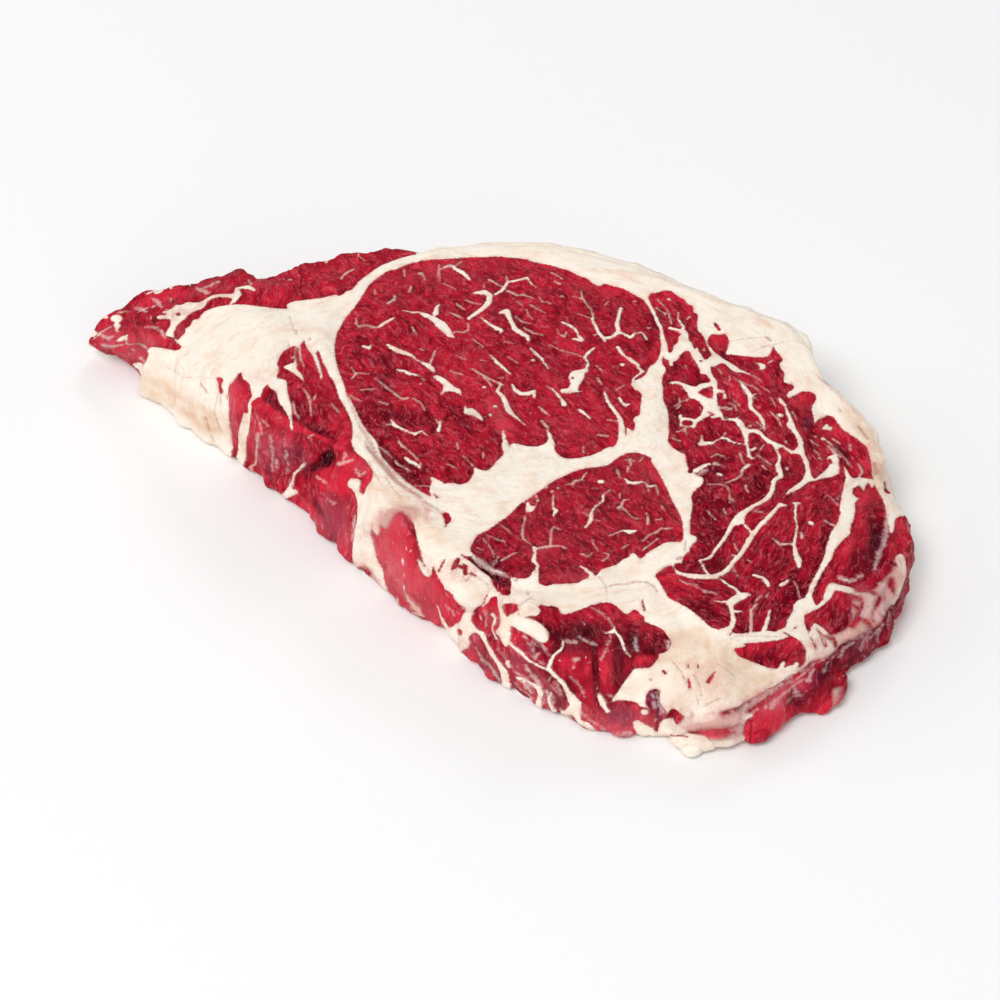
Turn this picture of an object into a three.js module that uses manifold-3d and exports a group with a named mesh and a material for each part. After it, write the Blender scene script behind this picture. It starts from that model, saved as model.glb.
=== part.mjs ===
// A raw boneless ribeye steak as one solid, in millimetres, +Z up.
//
// The steak lies flat on its underside with the cut face up. The thick rounded end points to +X,
// the thin drooping tail to -X, and the fat cap follows the +Y edge. The origin is the middle of
// the bottom of the bounding box.

import * as THREE from 'three';
import { mergeVertices } from 'three/addons/utils/BufferGeometryUtils.js';
import Module from 'manifold-3d';

const wasm = await Module();
wasm.setup();

// ------------------------------------------------------------------------- driving sizes

const THICKNESS = 29; // the cut, over the eye muscle
const CENTRE = [0, 5]; // places round the edge are given by the direction seen from here

const TAIL_START_X = -62; // where the top begins to droop towards the tail
const TAIL_LENGTH = 56;
const TAIL_DROP = 20;

const SLUMP_DROP = 17; // how far the thick end sags at its front right edge
const SLUMP_REACH = 18; // how quickly the sag fades inwards from the edge
const SLUMP_FROM = -73; // the directions of the sag seen from the centre, in degrees
const SLUMP_FULL = [-57, -30];
const SLUMP_UNTIL = 20;

const EDGE_STEPS = 200; // points round the outline
const TOP_STEP = 3.35; // spacing of the points on the cut face
const EDGE_ROUNDING = 1.5; // upper and lower edges of the wall
const WALL_BULGE = 1.2;
const WALL_ROWS = [0.22, 0.44, 0.66, 0.86]; // heights between the foot and the upper edge, 0 to 1

// The outline in pairs [edge x, edge y, foot x, foot y]: the upper edge of the wall and the line
// where the wall meets the ground, clockwise from the tip of the tail.
const OUTLINE = [
  // ragged lean along the back of the tail
  [-118.6, 65, -113, 70.3],
  [-114, 69.5, -111, 72],
  [-103, 76, -102, 77.5],
  [-89.5, 75, -89, 76.5],
  [-78, 74.5, -77.5, 76],
  [-71.9, 75.5, -71.5, 76.5],
  [-66.3, 70.6, -66, 72.5],
  [-50, 75, -50, 77],
  [-37.5, 81, -37, 82.5],
  [-22, 82, -22, 83],
  // fat cap
  [-4, 84.7, -4, 86.5],
  [14, 85, 14.5, 87],
  [32, 80.2, 33, 82],
  [49.5, 72, 50.5, 74],
  [66.5, 61, 67.5, 63],
  [79.5, 54.5, 80.5, 56.5],
  [91, 46, 92.5, 47.5],
  [94, 36, 96, 37],
  [97, 27, 99, 28.5],
  [107.6, 11.8, 111, 15],
  // thick end
  [111.3, 3, 115.6, 5],
  [110.5, -6, 117.4, -2],
  [113.8, -14.6, 117.8, -11],
  [116, -24, 117, -22],
  [113.5, -40, 113, -39],
  [107.1, -50.8, 106.5, -51.3],
  [97.9, -59.7, 97, -60.5],
  [90.7, -65.9, 92, -71],
  [82.4, -73.1, 83.5, -75.5],
  [73.1, -79.3, 74.5, -81],
  // fat knob and lobed lean at the front
  [62, -84, 62.5, -84.7],
  [51.2, -81.2, 51, -82.8],
  [43.7, -76, 43, -81.8],
  [35.2, -70.4, 34, -80.4],
  [24.6, -65.6, 22, -75.5],
  [12.5, -62.5, 9.8, -68.4],
  // long front wall
  [4.5, -54, -0.5, -58.6],
  [-5.5, -44, -9, -47],
  [-15.5, -34, -19.5, -37.5],
  [-28, -22, -30.8, -24.9],
  [-33.5, -8, -41, -13.3],
  [-42, -1, -47.5, -5],
  [-49, 2.5, -52, 1.5],
  [-57, 9, -57.5, 8.3],
  [-69.5, 24, -71.5, 22.5],
  [-81, 36.3, -85.5, 34.8],
  [-89, 45, -93, 42.8],
  [-97.2, 51.9, -101.5, 51],
  [-107.5, 58, -106, 62.5],
  [-114.2, 62.3, -110, 67.8],
];

// The outline is ragged on a small scale: sine waves round the outline, with seeded phases.
const RAGGED_SEED = 11;
const RAGGED_WAVES = 9;
const RAGGED_SIZE = 0.26;
const RAGGED_FIRST = 31; // waves in one turn round the steak
const RAGGED_TWIST = 2.2; // how far the waves shift between the foot and the upper edge
const SMOOTH_FAT = { from: 5, to: 100, share: 0.3 }; // the fat cap's directions, in degrees

// Rounded hollows and lobes of the wall. push is outwards, and negative where the wall is hollow.
const WALL_FORMS = [
  { name: 'notch', at: [-45.8, 2.5, 20], radius: 6.5, push: -8 },
  { name: 'lobe right of the notch', at: [-36, -5, 21], radius: 6, push: 2.5 },
  { name: 'lobe under the notch', at: [-47, -4, 9], radius: 7, push: 1.5 },
  { name: 'lobe left of the notch', at: [-58, 10, 15], radius: 8, push: 1.2 },
  { name: 'crease left of the notch', at: [-53, 4, 12], radius: 3.5, push: -2 },
  { name: 'hollow under the knife ledge', at: [5, -52, 22], radius: 5, push: -3 },
  { name: 'hollow of the front lean', at: [31, -68, 21], radius: 10, push: -3.5 },
  { name: 'front lean, left lobe', at: [22, -72, 11], radius: 6, push: 2 },
  { name: 'front lean, right lobe', at: [33, -76, 10], radius: 5, push: 1.8 },
  { name: 'crease between the lobes', at: [27.5, -74, 10], radius: 3.5, push: -1.8 },
  { name: 'hollow above the foot', at: [100, -57, 6], radius: 7, push: -1.5 },
];

// Muscles that show on the cut face: the meat swells a little inside the border, and the border
// itself is a shallow groove where the fat seam meets it.
const MUSCLES = {
  eye: {
    swell: 0.7,
    border: [
      [-42.5, 42], [-40, 55], [-33, 67], [-22, 75.5], [-6, 79], [10, 78.5], [24, 73], [36, 66],
      [45, 59], [49.5, 48], [48, 34], [44, 20], [41, 6], [34, -3], [24, -6.5], [12, -1.5],
      [4, -9], [-5, -14.5], [-16, -17], [-27, -4], [-36, 14], [-41, 29],
    ],
  },
  inner: {
    swell: 0.7,
    border: [
      [-3, -38], [8, -26.5], [20, -15.5], [31, -10], [42, -5], [48, -9], [52.5, -27], [53, -38],
      [41, -46], [28, -52.5], [15, -54.5], [4, -49],
    ],
  },
  cap: {
    swell: 0.8,
    border: [
      [49, 57], [54, 62.5], [61, 54], [66, 44], [71, 35], [84, 34], [86, 24], [93, 18], [99, 8],
      [106, -6], [108, -24], [104, -40], [94, -54], [84, -66], [72, -71], [60, -69], [50, -59],
      [47, -51], [56, -43], [57, -20], [52, -3], [51, 24],
    ],
  },
  side: {
    swell: 0.6,
    border: [
      [-57, 36], [-52, 41], [-46, 31], [-42, 18], [-37, 3], [-45, 4], [-58, 14], [-66, 24],
    ],
  },
  strip: {
    swell: 0.6,
    border: [
      [-114, 66], [-100, 72], [-72, 71], [-50, 71], [-30, 79], [-37, 68], [-43, 61], [-56, 57],
      [-70, 58.5], [-80, 57], [-87, 46], [-98, 54], [-108, 60],
    ],
  },
};
const SEAM_DEPTH = 0.9;
const SEAM_WIDTH = 2.4;
const SWELL_REACH = 8;

// The smooth fat pad between the tail's lean strip and the side muscle stands a little proud.
const FAT_PAD = { at: [-70, 43], radius: 15, rise: 0.8 };

// Scraps of fat and lean that stick out at the foot of the wall, and the fat lobe on it, each an
// ellipsoid: centre, half sizes, and turn about Z in degrees.
const SCRAPS = [
  { name: 'fat lobe', at: [-3.6, -47.4, 19.5], half: [6, 4.6, 7.5], turn: -40 },
  { name: 'fat roll at the foot', at: [55.5, -83.5, 2.6], half: [6.5, 3.4, 2.6], turn: 4 },
  { name: 'fat drip', at: [54.3, -86, 1.4], half: [1.9, 2.6, 1.4], turn: 0 },
  { name: 'lean scrap', at: [71.5, -80.6, 3], half: [4, 3.6, 3], turn: 35 },
  { name: 'lean flap', at: [93.5, -67.5, 3.2], half: [3.6, 5.4, 3.2], turn: -35 },
  { name: 'knife ledge of fat', at: [-31.5, -13, 26], half: [3, 4.5, 3], turn: 60 },
];
const SCRAP_SEGMENTS = [14, 9];

// A fine unevenness of the cut face.
const RIPPLE_SEED = 5;
const RIPPLE_WAVES = 12;
const RIPPLE_SIZE = 0.11;
const RIPPLE_LENGTHS = [11, 30];

// ------------------------------------------------------------------------- small helpers

// A repeatable source of numbers from 0 to 1.
function seededRandom(seed) {
  let state = seed >>> 0;
  return () => {
    state = (state + 0x6d2b79f5) >>> 0;
    let mixed = Math.imul(state ^ (state >>> 15), state | 1);
    mixed ^= mixed + Math.imul(mixed ^ (mixed >>> 7), mixed | 61);
    return ((mixed ^ (mixed >>> 14)) >>> 0) / 2 ** 32;
  };
}

function degreesFrom([cx, cy], x, y) {
  return THREE.MathUtils.radToDeg(Math.atan2(y - cy, x - cx));
}

// The distance from a point to a closed polygon's sides.
function distanceToPolygon(x, y, polygon) {
  let nearest = Infinity;
  for (let i = 0; i < polygon.length; i += 1) {
    const [ax, ay] = polygon[i];
    const [bx, by] = polygon[(i + 1) % polygon.length];
    const along = ((x - ax) * (bx - ax) + (y - ay) * (by - ay)) / ((bx - ax) ** 2 + (by - ay) ** 2);
    const t = THREE.MathUtils.clamp(along, 0, 1);
    nearest = Math.min(nearest, Math.hypot(x - ax - t * (bx - ax), y - ay - t * (by - ay)));
  }
  return nearest;
}

function isInside(x, y, polygon) {
  let inside = false;
  for (let i = 0, j = polygon.length - 1; i < polygon.length; j = i, i += 1) {
    const [ax, ay] = polygon[i];
    const [bx, by] = polygon[j];
    if (ay > y !== by > y && x < ax + ((bx - ax) * (y - ay)) / (by - ay)) {
      inside = !inside;
    }
  }
  return inside;
}

function closedCurve(points) {
  const vectors = points.map(([x, y]) => new THREE.Vector3(x, y, 0));
  return new THREE.CatmullRomCurve3(vectors, true, 'centripetal');
}

// ------------------------------------------------------------------------- the outline

// The curves of the upper edge and the foot, sampled together at even steps round the steak.
// Each station holds both points, the outward normal, and a function that gives how ragged the
// wall is at a height from the foot (0) to the upper edge (1).
function makeStations() {
  const edge = closedCurve(OUTLINE.map(([x, y]) => [x, y]));
  const foot = closedCurve(OUTLINE.map(([, , x, y]) => [x, y]));
  const fineSteps = EDGE_STEPS * 12;
  const lengths = [0];
  let before = edge.getPoint(0).lerp(foot.getPoint(0), 0.5);
  for (let i = 1; i <= fineSteps; i += 1) {
    const here = edge.getPoint(i / fineSteps).lerp(foot.getPoint(i / fineSteps), 0.5);
    lengths.push(lengths[i - 1] + here.distanceTo(before));
    before = here;
  }

  const random = seededRandom(RAGGED_SEED);
  const waves = Array.from({ length: RAGGED_WAVES }, (_, k) => ({
    turns: RAGGED_FIRST + 5 * k,
    phase: random() * 2 * Math.PI,
    twist: (random() - 0.5) * 2 * RAGGED_TWIST,
  }));

  const stations = [];
  let fine = 0;
  for (let i = 0; i < EDGE_STEPS; i += 1) {
    const wanted = (lengths[fineSteps] * i) / EDGE_STEPS;
    while (lengths[fine + 1] < wanted) {
      fine += 1;
    }
    const part = (wanted - lengths[fine]) / (lengths[fine + 1] - lengths[fine]);
    const t = (fine + part) / fineSteps;
    const turn = (2 * Math.PI * i) / EDGE_STEPS;
    const upper = edge.getPoint(t);
    const direction = degreesFrom(CENTRE, upper.x, upper.y);
    const isFat = direction > SMOOTH_FAT.from && direction < SMOOTH_FAT.to;
    const size = RAGGED_SIZE * (isFat ? SMOOTH_FAT.share : 1);
    const ragged = (height) => waves.reduce(
      (sum, wave) => sum + size * Math.sin(wave.turns * turn + wave.phase + wave.twist * height),
      0,
    );
    stations.push({ edge: upper, foot: foot.getPoint(t), ragged });
  }
  stations.forEach((station, i) => {
    const next = stations[(i + 1) % EDGE_STEPS];
    const last = stations[(i + EDGE_STEPS - 1) % EDGE_STEPS];
    const ahead = next.edge.clone().add(next.foot).sub(last.edge).sub(last.foot);
    station.outward = new THREE.Vector3(-ahead.y, ahead.x, 0).normalize();
  });
  return stations;
}

const stations = makeStations();
const outline = stations.map(({ edge }) => [edge.x, edge.y]);

// ------------------------------------------------------------------------- the cut face

const muscles = Object.values(MUSCLES).map(({ swell, border }) => ({
  swell,
  polygon: closedCurve(border).getPoints(border.length * 3).slice(1).map(({ x, y }) => [x, y]),
}));

const ripples = (() => {
  const random = seededRandom(RIPPLE_SEED);
  return Array.from({ length: RIPPLE_WAVES }, () => {
    const heading = random() * Math.PI;
    const length = THREE.MathUtils.lerp(...RIPPLE_LENGTHS, random());
    const phase = random() * 2 * Math.PI;
    return { heading, length, phase };
  });
})();

function ripple(x, y) {
  const total = ripples.reduce((sum, { heading, length, phase }) => {
    const along = x * Math.cos(heading) + y * Math.sin(heading);
    return sum + Math.sin((2 * Math.PI * along) / length + phase);
  }, 0);
  return total * RIPPLE_SIZE;
}

// How much of the sag each stretch of the edge has, from 0 to 1.
const saggingEdge = outline.map(([x, y]) => {
  const direction = degreesFrom(CENTRE, x, y);
  const rising = THREE.MathUtils.smoothstep(direction, SLUMP_FROM, SLUMP_FULL[0]);
  const falling = 1 - THREE.MathUtils.smoothstep(direction, SLUMP_FULL[1], SLUMP_UNTIL);
  return { x, y, share: rising * falling };
}).filter(({ share }) => share > 0);

function slump(x, y) {
  const shares = saggingEdge.map((at) => {
    return at.share * Math.exp(-Math.hypot(x - at.x, y - at.y) / SLUMP_REACH);
  });
  return SLUMP_DROP * Math.max(...shares);
}

function tailDroop(x) {
  return TAIL_DROP * Math.max(0, (TAIL_START_X - x) / TAIL_LENGTH) ** 1.5;
}

function muscleRelief(x, y) {
  return muscles.reduce((height, { swell, polygon }) => {
    const distance = distanceToPolygon(x, y, polygon);
    const groove = SEAM_DEPTH * Math.exp(-((distance / SEAM_WIDTH) ** 2));
    const rise = isInside(x, y, polygon) ? swell * (1 - Math.exp(-distance / SWELL_REACH)) : 0;
    return height + rise - groove;
  }, 0);
}

function topHeight(x, y) {
  const fromPad = Math.hypot(x - FAT_PAD.at[0], y - FAT_PAD.at[1]) / FAT_PAD.radius;
  const pad = FAT_PAD.rise * Math.exp(-(fromPad ** 2));
  return THICKNESS - tailDroop(x) - slump(x, y) + muscleRelief(x, y) + pad + ripple(x, y);
}

// Delaunay triangles of points in the plane, by adding one point at a time. All wind
// anticlockwise.
function triangulate(points) {
  const far = 1e4;
  const all = [...points, [-far, -far], [far, -far], [0, far]];
  const withCircle = (a, b, c) => {
    const [ax, ay] = all[a];
    const [bx, by] = [all[b][0] - ax, all[b][1] - ay];
    const [cx, cy] = [all[c][0] - ax, all[c][1] - ay];
    const scale = 2 * (bx * cy - by * cx);
    const x = (cy * (bx * bx + by * by) - by * (cx * cx + cy * cy)) / scale;
    const y = (bx * (cx * cx + cy * cy) - cx * (bx * bx + by * by)) / scale;
    return { corners: [a, b, c], x: ax + x, y: ay + y, radius: Math.hypot(x, y) };
  };
  let triangles = [withCircle(points.length, points.length + 1, points.length + 2)];
  points.forEach(([x, y], index) => {
    const hole = new Map();
    triangles = triangles.filter((triangle) => {
      if (Math.hypot(x - triangle.x, y - triangle.y) >= triangle.radius) {
        return true;
      }
      const [a, b, c] = triangle.corners;
      for (const [from, to] of [[a, b], [b, c], [c, a]]) {
        if (!hole.delete(`${to},${from}`)) {
          hole.set(`${from},${to}`, [from, to]);
        }
      }
      return false;
    });
    for (const [from, to] of hole.values()) {
      triangles.push(withCircle(from, to, index));
    }
  });
  return triangles.map(({ corners }) => corners).filter((t) => Math.max(...t) < points.length);
}

// ------------------------------------------------------------------------- the wall

// How far the lobes and hollows push the wall outwards at a point.
function wallForms(point) {
  return WALL_FORMS.reduce((sum, { at, radius, push }) => {
    const distance = point.distanceTo(new THREE.Vector3(...at));
    return sum + push * Math.exp(-((distance / radius) ** 2));
  }, 0);
}

// A point of the wall, part way from the foot (0) to the upper edge (1).
function wallPoint({ edge, foot, outward, ragged }, part) {
  const point = foot.clone().lerp(edge, part);
  point.z = part * (topHeight(edge.x, edge.y) - EDGE_ROUNDING * 0.6);
  const bulge = WALL_BULGE * Math.sin(Math.PI * part);
  return point.addScaledVector(outward, bulge + ragged(part) + wallForms(point));
}

function insetPoint(station, part, inset, z) {
  const point = wallPoint(station, part).addScaledVector(station.outward, -inset);
  point.z = z;
  return point;
}

// ------------------------------------------------------------------------- the solid

function makeBody() {
  const vertices = [];
  const triangles = [];
  const addRow = (row) => {
    const first = vertices.length;
    vertices.push(...row);
    return first;
  };
  const steps = stations.length;

  // wall rows, from the rounded foot to the rounded upper edge
  const rows = [
    addRow(stations.map((s) => insetPoint(s, 0, EDGE_ROUNDING, 0))),
    addRow(stations.map((s) => insetPoint(s, 0, 0.2, EDGE_ROUNDING))),
    ...WALL_ROWS.map((part) => addRow(stations.map((s) => wallPoint(s, part)))),
    addRow(stations.map((s) => wallPoint(s, 1))),
  ];
  const brim = stations.map((s) => {
    const point = insetPoint(s, 1, EDGE_ROUNDING, 0);
    point.z = topHeight(point.x, point.y);
    return point;
  });
  rows.push(addRow(brim));
  for (let r = 0; r + 1 < rows.length; r += 1) {
    for (let i = 0; i < steps; i += 1) {
      const j = (i + 1) % steps;
      const [a, b, c, d] = [rows[r] + i, rows[r] + j, rows[r + 1] + j, rows[r + 1] + i];
      triangles.push([a, c, b], [a, d, c]);
    }
  }

  // flat underside, triangulated anticlockwise and then turned to face down
  const sole = vertices.slice(0, steps).reverse().map(({ x, y }) => new THREE.Vector2(x, y));
  for (const corners of THREE.ShapeUtils.triangulateShape(sole, [])) {
    triangles.push(corners.map((c) => steps - 1 - c).reverse());
  }

  // cut face: a staggered grid of points inside the brim
  const brimPolygon = brim.map(({ x, y }) => [x, y]);
  const random = seededRandom(RIPPLE_SEED);
  const plane = [...brimPolygon];
  const box = new THREE.Box3().setFromPoints(brim);
  const rowStep = (TOP_STEP * Math.sqrt(3)) / 2;
  const jitter = 0.15;
  for (let row = 0; box.min.y + row * rowStep < box.max.y; row += 1) {
    const start = box.min.x + (row % 2 ? TOP_STEP / 2 : 0);
    for (let along = start; along < box.max.x; along += TOP_STEP) {
      const x = along + jitter * random();
      const y = box.min.y + row * rowStep + jitter * random();
      const clear = distanceToPolygon(x, y, brimPolygon) > TOP_STEP * 0.6;
      if (clear && isInside(x, y, brimPolygon)) {
        plane.push([x, y]);
        vertices.push(new THREE.Vector3(x, y, topHeight(x, y)));
      }
    }
  }
  const firstOnTop = rows.at(-1);
  for (const corners of triangulate(plane)) {
    const [x, y] = [0, 1].map((k) => corners.reduce((sum, c) => sum + plane[c][k], 0) / 3);
    if (isInside(x, y, brimPolygon)) {
      triangles.push(corners.map((c) => firstOnTop + c));
    }
  }

  return new wasm.Manifold(
    new wasm.Mesh({
      numProp: 3,
      vertProperties: new Float32Array(vertices.flatMap(({ x, y, z }) => [x, y, z])),
      triVerts: new Uint32Array(triangles.flat()),
    }),
  );
}

function makeScrap({ at, half, turn }) {
  const ball = new THREE.SphereGeometry(1, ...SCRAP_SEGMENTS);
  ball.deleteAttribute('normal');
  ball.deleteAttribute('uv');
  ball.rotateX(Math.PI / 2);
  ball.scale(...half);
  ball.rotateZ(THREE.MathUtils.degToRad(turn));
  ball.translate(...at);
  const closed = mergeVertices(ball);
  return new wasm.Manifold(
    new wasm.Mesh({
      numProp: 3,
      vertProperties: new Float32Array(closed.attributes.position.array),
      triVerts: new Uint32Array(closed.index.array),
    }),
  );
}

function makeSteakGeometry() {
  const solid = SCRAPS.reduce((joined, scrap) => joined.add(makeScrap(scrap)), makeBody());
  const { vertProperties, triVerts } = solid.getMesh();
  const geometry = new THREE.BufferGeometry();
  geometry.setAttribute('position', new THREE.BufferAttribute(vertProperties, 3));
  geometry.setIndex(new THREE.BufferAttribute(triVerts, 1));
  geometry.computeBoundingBox();
  const { min, max } = geometry.boundingBox;
  geometry.translate(-(min.x + max.x) / 2, -(min.y + max.y) / 2, -min.z);
  geometry.computeVertexNormals();
  return geometry;
}

// ------------------------------------------------------------------------- the scene

const lean = new THREE.MeshStandardMaterial({ color: 0x9c1c28, roughness: 0.4, metalness: 0 });
const steak = new THREE.Mesh(makeSteakGeometry(), lean);
steak.name = 'steak';

const part = new THREE.Group();
part.add(steak);

export default part;
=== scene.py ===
"""Raw ribeye steak: the fine surface of the cut beef, its studio and its camera."""
import math

import bpy
import numpy as np
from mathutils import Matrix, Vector


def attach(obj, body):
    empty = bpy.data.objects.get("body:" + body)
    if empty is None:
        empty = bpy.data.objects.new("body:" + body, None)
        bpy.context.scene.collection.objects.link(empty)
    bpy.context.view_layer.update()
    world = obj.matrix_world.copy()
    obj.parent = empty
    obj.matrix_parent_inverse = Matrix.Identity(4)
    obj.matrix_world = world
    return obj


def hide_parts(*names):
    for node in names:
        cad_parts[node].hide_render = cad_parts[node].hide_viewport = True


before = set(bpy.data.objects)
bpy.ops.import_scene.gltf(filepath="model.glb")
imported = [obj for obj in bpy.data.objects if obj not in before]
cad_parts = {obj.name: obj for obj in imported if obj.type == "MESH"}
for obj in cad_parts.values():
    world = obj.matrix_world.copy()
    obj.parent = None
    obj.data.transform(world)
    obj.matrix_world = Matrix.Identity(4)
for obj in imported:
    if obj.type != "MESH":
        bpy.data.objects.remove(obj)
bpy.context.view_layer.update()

MM = 0.001

# The drawing below is made in the sight lines of one camera, in millimetres.
DRAWING_SHIFT = np.array([0.167, -0.274])   # from the part's frame to the drawing's
DRAWING_EYE = np.array([4.5, -553.61, 559.61])
DRAWING_TARGET = np.array([4.5, -14.0, 20.0])
DRAWING_PLANE = 29.0                        # height of the top face

# ---- The cut face and the front wall, drawn in millimetres ------------------------------------
# Every point is x, y where the sight line from the camera meets the plane of the top face.

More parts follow.
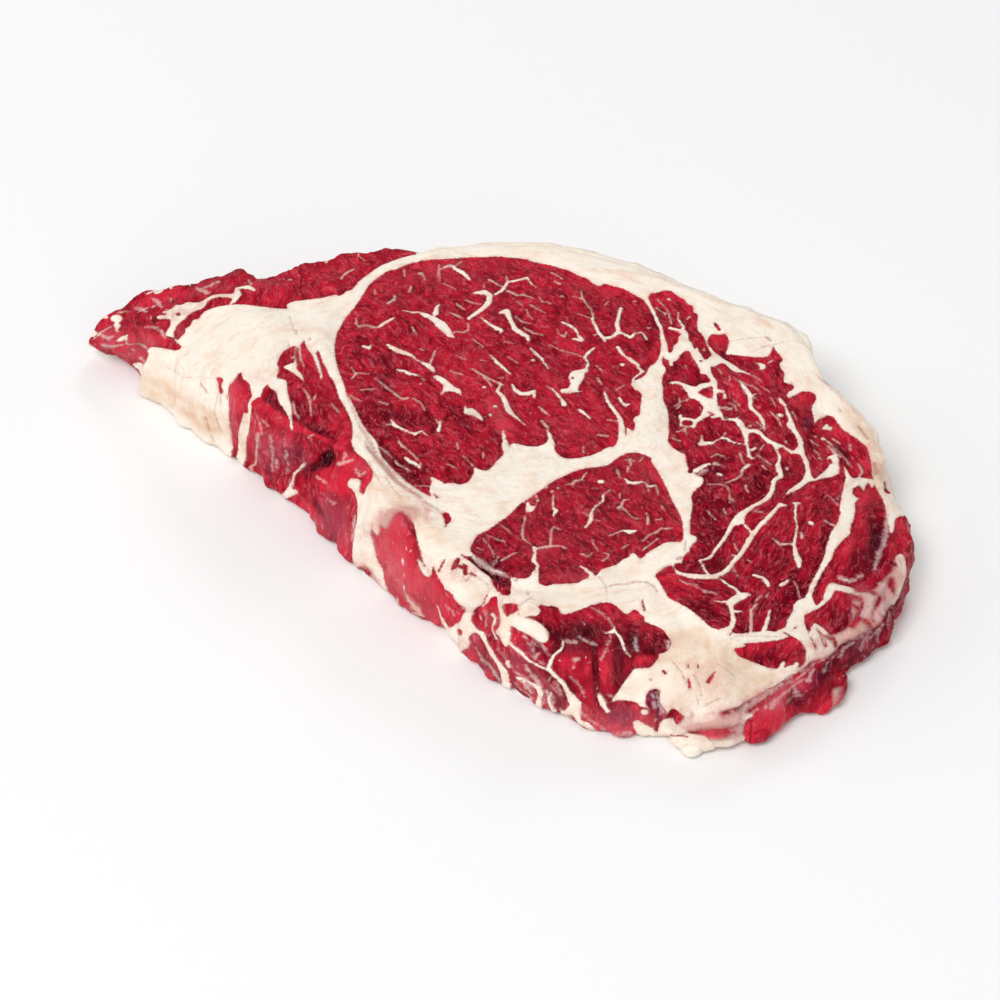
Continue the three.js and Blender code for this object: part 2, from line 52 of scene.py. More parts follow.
# Lean muscle: outlines, x and y in turn.
LEAN = {
    "eye": [
        -42.8, 38, -42.6, 42.7, -41.9, 46.3, -40.1, 51.6, -37.9, 55.9, -36.3, 59.1, -35.2, 62,
        -33.6, 66.3, -31.1, 69.5, -28.6, 72.4, -26.1, 73.1, -24, 74.9, -20.4, 76.5, -16.1, 77.5,
        -11.9, 77.7, -6.9, 78.4, 0, 78.5, 7.5, 78.6, 12.5, 77.5, 15, 76.3, 18.6, 75.4, 22.1, 73.8,
        25, 72.5, 27.1, 70.6, 30, 68.8, 32.1, 66.6, 33.9, 65.6, 35, 66.8, 37.1, 65.9, 38.6, 65.2,
        41.1, 63.8, 43.6, 61.6, 46.1, 59.5, 47.5, 57, 48.6, 53.8, 49.6, 49.9, 50.4, 46.3,
        50.4, 42.7, 50.5, 38.4, 49.8, 34.9, 48.6, 32, 46.8, 30.2, 46.1, 27.7, 44.6, 25.9,
        42.5, 24.5, 41.4, 23.1, 42.5, 20.9, 44.3, 19.1, 43.9, 15.2, 43.4, 10.9, 42.1, 9.9,
        41.6, 8.4, 42.1, 7, 41.4, 4, 39.6, 5.6, 39.6, 2.5, 38.8, 2.7, 38.4, 6.6, 37.6, 6.4,
        37.3, 2.7, 36.8, -0.5, 35.7, -2.1, 34.3, -2.3, 32.1, -4.1, 29.3, -5.7, 26.4, -6.6,
        22.9, -6.9, 20.7, -5.5, 19.6, -3.4, 19.5, -0.1, 18.2, 1.5, 17.2, -0.6, 15, -1.9, 11.8, -1.8,
        10, -1.2, 7.9, -0.9, 7.1, -2.3, 6.4, 0.5, 5.6, 0.5, 5, -1.8, 5.4, -4, 5.2, -5.6, 3.5, -8.2,
        2.6, -9.8, 1.2, -11.6, -0.3, -11.6, -1.7, -10.9, -2.5, -10.5, -2.7, -13, -3.2, -14.3,
        -3.8, -15.7, -4.9, -16.6, -6.4, -17.1, -7.8, -16.4, -9.9, -16.4, -10.6, -16.8, -11, -16.1,
        -12.4, -15.2, -13.7, -14.2, -14.4, -14.3, -14.1, -15.7, -14.2, -17.3, -14.6, -19.3,
        -14.2, -21.4, -16, -20.4, -18.1, -18.6, -19.2, -17.6, -21, -15.7, -22.8, -12.9,
        -24.9, -10.4, -27.1, -6.8, -28.5, -3.9, -29.7, 0.2, -31.9, 3.8, -33.6, 7, -35.1, 10.9,
        -36.9, 15.6, -38.6, 19.1, -39.5, 23.4, -40.8, 27.7, -41.9, 32, -42.6, 36.6,
    ],
    "eye island": [
        -11, -28, -9.4, -27.7, -8.5, -30.4, -9.6, -32.1, -10.1, -33.2, -10.4, -30.4,
    ],
    "inner": [
        -3.4, -41.4, -2, -37, -0.6, -35.3, 1.5, -33.9, 4, -31.6, 6.1, -29.5, 8.2, -27, 10, -24.5,
        11.9, -23, 14.4, -20.3, 16.5, -18.3, 19, -15.8, 21.5, -14.1, 24, -12.4, 26.5, -11,
        29.8, -10.5, 32.8, -9.9, 34.4, -9.1, 36.1, -7.4, 38.2, -5.5, 40.3, -4.7, 42.3, -4.7,
        44, -5.5, 45.7, -6.6, 46.3, -9.1, 47.8, -12.4, 49.4, -17.4, 50.7, -22, 51.9, -25.8,
        53.2, -29.9, 53.4, -32.8, 53.4, -36.6, 52.8, -38.7, 51.5, -38.7, 49, -38.9, 47.3, -39.9,
        45.3, -41.4, 43.6, -42.8, 41.9, -44.9, 41.1, -44.5, 40.3, -43, 39.2, -43, 38.6, -44.3,
        36.9, -45.3, 35.7, -46.6, 33.6, -47.8, 31.5, -48.7, 30.7, -49.9, 29.8, -51.2, 29, -50.5,
        28.2, -50.6, 27.5, -52, 26.1, -52.8, 24.4, -53.9, 21.1, -54.1, 18.6, -54.3, 16.7, -54.9,
        14.8, -53.9, 14.5, -52, 13.4, -49.1, 12.8, -50.8, 11.9, -51.8, 10, -52.2, 8.2, -51.6,
        6.1, -51.2, 5.3, -49.6, 2.3, -47.6, -1.4, -44.6,
    ],
    "sliver": [
        -3.5, -43.7, -1.4, -47, 0.7, -49.1, 2.3, -52.8, 3.6, -55.8, 5.7, -57.8, 7, -58.3, 7.4, -55,
        7.3, -53, 5, -51, 2, -49, -1, -46,
    ],
    "cap point": [
        47.8, 59.6, 48, 61.4, 49, 62.3, 50.6, 62.6, 52.3, 63.3, 54.4, 63.3, 55.3, 62.1, 56.7, 60.6,
        58.3, 59.2, 59.2, 57.6, 60.6, 56.2, 60.5, 53.7, 61.7, 52.8, 61.5, 49.9, 61.4, 47.1,
        61.7, 45.6, 62.8, 44.2, 63.3, 42.2, 63.5, 40.4, 64, 38.5, 64.7, 36.5, 64.8, 35.2,
        64.2, 34.4, 63.4, 33.4, 62.6, 33.4, 61.9, 35.5, 61.3, 37.1, 60.9, 38.7, 60.3, 38, 59.8, 38,
        59.7, 39.8, 59.3, 41, 58.6, 41.9, 58.6, 44.7, 57.9, 46, 57.3, 47, 56.9, 45.7, 56.3, 44,
        55.7, 43.1, 55.5, 41, 54.2, 39.6, 53.8, 37.4, 52.8, 36.4, 52.4, 37.8, 52.3, 40.6,
        51.7, 43.1, 51.4, 46, 51, 48.5, 50.1, 50.6, 49.4, 53.5, 48.5, 56.7,
    ],
    "cap heart": [
        50.5, 21.4, 50.3, 25.6, 51.4, 28.5, 51.4, 29.9, 50.6, 32.1, 50.8, 34.9, 51.4, 33.9,
        52.4, 33.1, 52.6, 31, 53.5, 31.4, 53.7, 32.8, 55.3, 33.8, 55.8, 35.4, 57.1, 36.9, 58, 37.3,
        58.9, 36.4, 59.2, 34.6, 59.8, 33.1, 60.5, 31, 61.2, 28.5, 61.4, 27.3, 62.8, 26.9,
        63.5, 25.3, 63.9, 23.7, 62.1, 23.5, 60.6, 23.1, 59.9, 22.1, 58.5, 22.4, 57.1, 23.3, 56, 24,
        54.6, 24.6, 53.1, 24.4, 52.1, 23.9,
    ],
    "cap left": [
        50.6, 22.1, 51.4, 23.5, 54.2, 23.5, 55.8, 22.6, 56.2, 21.4, 57.2, 19.6, 57.6, 17.8,
        59.3, 17.1, 60.5, 15.7, 61.3, 13.8, 60.9, 11.9, 60.1, 9.8, 59, 8.8, 60.5, 9, 61.3, 9.8,
        62.6, 9.9, 63.4, 9.2, 65, 9.4, 65.2, 10.6, 65.9, 9.8, 66.3, 8.4, 68.8, 8.4, 70, 7.8,
        70.8, 6, 71.2, 4.6, 72, 3.2, 72.2, 1.5, 72.3, -1.2, 72.6, -6, 74, -7, 76, -4, 78, -1,
        79.6, -1.6, 80.3, -3.6, 81, -5.4, 80.6, -8, 80.2, -10, 80.4, -13, 79.2, -14.2, 78.4, -15.4,
        78.2, -17.6, 77.6, -19.6, 76.3, -21.4, 74.4, -23.4, 72.2, -25, 70, -26.8, 67.8, -29,
        66, -32, 64.8, -35, 63.4, -38, 61.6, -40.8, 60, -43.6, 57.2, -45.4, 57.6, -47, 58.1, -48.8,
        59, -50.4, 55.8, -50.4, 53.1, -50.1, 51.5, -49.5, 50.6, -48.1, 50.8, -46.7, 52.6, -46.3,
        53.1, -44, 54.5, -42.6, 55.4, -40.4, 57, -38.1, 56.7, -36.7, 55.4, -35.8, 55.4, -33.1,
        55.6, -30.8, 55.9, -28.5, 56.3, -26, 56.3, -23.9, 56.5, -21, 57.6, -19.3, 58.4, -18.1,
        59.5, -16.6, 59.9, -14.8, 59.3, -13.9, 58.4, -13.5, 57.4, -12.4, 56.3, -12.5, 55.7, -11.8,
        55.9, -10.2, 55.5, -8.1, 55.3, -5.2, 54.5, -4.8, 53.4, -3.9, 52.2, -2.7, 51.1, -1,
        50.9, 0.7, 51.3, 2.8, 51.3, 5.7, 51.5, 8.6, 51.5, 11.5, 51.1, 13.6, 50.5, 15.7, 50.2, 18.6,
    ],
    "cap triangle": [
        60.1, 19.8, 62.2, 21.3, 64, 22.1, 64.5, 21.1, 64.3, 19, 64, 17.1, 62.6, 17.5, 61.3, 18.6,
    ],
    "cap link": [
        57.4, -45.6, 60.4, -44.4, 62.2, -41.4, 64, -38.6, 65.6, -36, 66.8, -33.2, 68.7, -32.2,
        70.2, -32.8, 71.2, -35.4, 70.4, -37.8, 69, -40.4, 67.6, -42.8, 65.8, -45.4, 64.4, -47.7,
        62.7, -49.4, 60.6, -50.4, 59.6, -50.4, 58.6, -48.4,
    ],
    "cap band": [
        72.6, -26.2, 74.6, -24.6, 77, -22.6, 78.6, -20.4, 79.2, -17.6, 79.8, -15.4, 81.6, -14.2,
        81.6, -11, 81.2, -8.6, 81.7, -6, 80.9, -3.4, 82, -2.6, 83.2, -3.6, 84.6, -4.9, 86, -4.9,
        87.1, -5.4, 87.8, -8.6, 88, -11.4, 87.4, -13.8, 86.4, -15.8, 84.4, -17.6, 82.4, -19.6,
        83.6, -19.8, 86, -18.4, 88, -16.4, 90.5, -15.6, 93, -14.4, 95, -14, 97, -12.6, 98.2, -11.2,
        98.8, -13, 99.2, -15.4, 98.4, -18, 97.8, -21.2, 96.6, -24.4, 96, -28.5, 94.5, -32.4,
        93.1, -34.9, 92.2, -37.6, 91.3, -40.4, 90.4, -44, 89, -47.6, 87.6, -50.8, 86.3, -53.5,
        85.1, -56.7, 84, -59, 82.2, -59.9, 81, -61.7, 80.4, -64, 79, -66.7, 78.1, -69.5,
        76.7, -70.4, 75.4, -71, 73.5, -70.6, 72.4, -71, 70.1, -71, 68.5, -71.5, 65.4, -71.7,
        64.5, -71.3, 63.5, -72.6, 64.6, -70, 65.2, -67, 65.1, -63.1, 65.8, -61.3, 68.1, -59.5,
        70.2, -57.6, 67.6, -57.2, 66.6, -55.4, 64.6, -54, 63.2, -52.4, 61.6, -51.4, 63.6, -50.6,
        65.4, -48.6, 66.8, -46.3, 68.6, -43.6, 70, -41.3, 71.4, -38.6, 72.8, -35.9, 74.6, -33.1,
        76.8, -30.4, 78.6, -27.7, 80.1, -25.5, 82, -25.2, 80, -23.8, 79, -25.2, 77, -27.9,
        75.4, -30.2, 73.8, -32.6, 72, -34.6, 70.2, -32.6, 70.2, -30, 71, -28,
    ],
    "cap crumb": [
        73.4, 3.2, 75, 3.4, 76.4, 2.4, 77, 1, 78.4, -0.9, 77.6, -1.8, 76, -4, 74.8, -6, 73.8, -6.4,
        73.2, -4, 73, -1, 73.2, 1.5,
    ],
    "bruise": [
        41.4, -93.4, 42.2, -91.4, 43.8, -90.6, 44.8, -91.6, 44.8, -94.4, 45.6, -96.6, 46.6, -98.4,
        44.6, -100.2, 43, -99.6, 42.2, -97.2, 41.4, -95.4,
    ],
    "cap right": [
        64.2, 30.3, 65.5, 30.2, 66.5, 31.3, 67.8, 31.9, 69.2, 30.4, 70.6, 28.4, 73.1, 27.8,
        75.6, 27.5, 73, 28.9, 71, 30.9, 69.2, 33, 67.6, 34.6, 66, 36, 65, 38, 64.1, 40.2,
        64.2, 42.4, 64.9, 43.9, 65.6, 44.4, 67.4, 44, 69.2, 44.4, 70.1, 42.1, 69.8, 39.6,
        69.2, 37.1, 68.9, 36.2, 69.9, 35.6, 73.5, 35.1, 76.7, 34.6, 80.6, 34.8, 81.7, 36.4,
        82.6, 38.9, 83.3, 37.1, 84.9, 34.2, 84.9, 33.1, 83.9, 31.7, 84.4, 29.2, 85.1, 27.4,
        84.6, 25.3, 84.8, 23.9, 85.6, 23.5, 87.3, 22.6, 86.9, 21, 85.6, 19.9, 85, 18.4, 85.7, 17.8,
        87.2, 18.6, 88.2, 19.4, 89.7, 20.3, 90.9, 20, 92.4, 19.6, 93.2, 18.2, 92.8, 16.1,
        91.8, 14.4, 91.6, 12.6, 91.9, 9, 91.6, 6.4, 92.2, 7.3, 93, 8.6, 94.7, 9.8, 95.9, 10.5,
        97.2, 9.8, 98, 8.2, 98.8, 6.1, 100.1, 4, 101.8, 2.3, 103.4, 0.7, 104.7, -1, 105.7, -2.7,
        105.9, -5.2, 106.1, -7.7, 106.1, -10.6, 105.9, -13.5, 106.1, -14.8, 106.3, -17,
        105.5, -18.1, 104.7, -16.4, 103.8, -17.7, 103.2, -19.5, 102.2, -17.6, 100.2, -18.6,
        99.9, -20.2, 101, -21.8, 101.8, -22.2, 100.4, -24, 100.2, -26.7, 99.5, -29.9, 98.3, -33.1,
        97.9, -35.8, 96.3, -37.6, 94.5, -39.9, 93.1, -42.2, 92.2, -44.9, 90.4, -48.1, 89, -50.8,
        87.6, -54, 86.5, -56.7, 86, -58.5, 86.6, -61.7, 87.6, -61.3, 89, -59, 89.9, -55.8,
        90.8, -54, 91.7, -53.8, 94, -54.6, 96.7, -55.7, 98, -57, 100, -57.2, 102, -56, 104.4, -53.2,
        106.4, -50.6, 108, -48.6, 109, -46, 110.2, -43.4, 111.2, -45, 111.6, -48.8, 111, -53,
        109.6, -58, 107.6, -62, 112, -62, 116, -45, 115.5, -33, 113, -29.6, 110.8, -29.8, 110, -33,
        109.2, -35.6, 108.6, -34, 108.4, -28.5, 108.2, -24, 107.3, -20.4, 106.4, -15.6, 104, -14.6,
        102.4, -14.2, 100, -14.6, 99.5, -12, 98.4, -9.4, 97.2, -6.6, 96.6, -5.6, 95.2, -5.8,
        94.2, -7, 94.6, -8.8, 95.6, -8.6, 94.4, -10, 93, -12, 91.6, -13.4, 90, -15, 89.1, -12,
        89.1, -8.4, 88.4, -5.6, 88.1, -3, 88.2, 0, 87.5, 2.6, 86.6, 5.2, 86, 8.4, 85.2, 11.4,
        84.2, 12.2, 84.8, 8.6, 84, 6.4, 85.2, 4.4, 86.2, 2.2, 86.6, -0.2, 86.4, -2.8, 85.4, -3.6,
        84.2, -3.6, 83, -2.2, 80.4, -0.4, 78.8, 0.9, 77.6, 2.4, 76.8, 4, 75.2, 5, 73, 4.8,
        72.4, 6.6, 71.6, 8.6, 69, 9.2, 67, 8.6, 66.6, 11, 65.6, 13.4, 65.4, 16.6, 65.6, 19.4,
        67.4, 19.4, 67.6, 20.6, 65.8, 20.8, 65.8, 22.8, 65.5, 24.6, 64.6, 26.7, 64.2, 28.5,
    ],
    "cap tip": [
        109, -17.3, 109.5, -16.6, 110.3, -17.7, 110.3, -20.2, 109.7, -20.6, 108.8, -19.3,
    ],
    "cap foot": [
        92, -56.7, 93.5, -56.7, 95.4, -57.6, 97.6, -58.5, 99, -59.5, 98.1, -59.9, 96.7, -59.5,
        95.8, -61.7, 95.6, -64.5, 95.4, -67.2, 93.5, -69.9, 91.7, -71.3, 89.9, -72, 88.5, -70.4,
        86.7, -68.5, 85.8, -68.1, 84.9, -69.5, 84.2, -71.7, 83.5, -69.5, 83.3, -66.7, 83.5, -65.4,
        85.4, -64, 87.6, -62.6, 89.5, -60.8, 91.3, -58.5,
    ],
    "cap corner": [
        46.7, -49.5, 45.4, -51.3, 46.3, -53.5, 47.6, -56.7, 48.5, -59, 50.8, -60.8, 53.1, -62.6,
        55.4, -64.9, 57.2, -67.2, 59, -69.5, 61.3, -70.4, 63.1, -69.5, 64.2, -67.6, 64.2, -64.9,
        64, -62.6, 63.5, -61, 64, -59.9, 65.8, -58.8, 66.7, -57.6, 66.3, -56, 64.5, -54.5,
        63.1, -53.3, 62.4, -52.2, 59.5, -52.2, 55.8, -52.3, 52.6, -51.3, 50.8, -49.5, 49.5, -47.4,
    ],
    "ledge": [
        64.5, -77.1, 65.9, -76.7, 67.3, -76, 66.9, -75.2, 69.7, -74.9, 74.5, -74.3, 77.3, -73.6,
        79.2, -72.6, 80.7, -73.3, 82.1, -75.2, 82.8, -77.6, 82.6, -80, 82.1, -81.9, 80.7, -83.3,
        79, -82.6, 76.9, -83.3, 74.5, -83.8, 72.1, -83.1, 69.7, -81.7, 67.3, -80.5, 65.4, -79.3,
    ],
    "strip": [
        -20.2, 81, -21.1, 79.9, -24.7, 78.4, -27.9, 76.6, -30.1, 74.9, -32.2, 73.1, -34.7, 70.2,
        -36.9, 67.4, -38.6, 64.1, -40.4, 63.1, -41.9, 61.3, -44, 61.5, -48, 60, -52, 59.3,
        -56, 58.5, -57.5, 57, -57.3, 55.3, -62, 56, -68, 57, -73.7, 57.3, -76.9, 56.5, -79.1, 55.6,
        -80.9, 54.6, -81.9, 53.1, -82.6, 51, -84.1, 50.3, -84.8, 47.8, -85.9, 46.7, -85.9, 44.9,
        -86.9, 43.5, -88, 41.9, -88.9, 43.5, -88, 41, -86.4, 38.9, -87.5, 37.4, -89.8, 37.8,
        -92.3, 38.5, -95.1, 38.9, -95.9, 37.4, -95.5, 34.9, -96.6, 31.4, -98, 31.7, -99.6, 31,
        -102, 30, -106, 34, -112, 36, -122, 42, -112, 60, -100, 72, -70, 84, -20, 92,
    ],
    "strip stain": [
        -75.2, 26.2, -73.3, 25.6, -73.1, 22.9, -72.3, 20.6, -72.9, 19.5, -73.7, 19.8, -74.2, 22.9,
    ],
    "side stripe": [
        -69, 28.3, -68.1, 25.6, -66.3, 23.7, -65.6, 20.6, -65.2, 18.3, -65.6, 15.2, -65.2, 11.8,
        -66.3, 11.8, -66.9, 7.5, -67.3, 1.8, -66.7, -5.9, -67.1, -7.8, -68.1, -6.3, -68.8, -0.9,
        -69.8, 5.2, -70.2, 9.8, -70.4, 15.2, -71, 21, -70.6, 24.1,
    ],
    "side": [
        -58.5, 26, -58.1, 29.5, -58.8, 31.8, -58.1, 34.8, -57.3, 36.8, -56.2, 37.9, -54.2, 39.1,
        -53.1, 38.3, -52.3, 40.2, -51.7, 41.8, -51.2, 40.2, -50.6, 38.3, -49.6, 36.4, -48.1, 34.1,
        -47.7, 36.8, -47.5, 37.5, -46.5, 35.2, -46, 32.9, -45.4, 31.4, -44.6, 29.5, -43.8, 27.2,
        -42.7, 25.2, -41.9, 22.9, -41.2, 19.8, -40, 16.4, -38.5, 12.9, -37.3, 9.5, -36.5, 6,
        -36.3, 2.5, -36.5, 0.3, -36.1, -1.9, -35.3, -3.8, -34.2, -5.6, -32.7, -7.1, -31.6, -9,
        -30.5, -10.8, -30.1, -12.7, -30.5, -15.3, -31.4, -17.9, -32.2, -19.5, -32.9, -17.9,
        -33.1, -16, -34.6, -14.7, -36.1, -15.3, -36.2, -17.4, -34.8, -19, -33.9, -21.9, -33, -26.7,
        -32.7, -31.2, -33.3, -35.3, -33.5, -40.4, -33.6, -46.7, -35, -52, -45, -45, -60, -25,
        -68, -15, -64.8, -9.4, -64.8, -6.7, -64.6, -3.2, -64.8, 0.6, -64.6, 3.3, -64, 6.8,
        -63.7, 8.7, -64.2, 9.8, -64.2, 12.2, -64.2, 15.2, -63.8, 17.7, -62.7, 17.5, -62.5, 19.5,
        -61.9, 21.8, -61, 22.9, -60, 21.4, -58.8, 20.6, -58.1, 19.1, -57.7, 16.8, -56.5, 14.5,
        -55, 11.4, -54, 8.3, -53.7, 5.6, -52.9, 4.5, -53.1, 7.2, -53.5, 10.2, -53.8, 13.7,
        -54.6, 17.5, -55.4, 21.4, -55.8, 24.5, -57.3, 25.4,
    ],
    "wet patch": [
        -28.4, -34, -26.4, -33, -24.6, -33.4, -23.4, -31, -22.6, -28, -21.4, -28.8, -19.8, -30.4,
        -18, -32.7, -17, -36.7, -16, -40.4, -15.2, -46, -15, -48, -14.2, -52, -13.4, -50,
        -12.8, -47.2, -12, -50, -10, -54, -8.4, -56, -7.2, -57.6, -6, -60.4, -4.4, -62, -4.4, -64,
        -5.2, -67.2, -7.6, -69.2, -9.2, -71.5, -7.4, -73.6, -12, -74, -20, -66, -26, -61,
        -22.4, -59.6, -24, -56, -25.6, -50, -27.6, -44.1, -28.7, -36.7, -29, -34.5,
    ],
    "neck": [
        2.4, -58.8, 4, -58.8, 4.8, -61.2, 5.2, -64, 5.2, -68, 4.8, -71.2, 5.2, -73.6, 6.8, -76,
        8, -72, 7.6, -69, 9.2, -69.6, 11.6, -71.6, 13.6, -73.2, 16, -74.8, 17.2, -72, 15.6, -68.8,
        13.6, -66.8, 11.2, -65.6, 13.9, -65.5, 15, -64, 14.4, -62.4, 15.3, -61.7, 16.7, -62.1,
        18.6, -62.1, 19.7, -63, 20.4, -64.7, 21.9, -64.9, 24.5, -63.8, 26.7, -62.7, 29, -61.4,
        31.9, -60.8, 33.4, -61, 35.3, -62.7, 37.1, -64.9, 38.2, -64.3, 39.7, -63.2, 40.8, -64.5,
        41.9, -66, 42.1, -67.5, 44.5, -69, 46.4, -70.4, 47.5, -72.3, 48.2, -73.8, 48.4, -76,
        47.1, -77.9, 45.3, -78.6, 45.1, -80.1, 43.8, -81.9, 42.7, -83.4, 39.3, -83.6, 38.2, -84.5,
        37.1, -86.4, 35.6, -89, 34.5, -91.2, 33.4, -93, 32.7, -94.9, 34.9, -94.1, 38.6, -94.7,
        40.1, -96, 41.9, -96.7, 43, -99, 43.4, -100.8, 43, -102.7, 41.6, -101.9, 39.3, -100.4,
        37.9, -100.8, 37.9, -102.7, 38.6, -104.5, 41, -107, 30, -110, 0, -97, -8, -84, -3.2, -76,
        -3.2, -72.8, -2.4, -71.4, -1.2, -71.2, 0, -71.2, -2.4, -67.6, -2, -64, -0.4, -62,
        1.2, -60.8,
    ],
    "lobe side": [
        1.8, -56, 1, -58.8, 0, -61.2, -0.8, -63.2, -2.2, -64, -1.8, -62.2, -0.4, -61.2, 0.6, -59,
    ],
    "neck bit": [
        6.4, -61.2, 8.8, -61.2, 9.8, -63, 8.4, -64.4, 6.6, -65.5,
    ],
    "knob red": [
        46.4, -99, 47.9, -97.1, 49, -97.1, 50.4, -99.1, 50.1, -100.4, 49, -101.9, 48.2, -100.1,
        46.4, -100.1, 44.9, -101.2, 44.1, -103.8, 43, -102.7, 43.4, -100.8,
    ],
    "foot flap": [
        75.9, -88, 79, -85.8, 82, -83.6, 84, -81.6, 86.5, -80.6, 88.5, -79.2, 91, -77, 93, -75.4,
        96, -73.6, 99, -71.6, 101, -69.6, 103, -67.4, 104.6, -65, 106, -62, 120, -60, 112, -80,
        100, -90, 90, -104, 78, -112, 68, -112, 65.4, -107.9, 65.9, -105.2, 65, -103.8, 66, -100.4,
        68, -98.6, 66.6, -97.2, 69.7, -94.6, 72.6, -92.2, 74.6, -90,
    ],
}

# Fat inside the lean: outlines, x and y in turn.
FAT_PATCHES = [
    [-14.4, 26.6, -13, 26.9, -11, 25.5, -9.5, 23.6, -8, 22, -6.6, 21, -6.3, 18.5, -7.6, 19.7,
     -9.5, 20.3, -10.8, 20.1, -12.2, 19, -11.5, 21.5, -11.8, 23.5, -13.8, 25.6],
    [-5.5, 15, -4.6, 13.4, -3.2, 13.6, -1, 11, 0, 8.3, -1, 8.8, -3.3, 10.8, -5.4, 11.3],
    [29.3, 30.2, 29.6, 28.8, 28.6, 27.7, 28.2, 25.6, 27.1, 23.1, 26.4, 20.9, 27.5, 20.2, 22.1, 19.5,
     21.8, 21.3, 23.6, 21.6, 24.3, 23.8, 23.9, 26.3, 25, 28.8, 27.5, 29.5],
    [11.7, -24.1, 12.3, -23.7, 12.8, -25.3, 14, -25.3, 14.4, -23.7, 14.8, -23.3, 13.6, -27,
     12.3, -27.8, 11.7, -27.8, 11.5, -26.2],
    [-89.4, 42.8, -91.6, 43.9, -91.4, 45.6, -90.5, 47.8, -90.7, 50.3, -91.6, 51, -94.4, 51.2,
     -94.8, 52.4, -93.4, 53.1, -93.4, 54.6, -91.9, 54.9, -90.5, 56.4, -89.8, 57.4, -88, 57.4,
     -86.6, 58.5, -83.7, 58.5, -81.6, 59.6, -79.4, 61.5, -76.9, 61.9, -74.4, 61.9, -73.2, 62.4,
     -73, 64.2, -72.5, 64.8, -71.6, 63.5, -70.9, 61.7, -71.6, 59.9, -72.6, 58.1, -74.1, 57.6,
     -73.5, 59.9, -75.9, 60.3, -78.7, 60.3, -80.5, 58.5, -81.6, 56, -83.7, 54.6, -85.9, 52.8,
     -86.2, 51, -88, 48.9, -88.9, 46.4, -89.1, 43.1, -87.6, 40.6, -86.4, 38.9, -88, 40.6],
    [-108, 51.5, -107, 52.6, -105.6, 52.6, -104.6, 51.2, -105.3, 49.6, -104.8, 48, -105.8, 46.6,
     -106.8, 47.8, -106.5, 49.4, -107.7, 50.2],
    [-56.9, 30.6, -53.5, 32.2, -53.1, 29.5, -51.5, 27.2, -50.8, 24.5, -50, 22.9, -51.5, 25.2,
     -54.6, 28.3, -56.2, 29.8],
    [-29, -32.5, -27, -31.5, -26.6, -34, -27.2, -36, -28.5, -35],
    [-36.1, -15.3, -34.6, -14.7, -33.1, -16, -32.9, -18.5, -34.8, -18.6, -36.2, -17.2],
    [-53.3, -19.5, -51.5, -19.3, -50.9, -20.8, -51.8, -21.6, -53, -21],
    [60.1, 0.3, 60.9, -0.2, 62.6, -0.2, 63.6, -0.6, 63.4, -1.2, 61.8, -1.4, 59.9, -1.8, 59, -1.2],
    [94.9, -6.2, 95.9, -6.2, 96.8, -7.5, 97.2, -9.3, 96.8, -11.4, 95.9, -13.1, 94.7, -13.7,
     93, -13.9, 91.8, -14.8, 90.1, -15.8, 89.7, -15.6, 91.3, -13.9, 92.6, -12.7, 93.8, -11.4,
     94.7, -9.3, 95.5, -8.9, 95.9, -7.7, 95.5, -6.8],
    [94.5, 6.1, 95.5, 7.3, 95.9, 6.1, 96.8, 5.9, 96.5, 4.6, 95.1, 4.8, 93.8, 5],
    [77.8, 32.3, 78.9, 32.1, 79.9, 31.2, 79.6, 29.6, 78.3, 29.4, 78.1, 31, 77.1, 32.4],
    [30.8, -70.8, 31.9, -71.2, 33.4, -70.4, 34.1, -69, 34.5, -70.8, 33.8, -71.6, 31.6, -71.6],
    [7.2, -65.2, 9.2, -64.2, 11.2, -65.6, 13.6, -66.8, 15.6, -68.8, 17.2, -72, 16, -74.8,
     13.6, -73.2, 11.6, -71.6, 9.2, -69.6, 8, -67.6],
    [19.3, -96.4, 20.8, -97, 22.4, -95.6, 22.6, -94, 24.2, -94.6, 25, -97, 24.8, -100, 23.4, -98.4,
     20.8, -98.2],
    [45, -102.4, 46.9, -100.2, 48.3, -100.5, 48, -101.9, 46.9, -103.8, 45.9, -104.5, 44.5, -103.8],
    [95.8, -61.7, 97.6, -61.3, 99, -63.5, 101.3, -66.7, 101, -68.5, 98, -69.5, 95.5, -71.5,
     92, -72.5, 90, -74.5, 86, -76, 84.5, -79, 84, -81, 82.4, -82.4, 83.6, -78, 83.2, -75,
     84.2, -71.7, 85.8, -68.1, 88.5, -70.4, 89.9, -72, 93.5, -69.9, 95.4, -67.2],
    [109, -44.5, 111, -43.2, 111.2, -46, 110, -49.5, 108.4, -52, 107.6, -50.4],
    [88.5, -90.5, 90.6, -89.6, 91.6, -90.4, 90, -93.6, 88.2, -95.8, 88, -93],
    [67.6, -107.6, 69.6, -107.4, 70, -108.8, 68.4, -109.6, 67.2, -108.6],
]

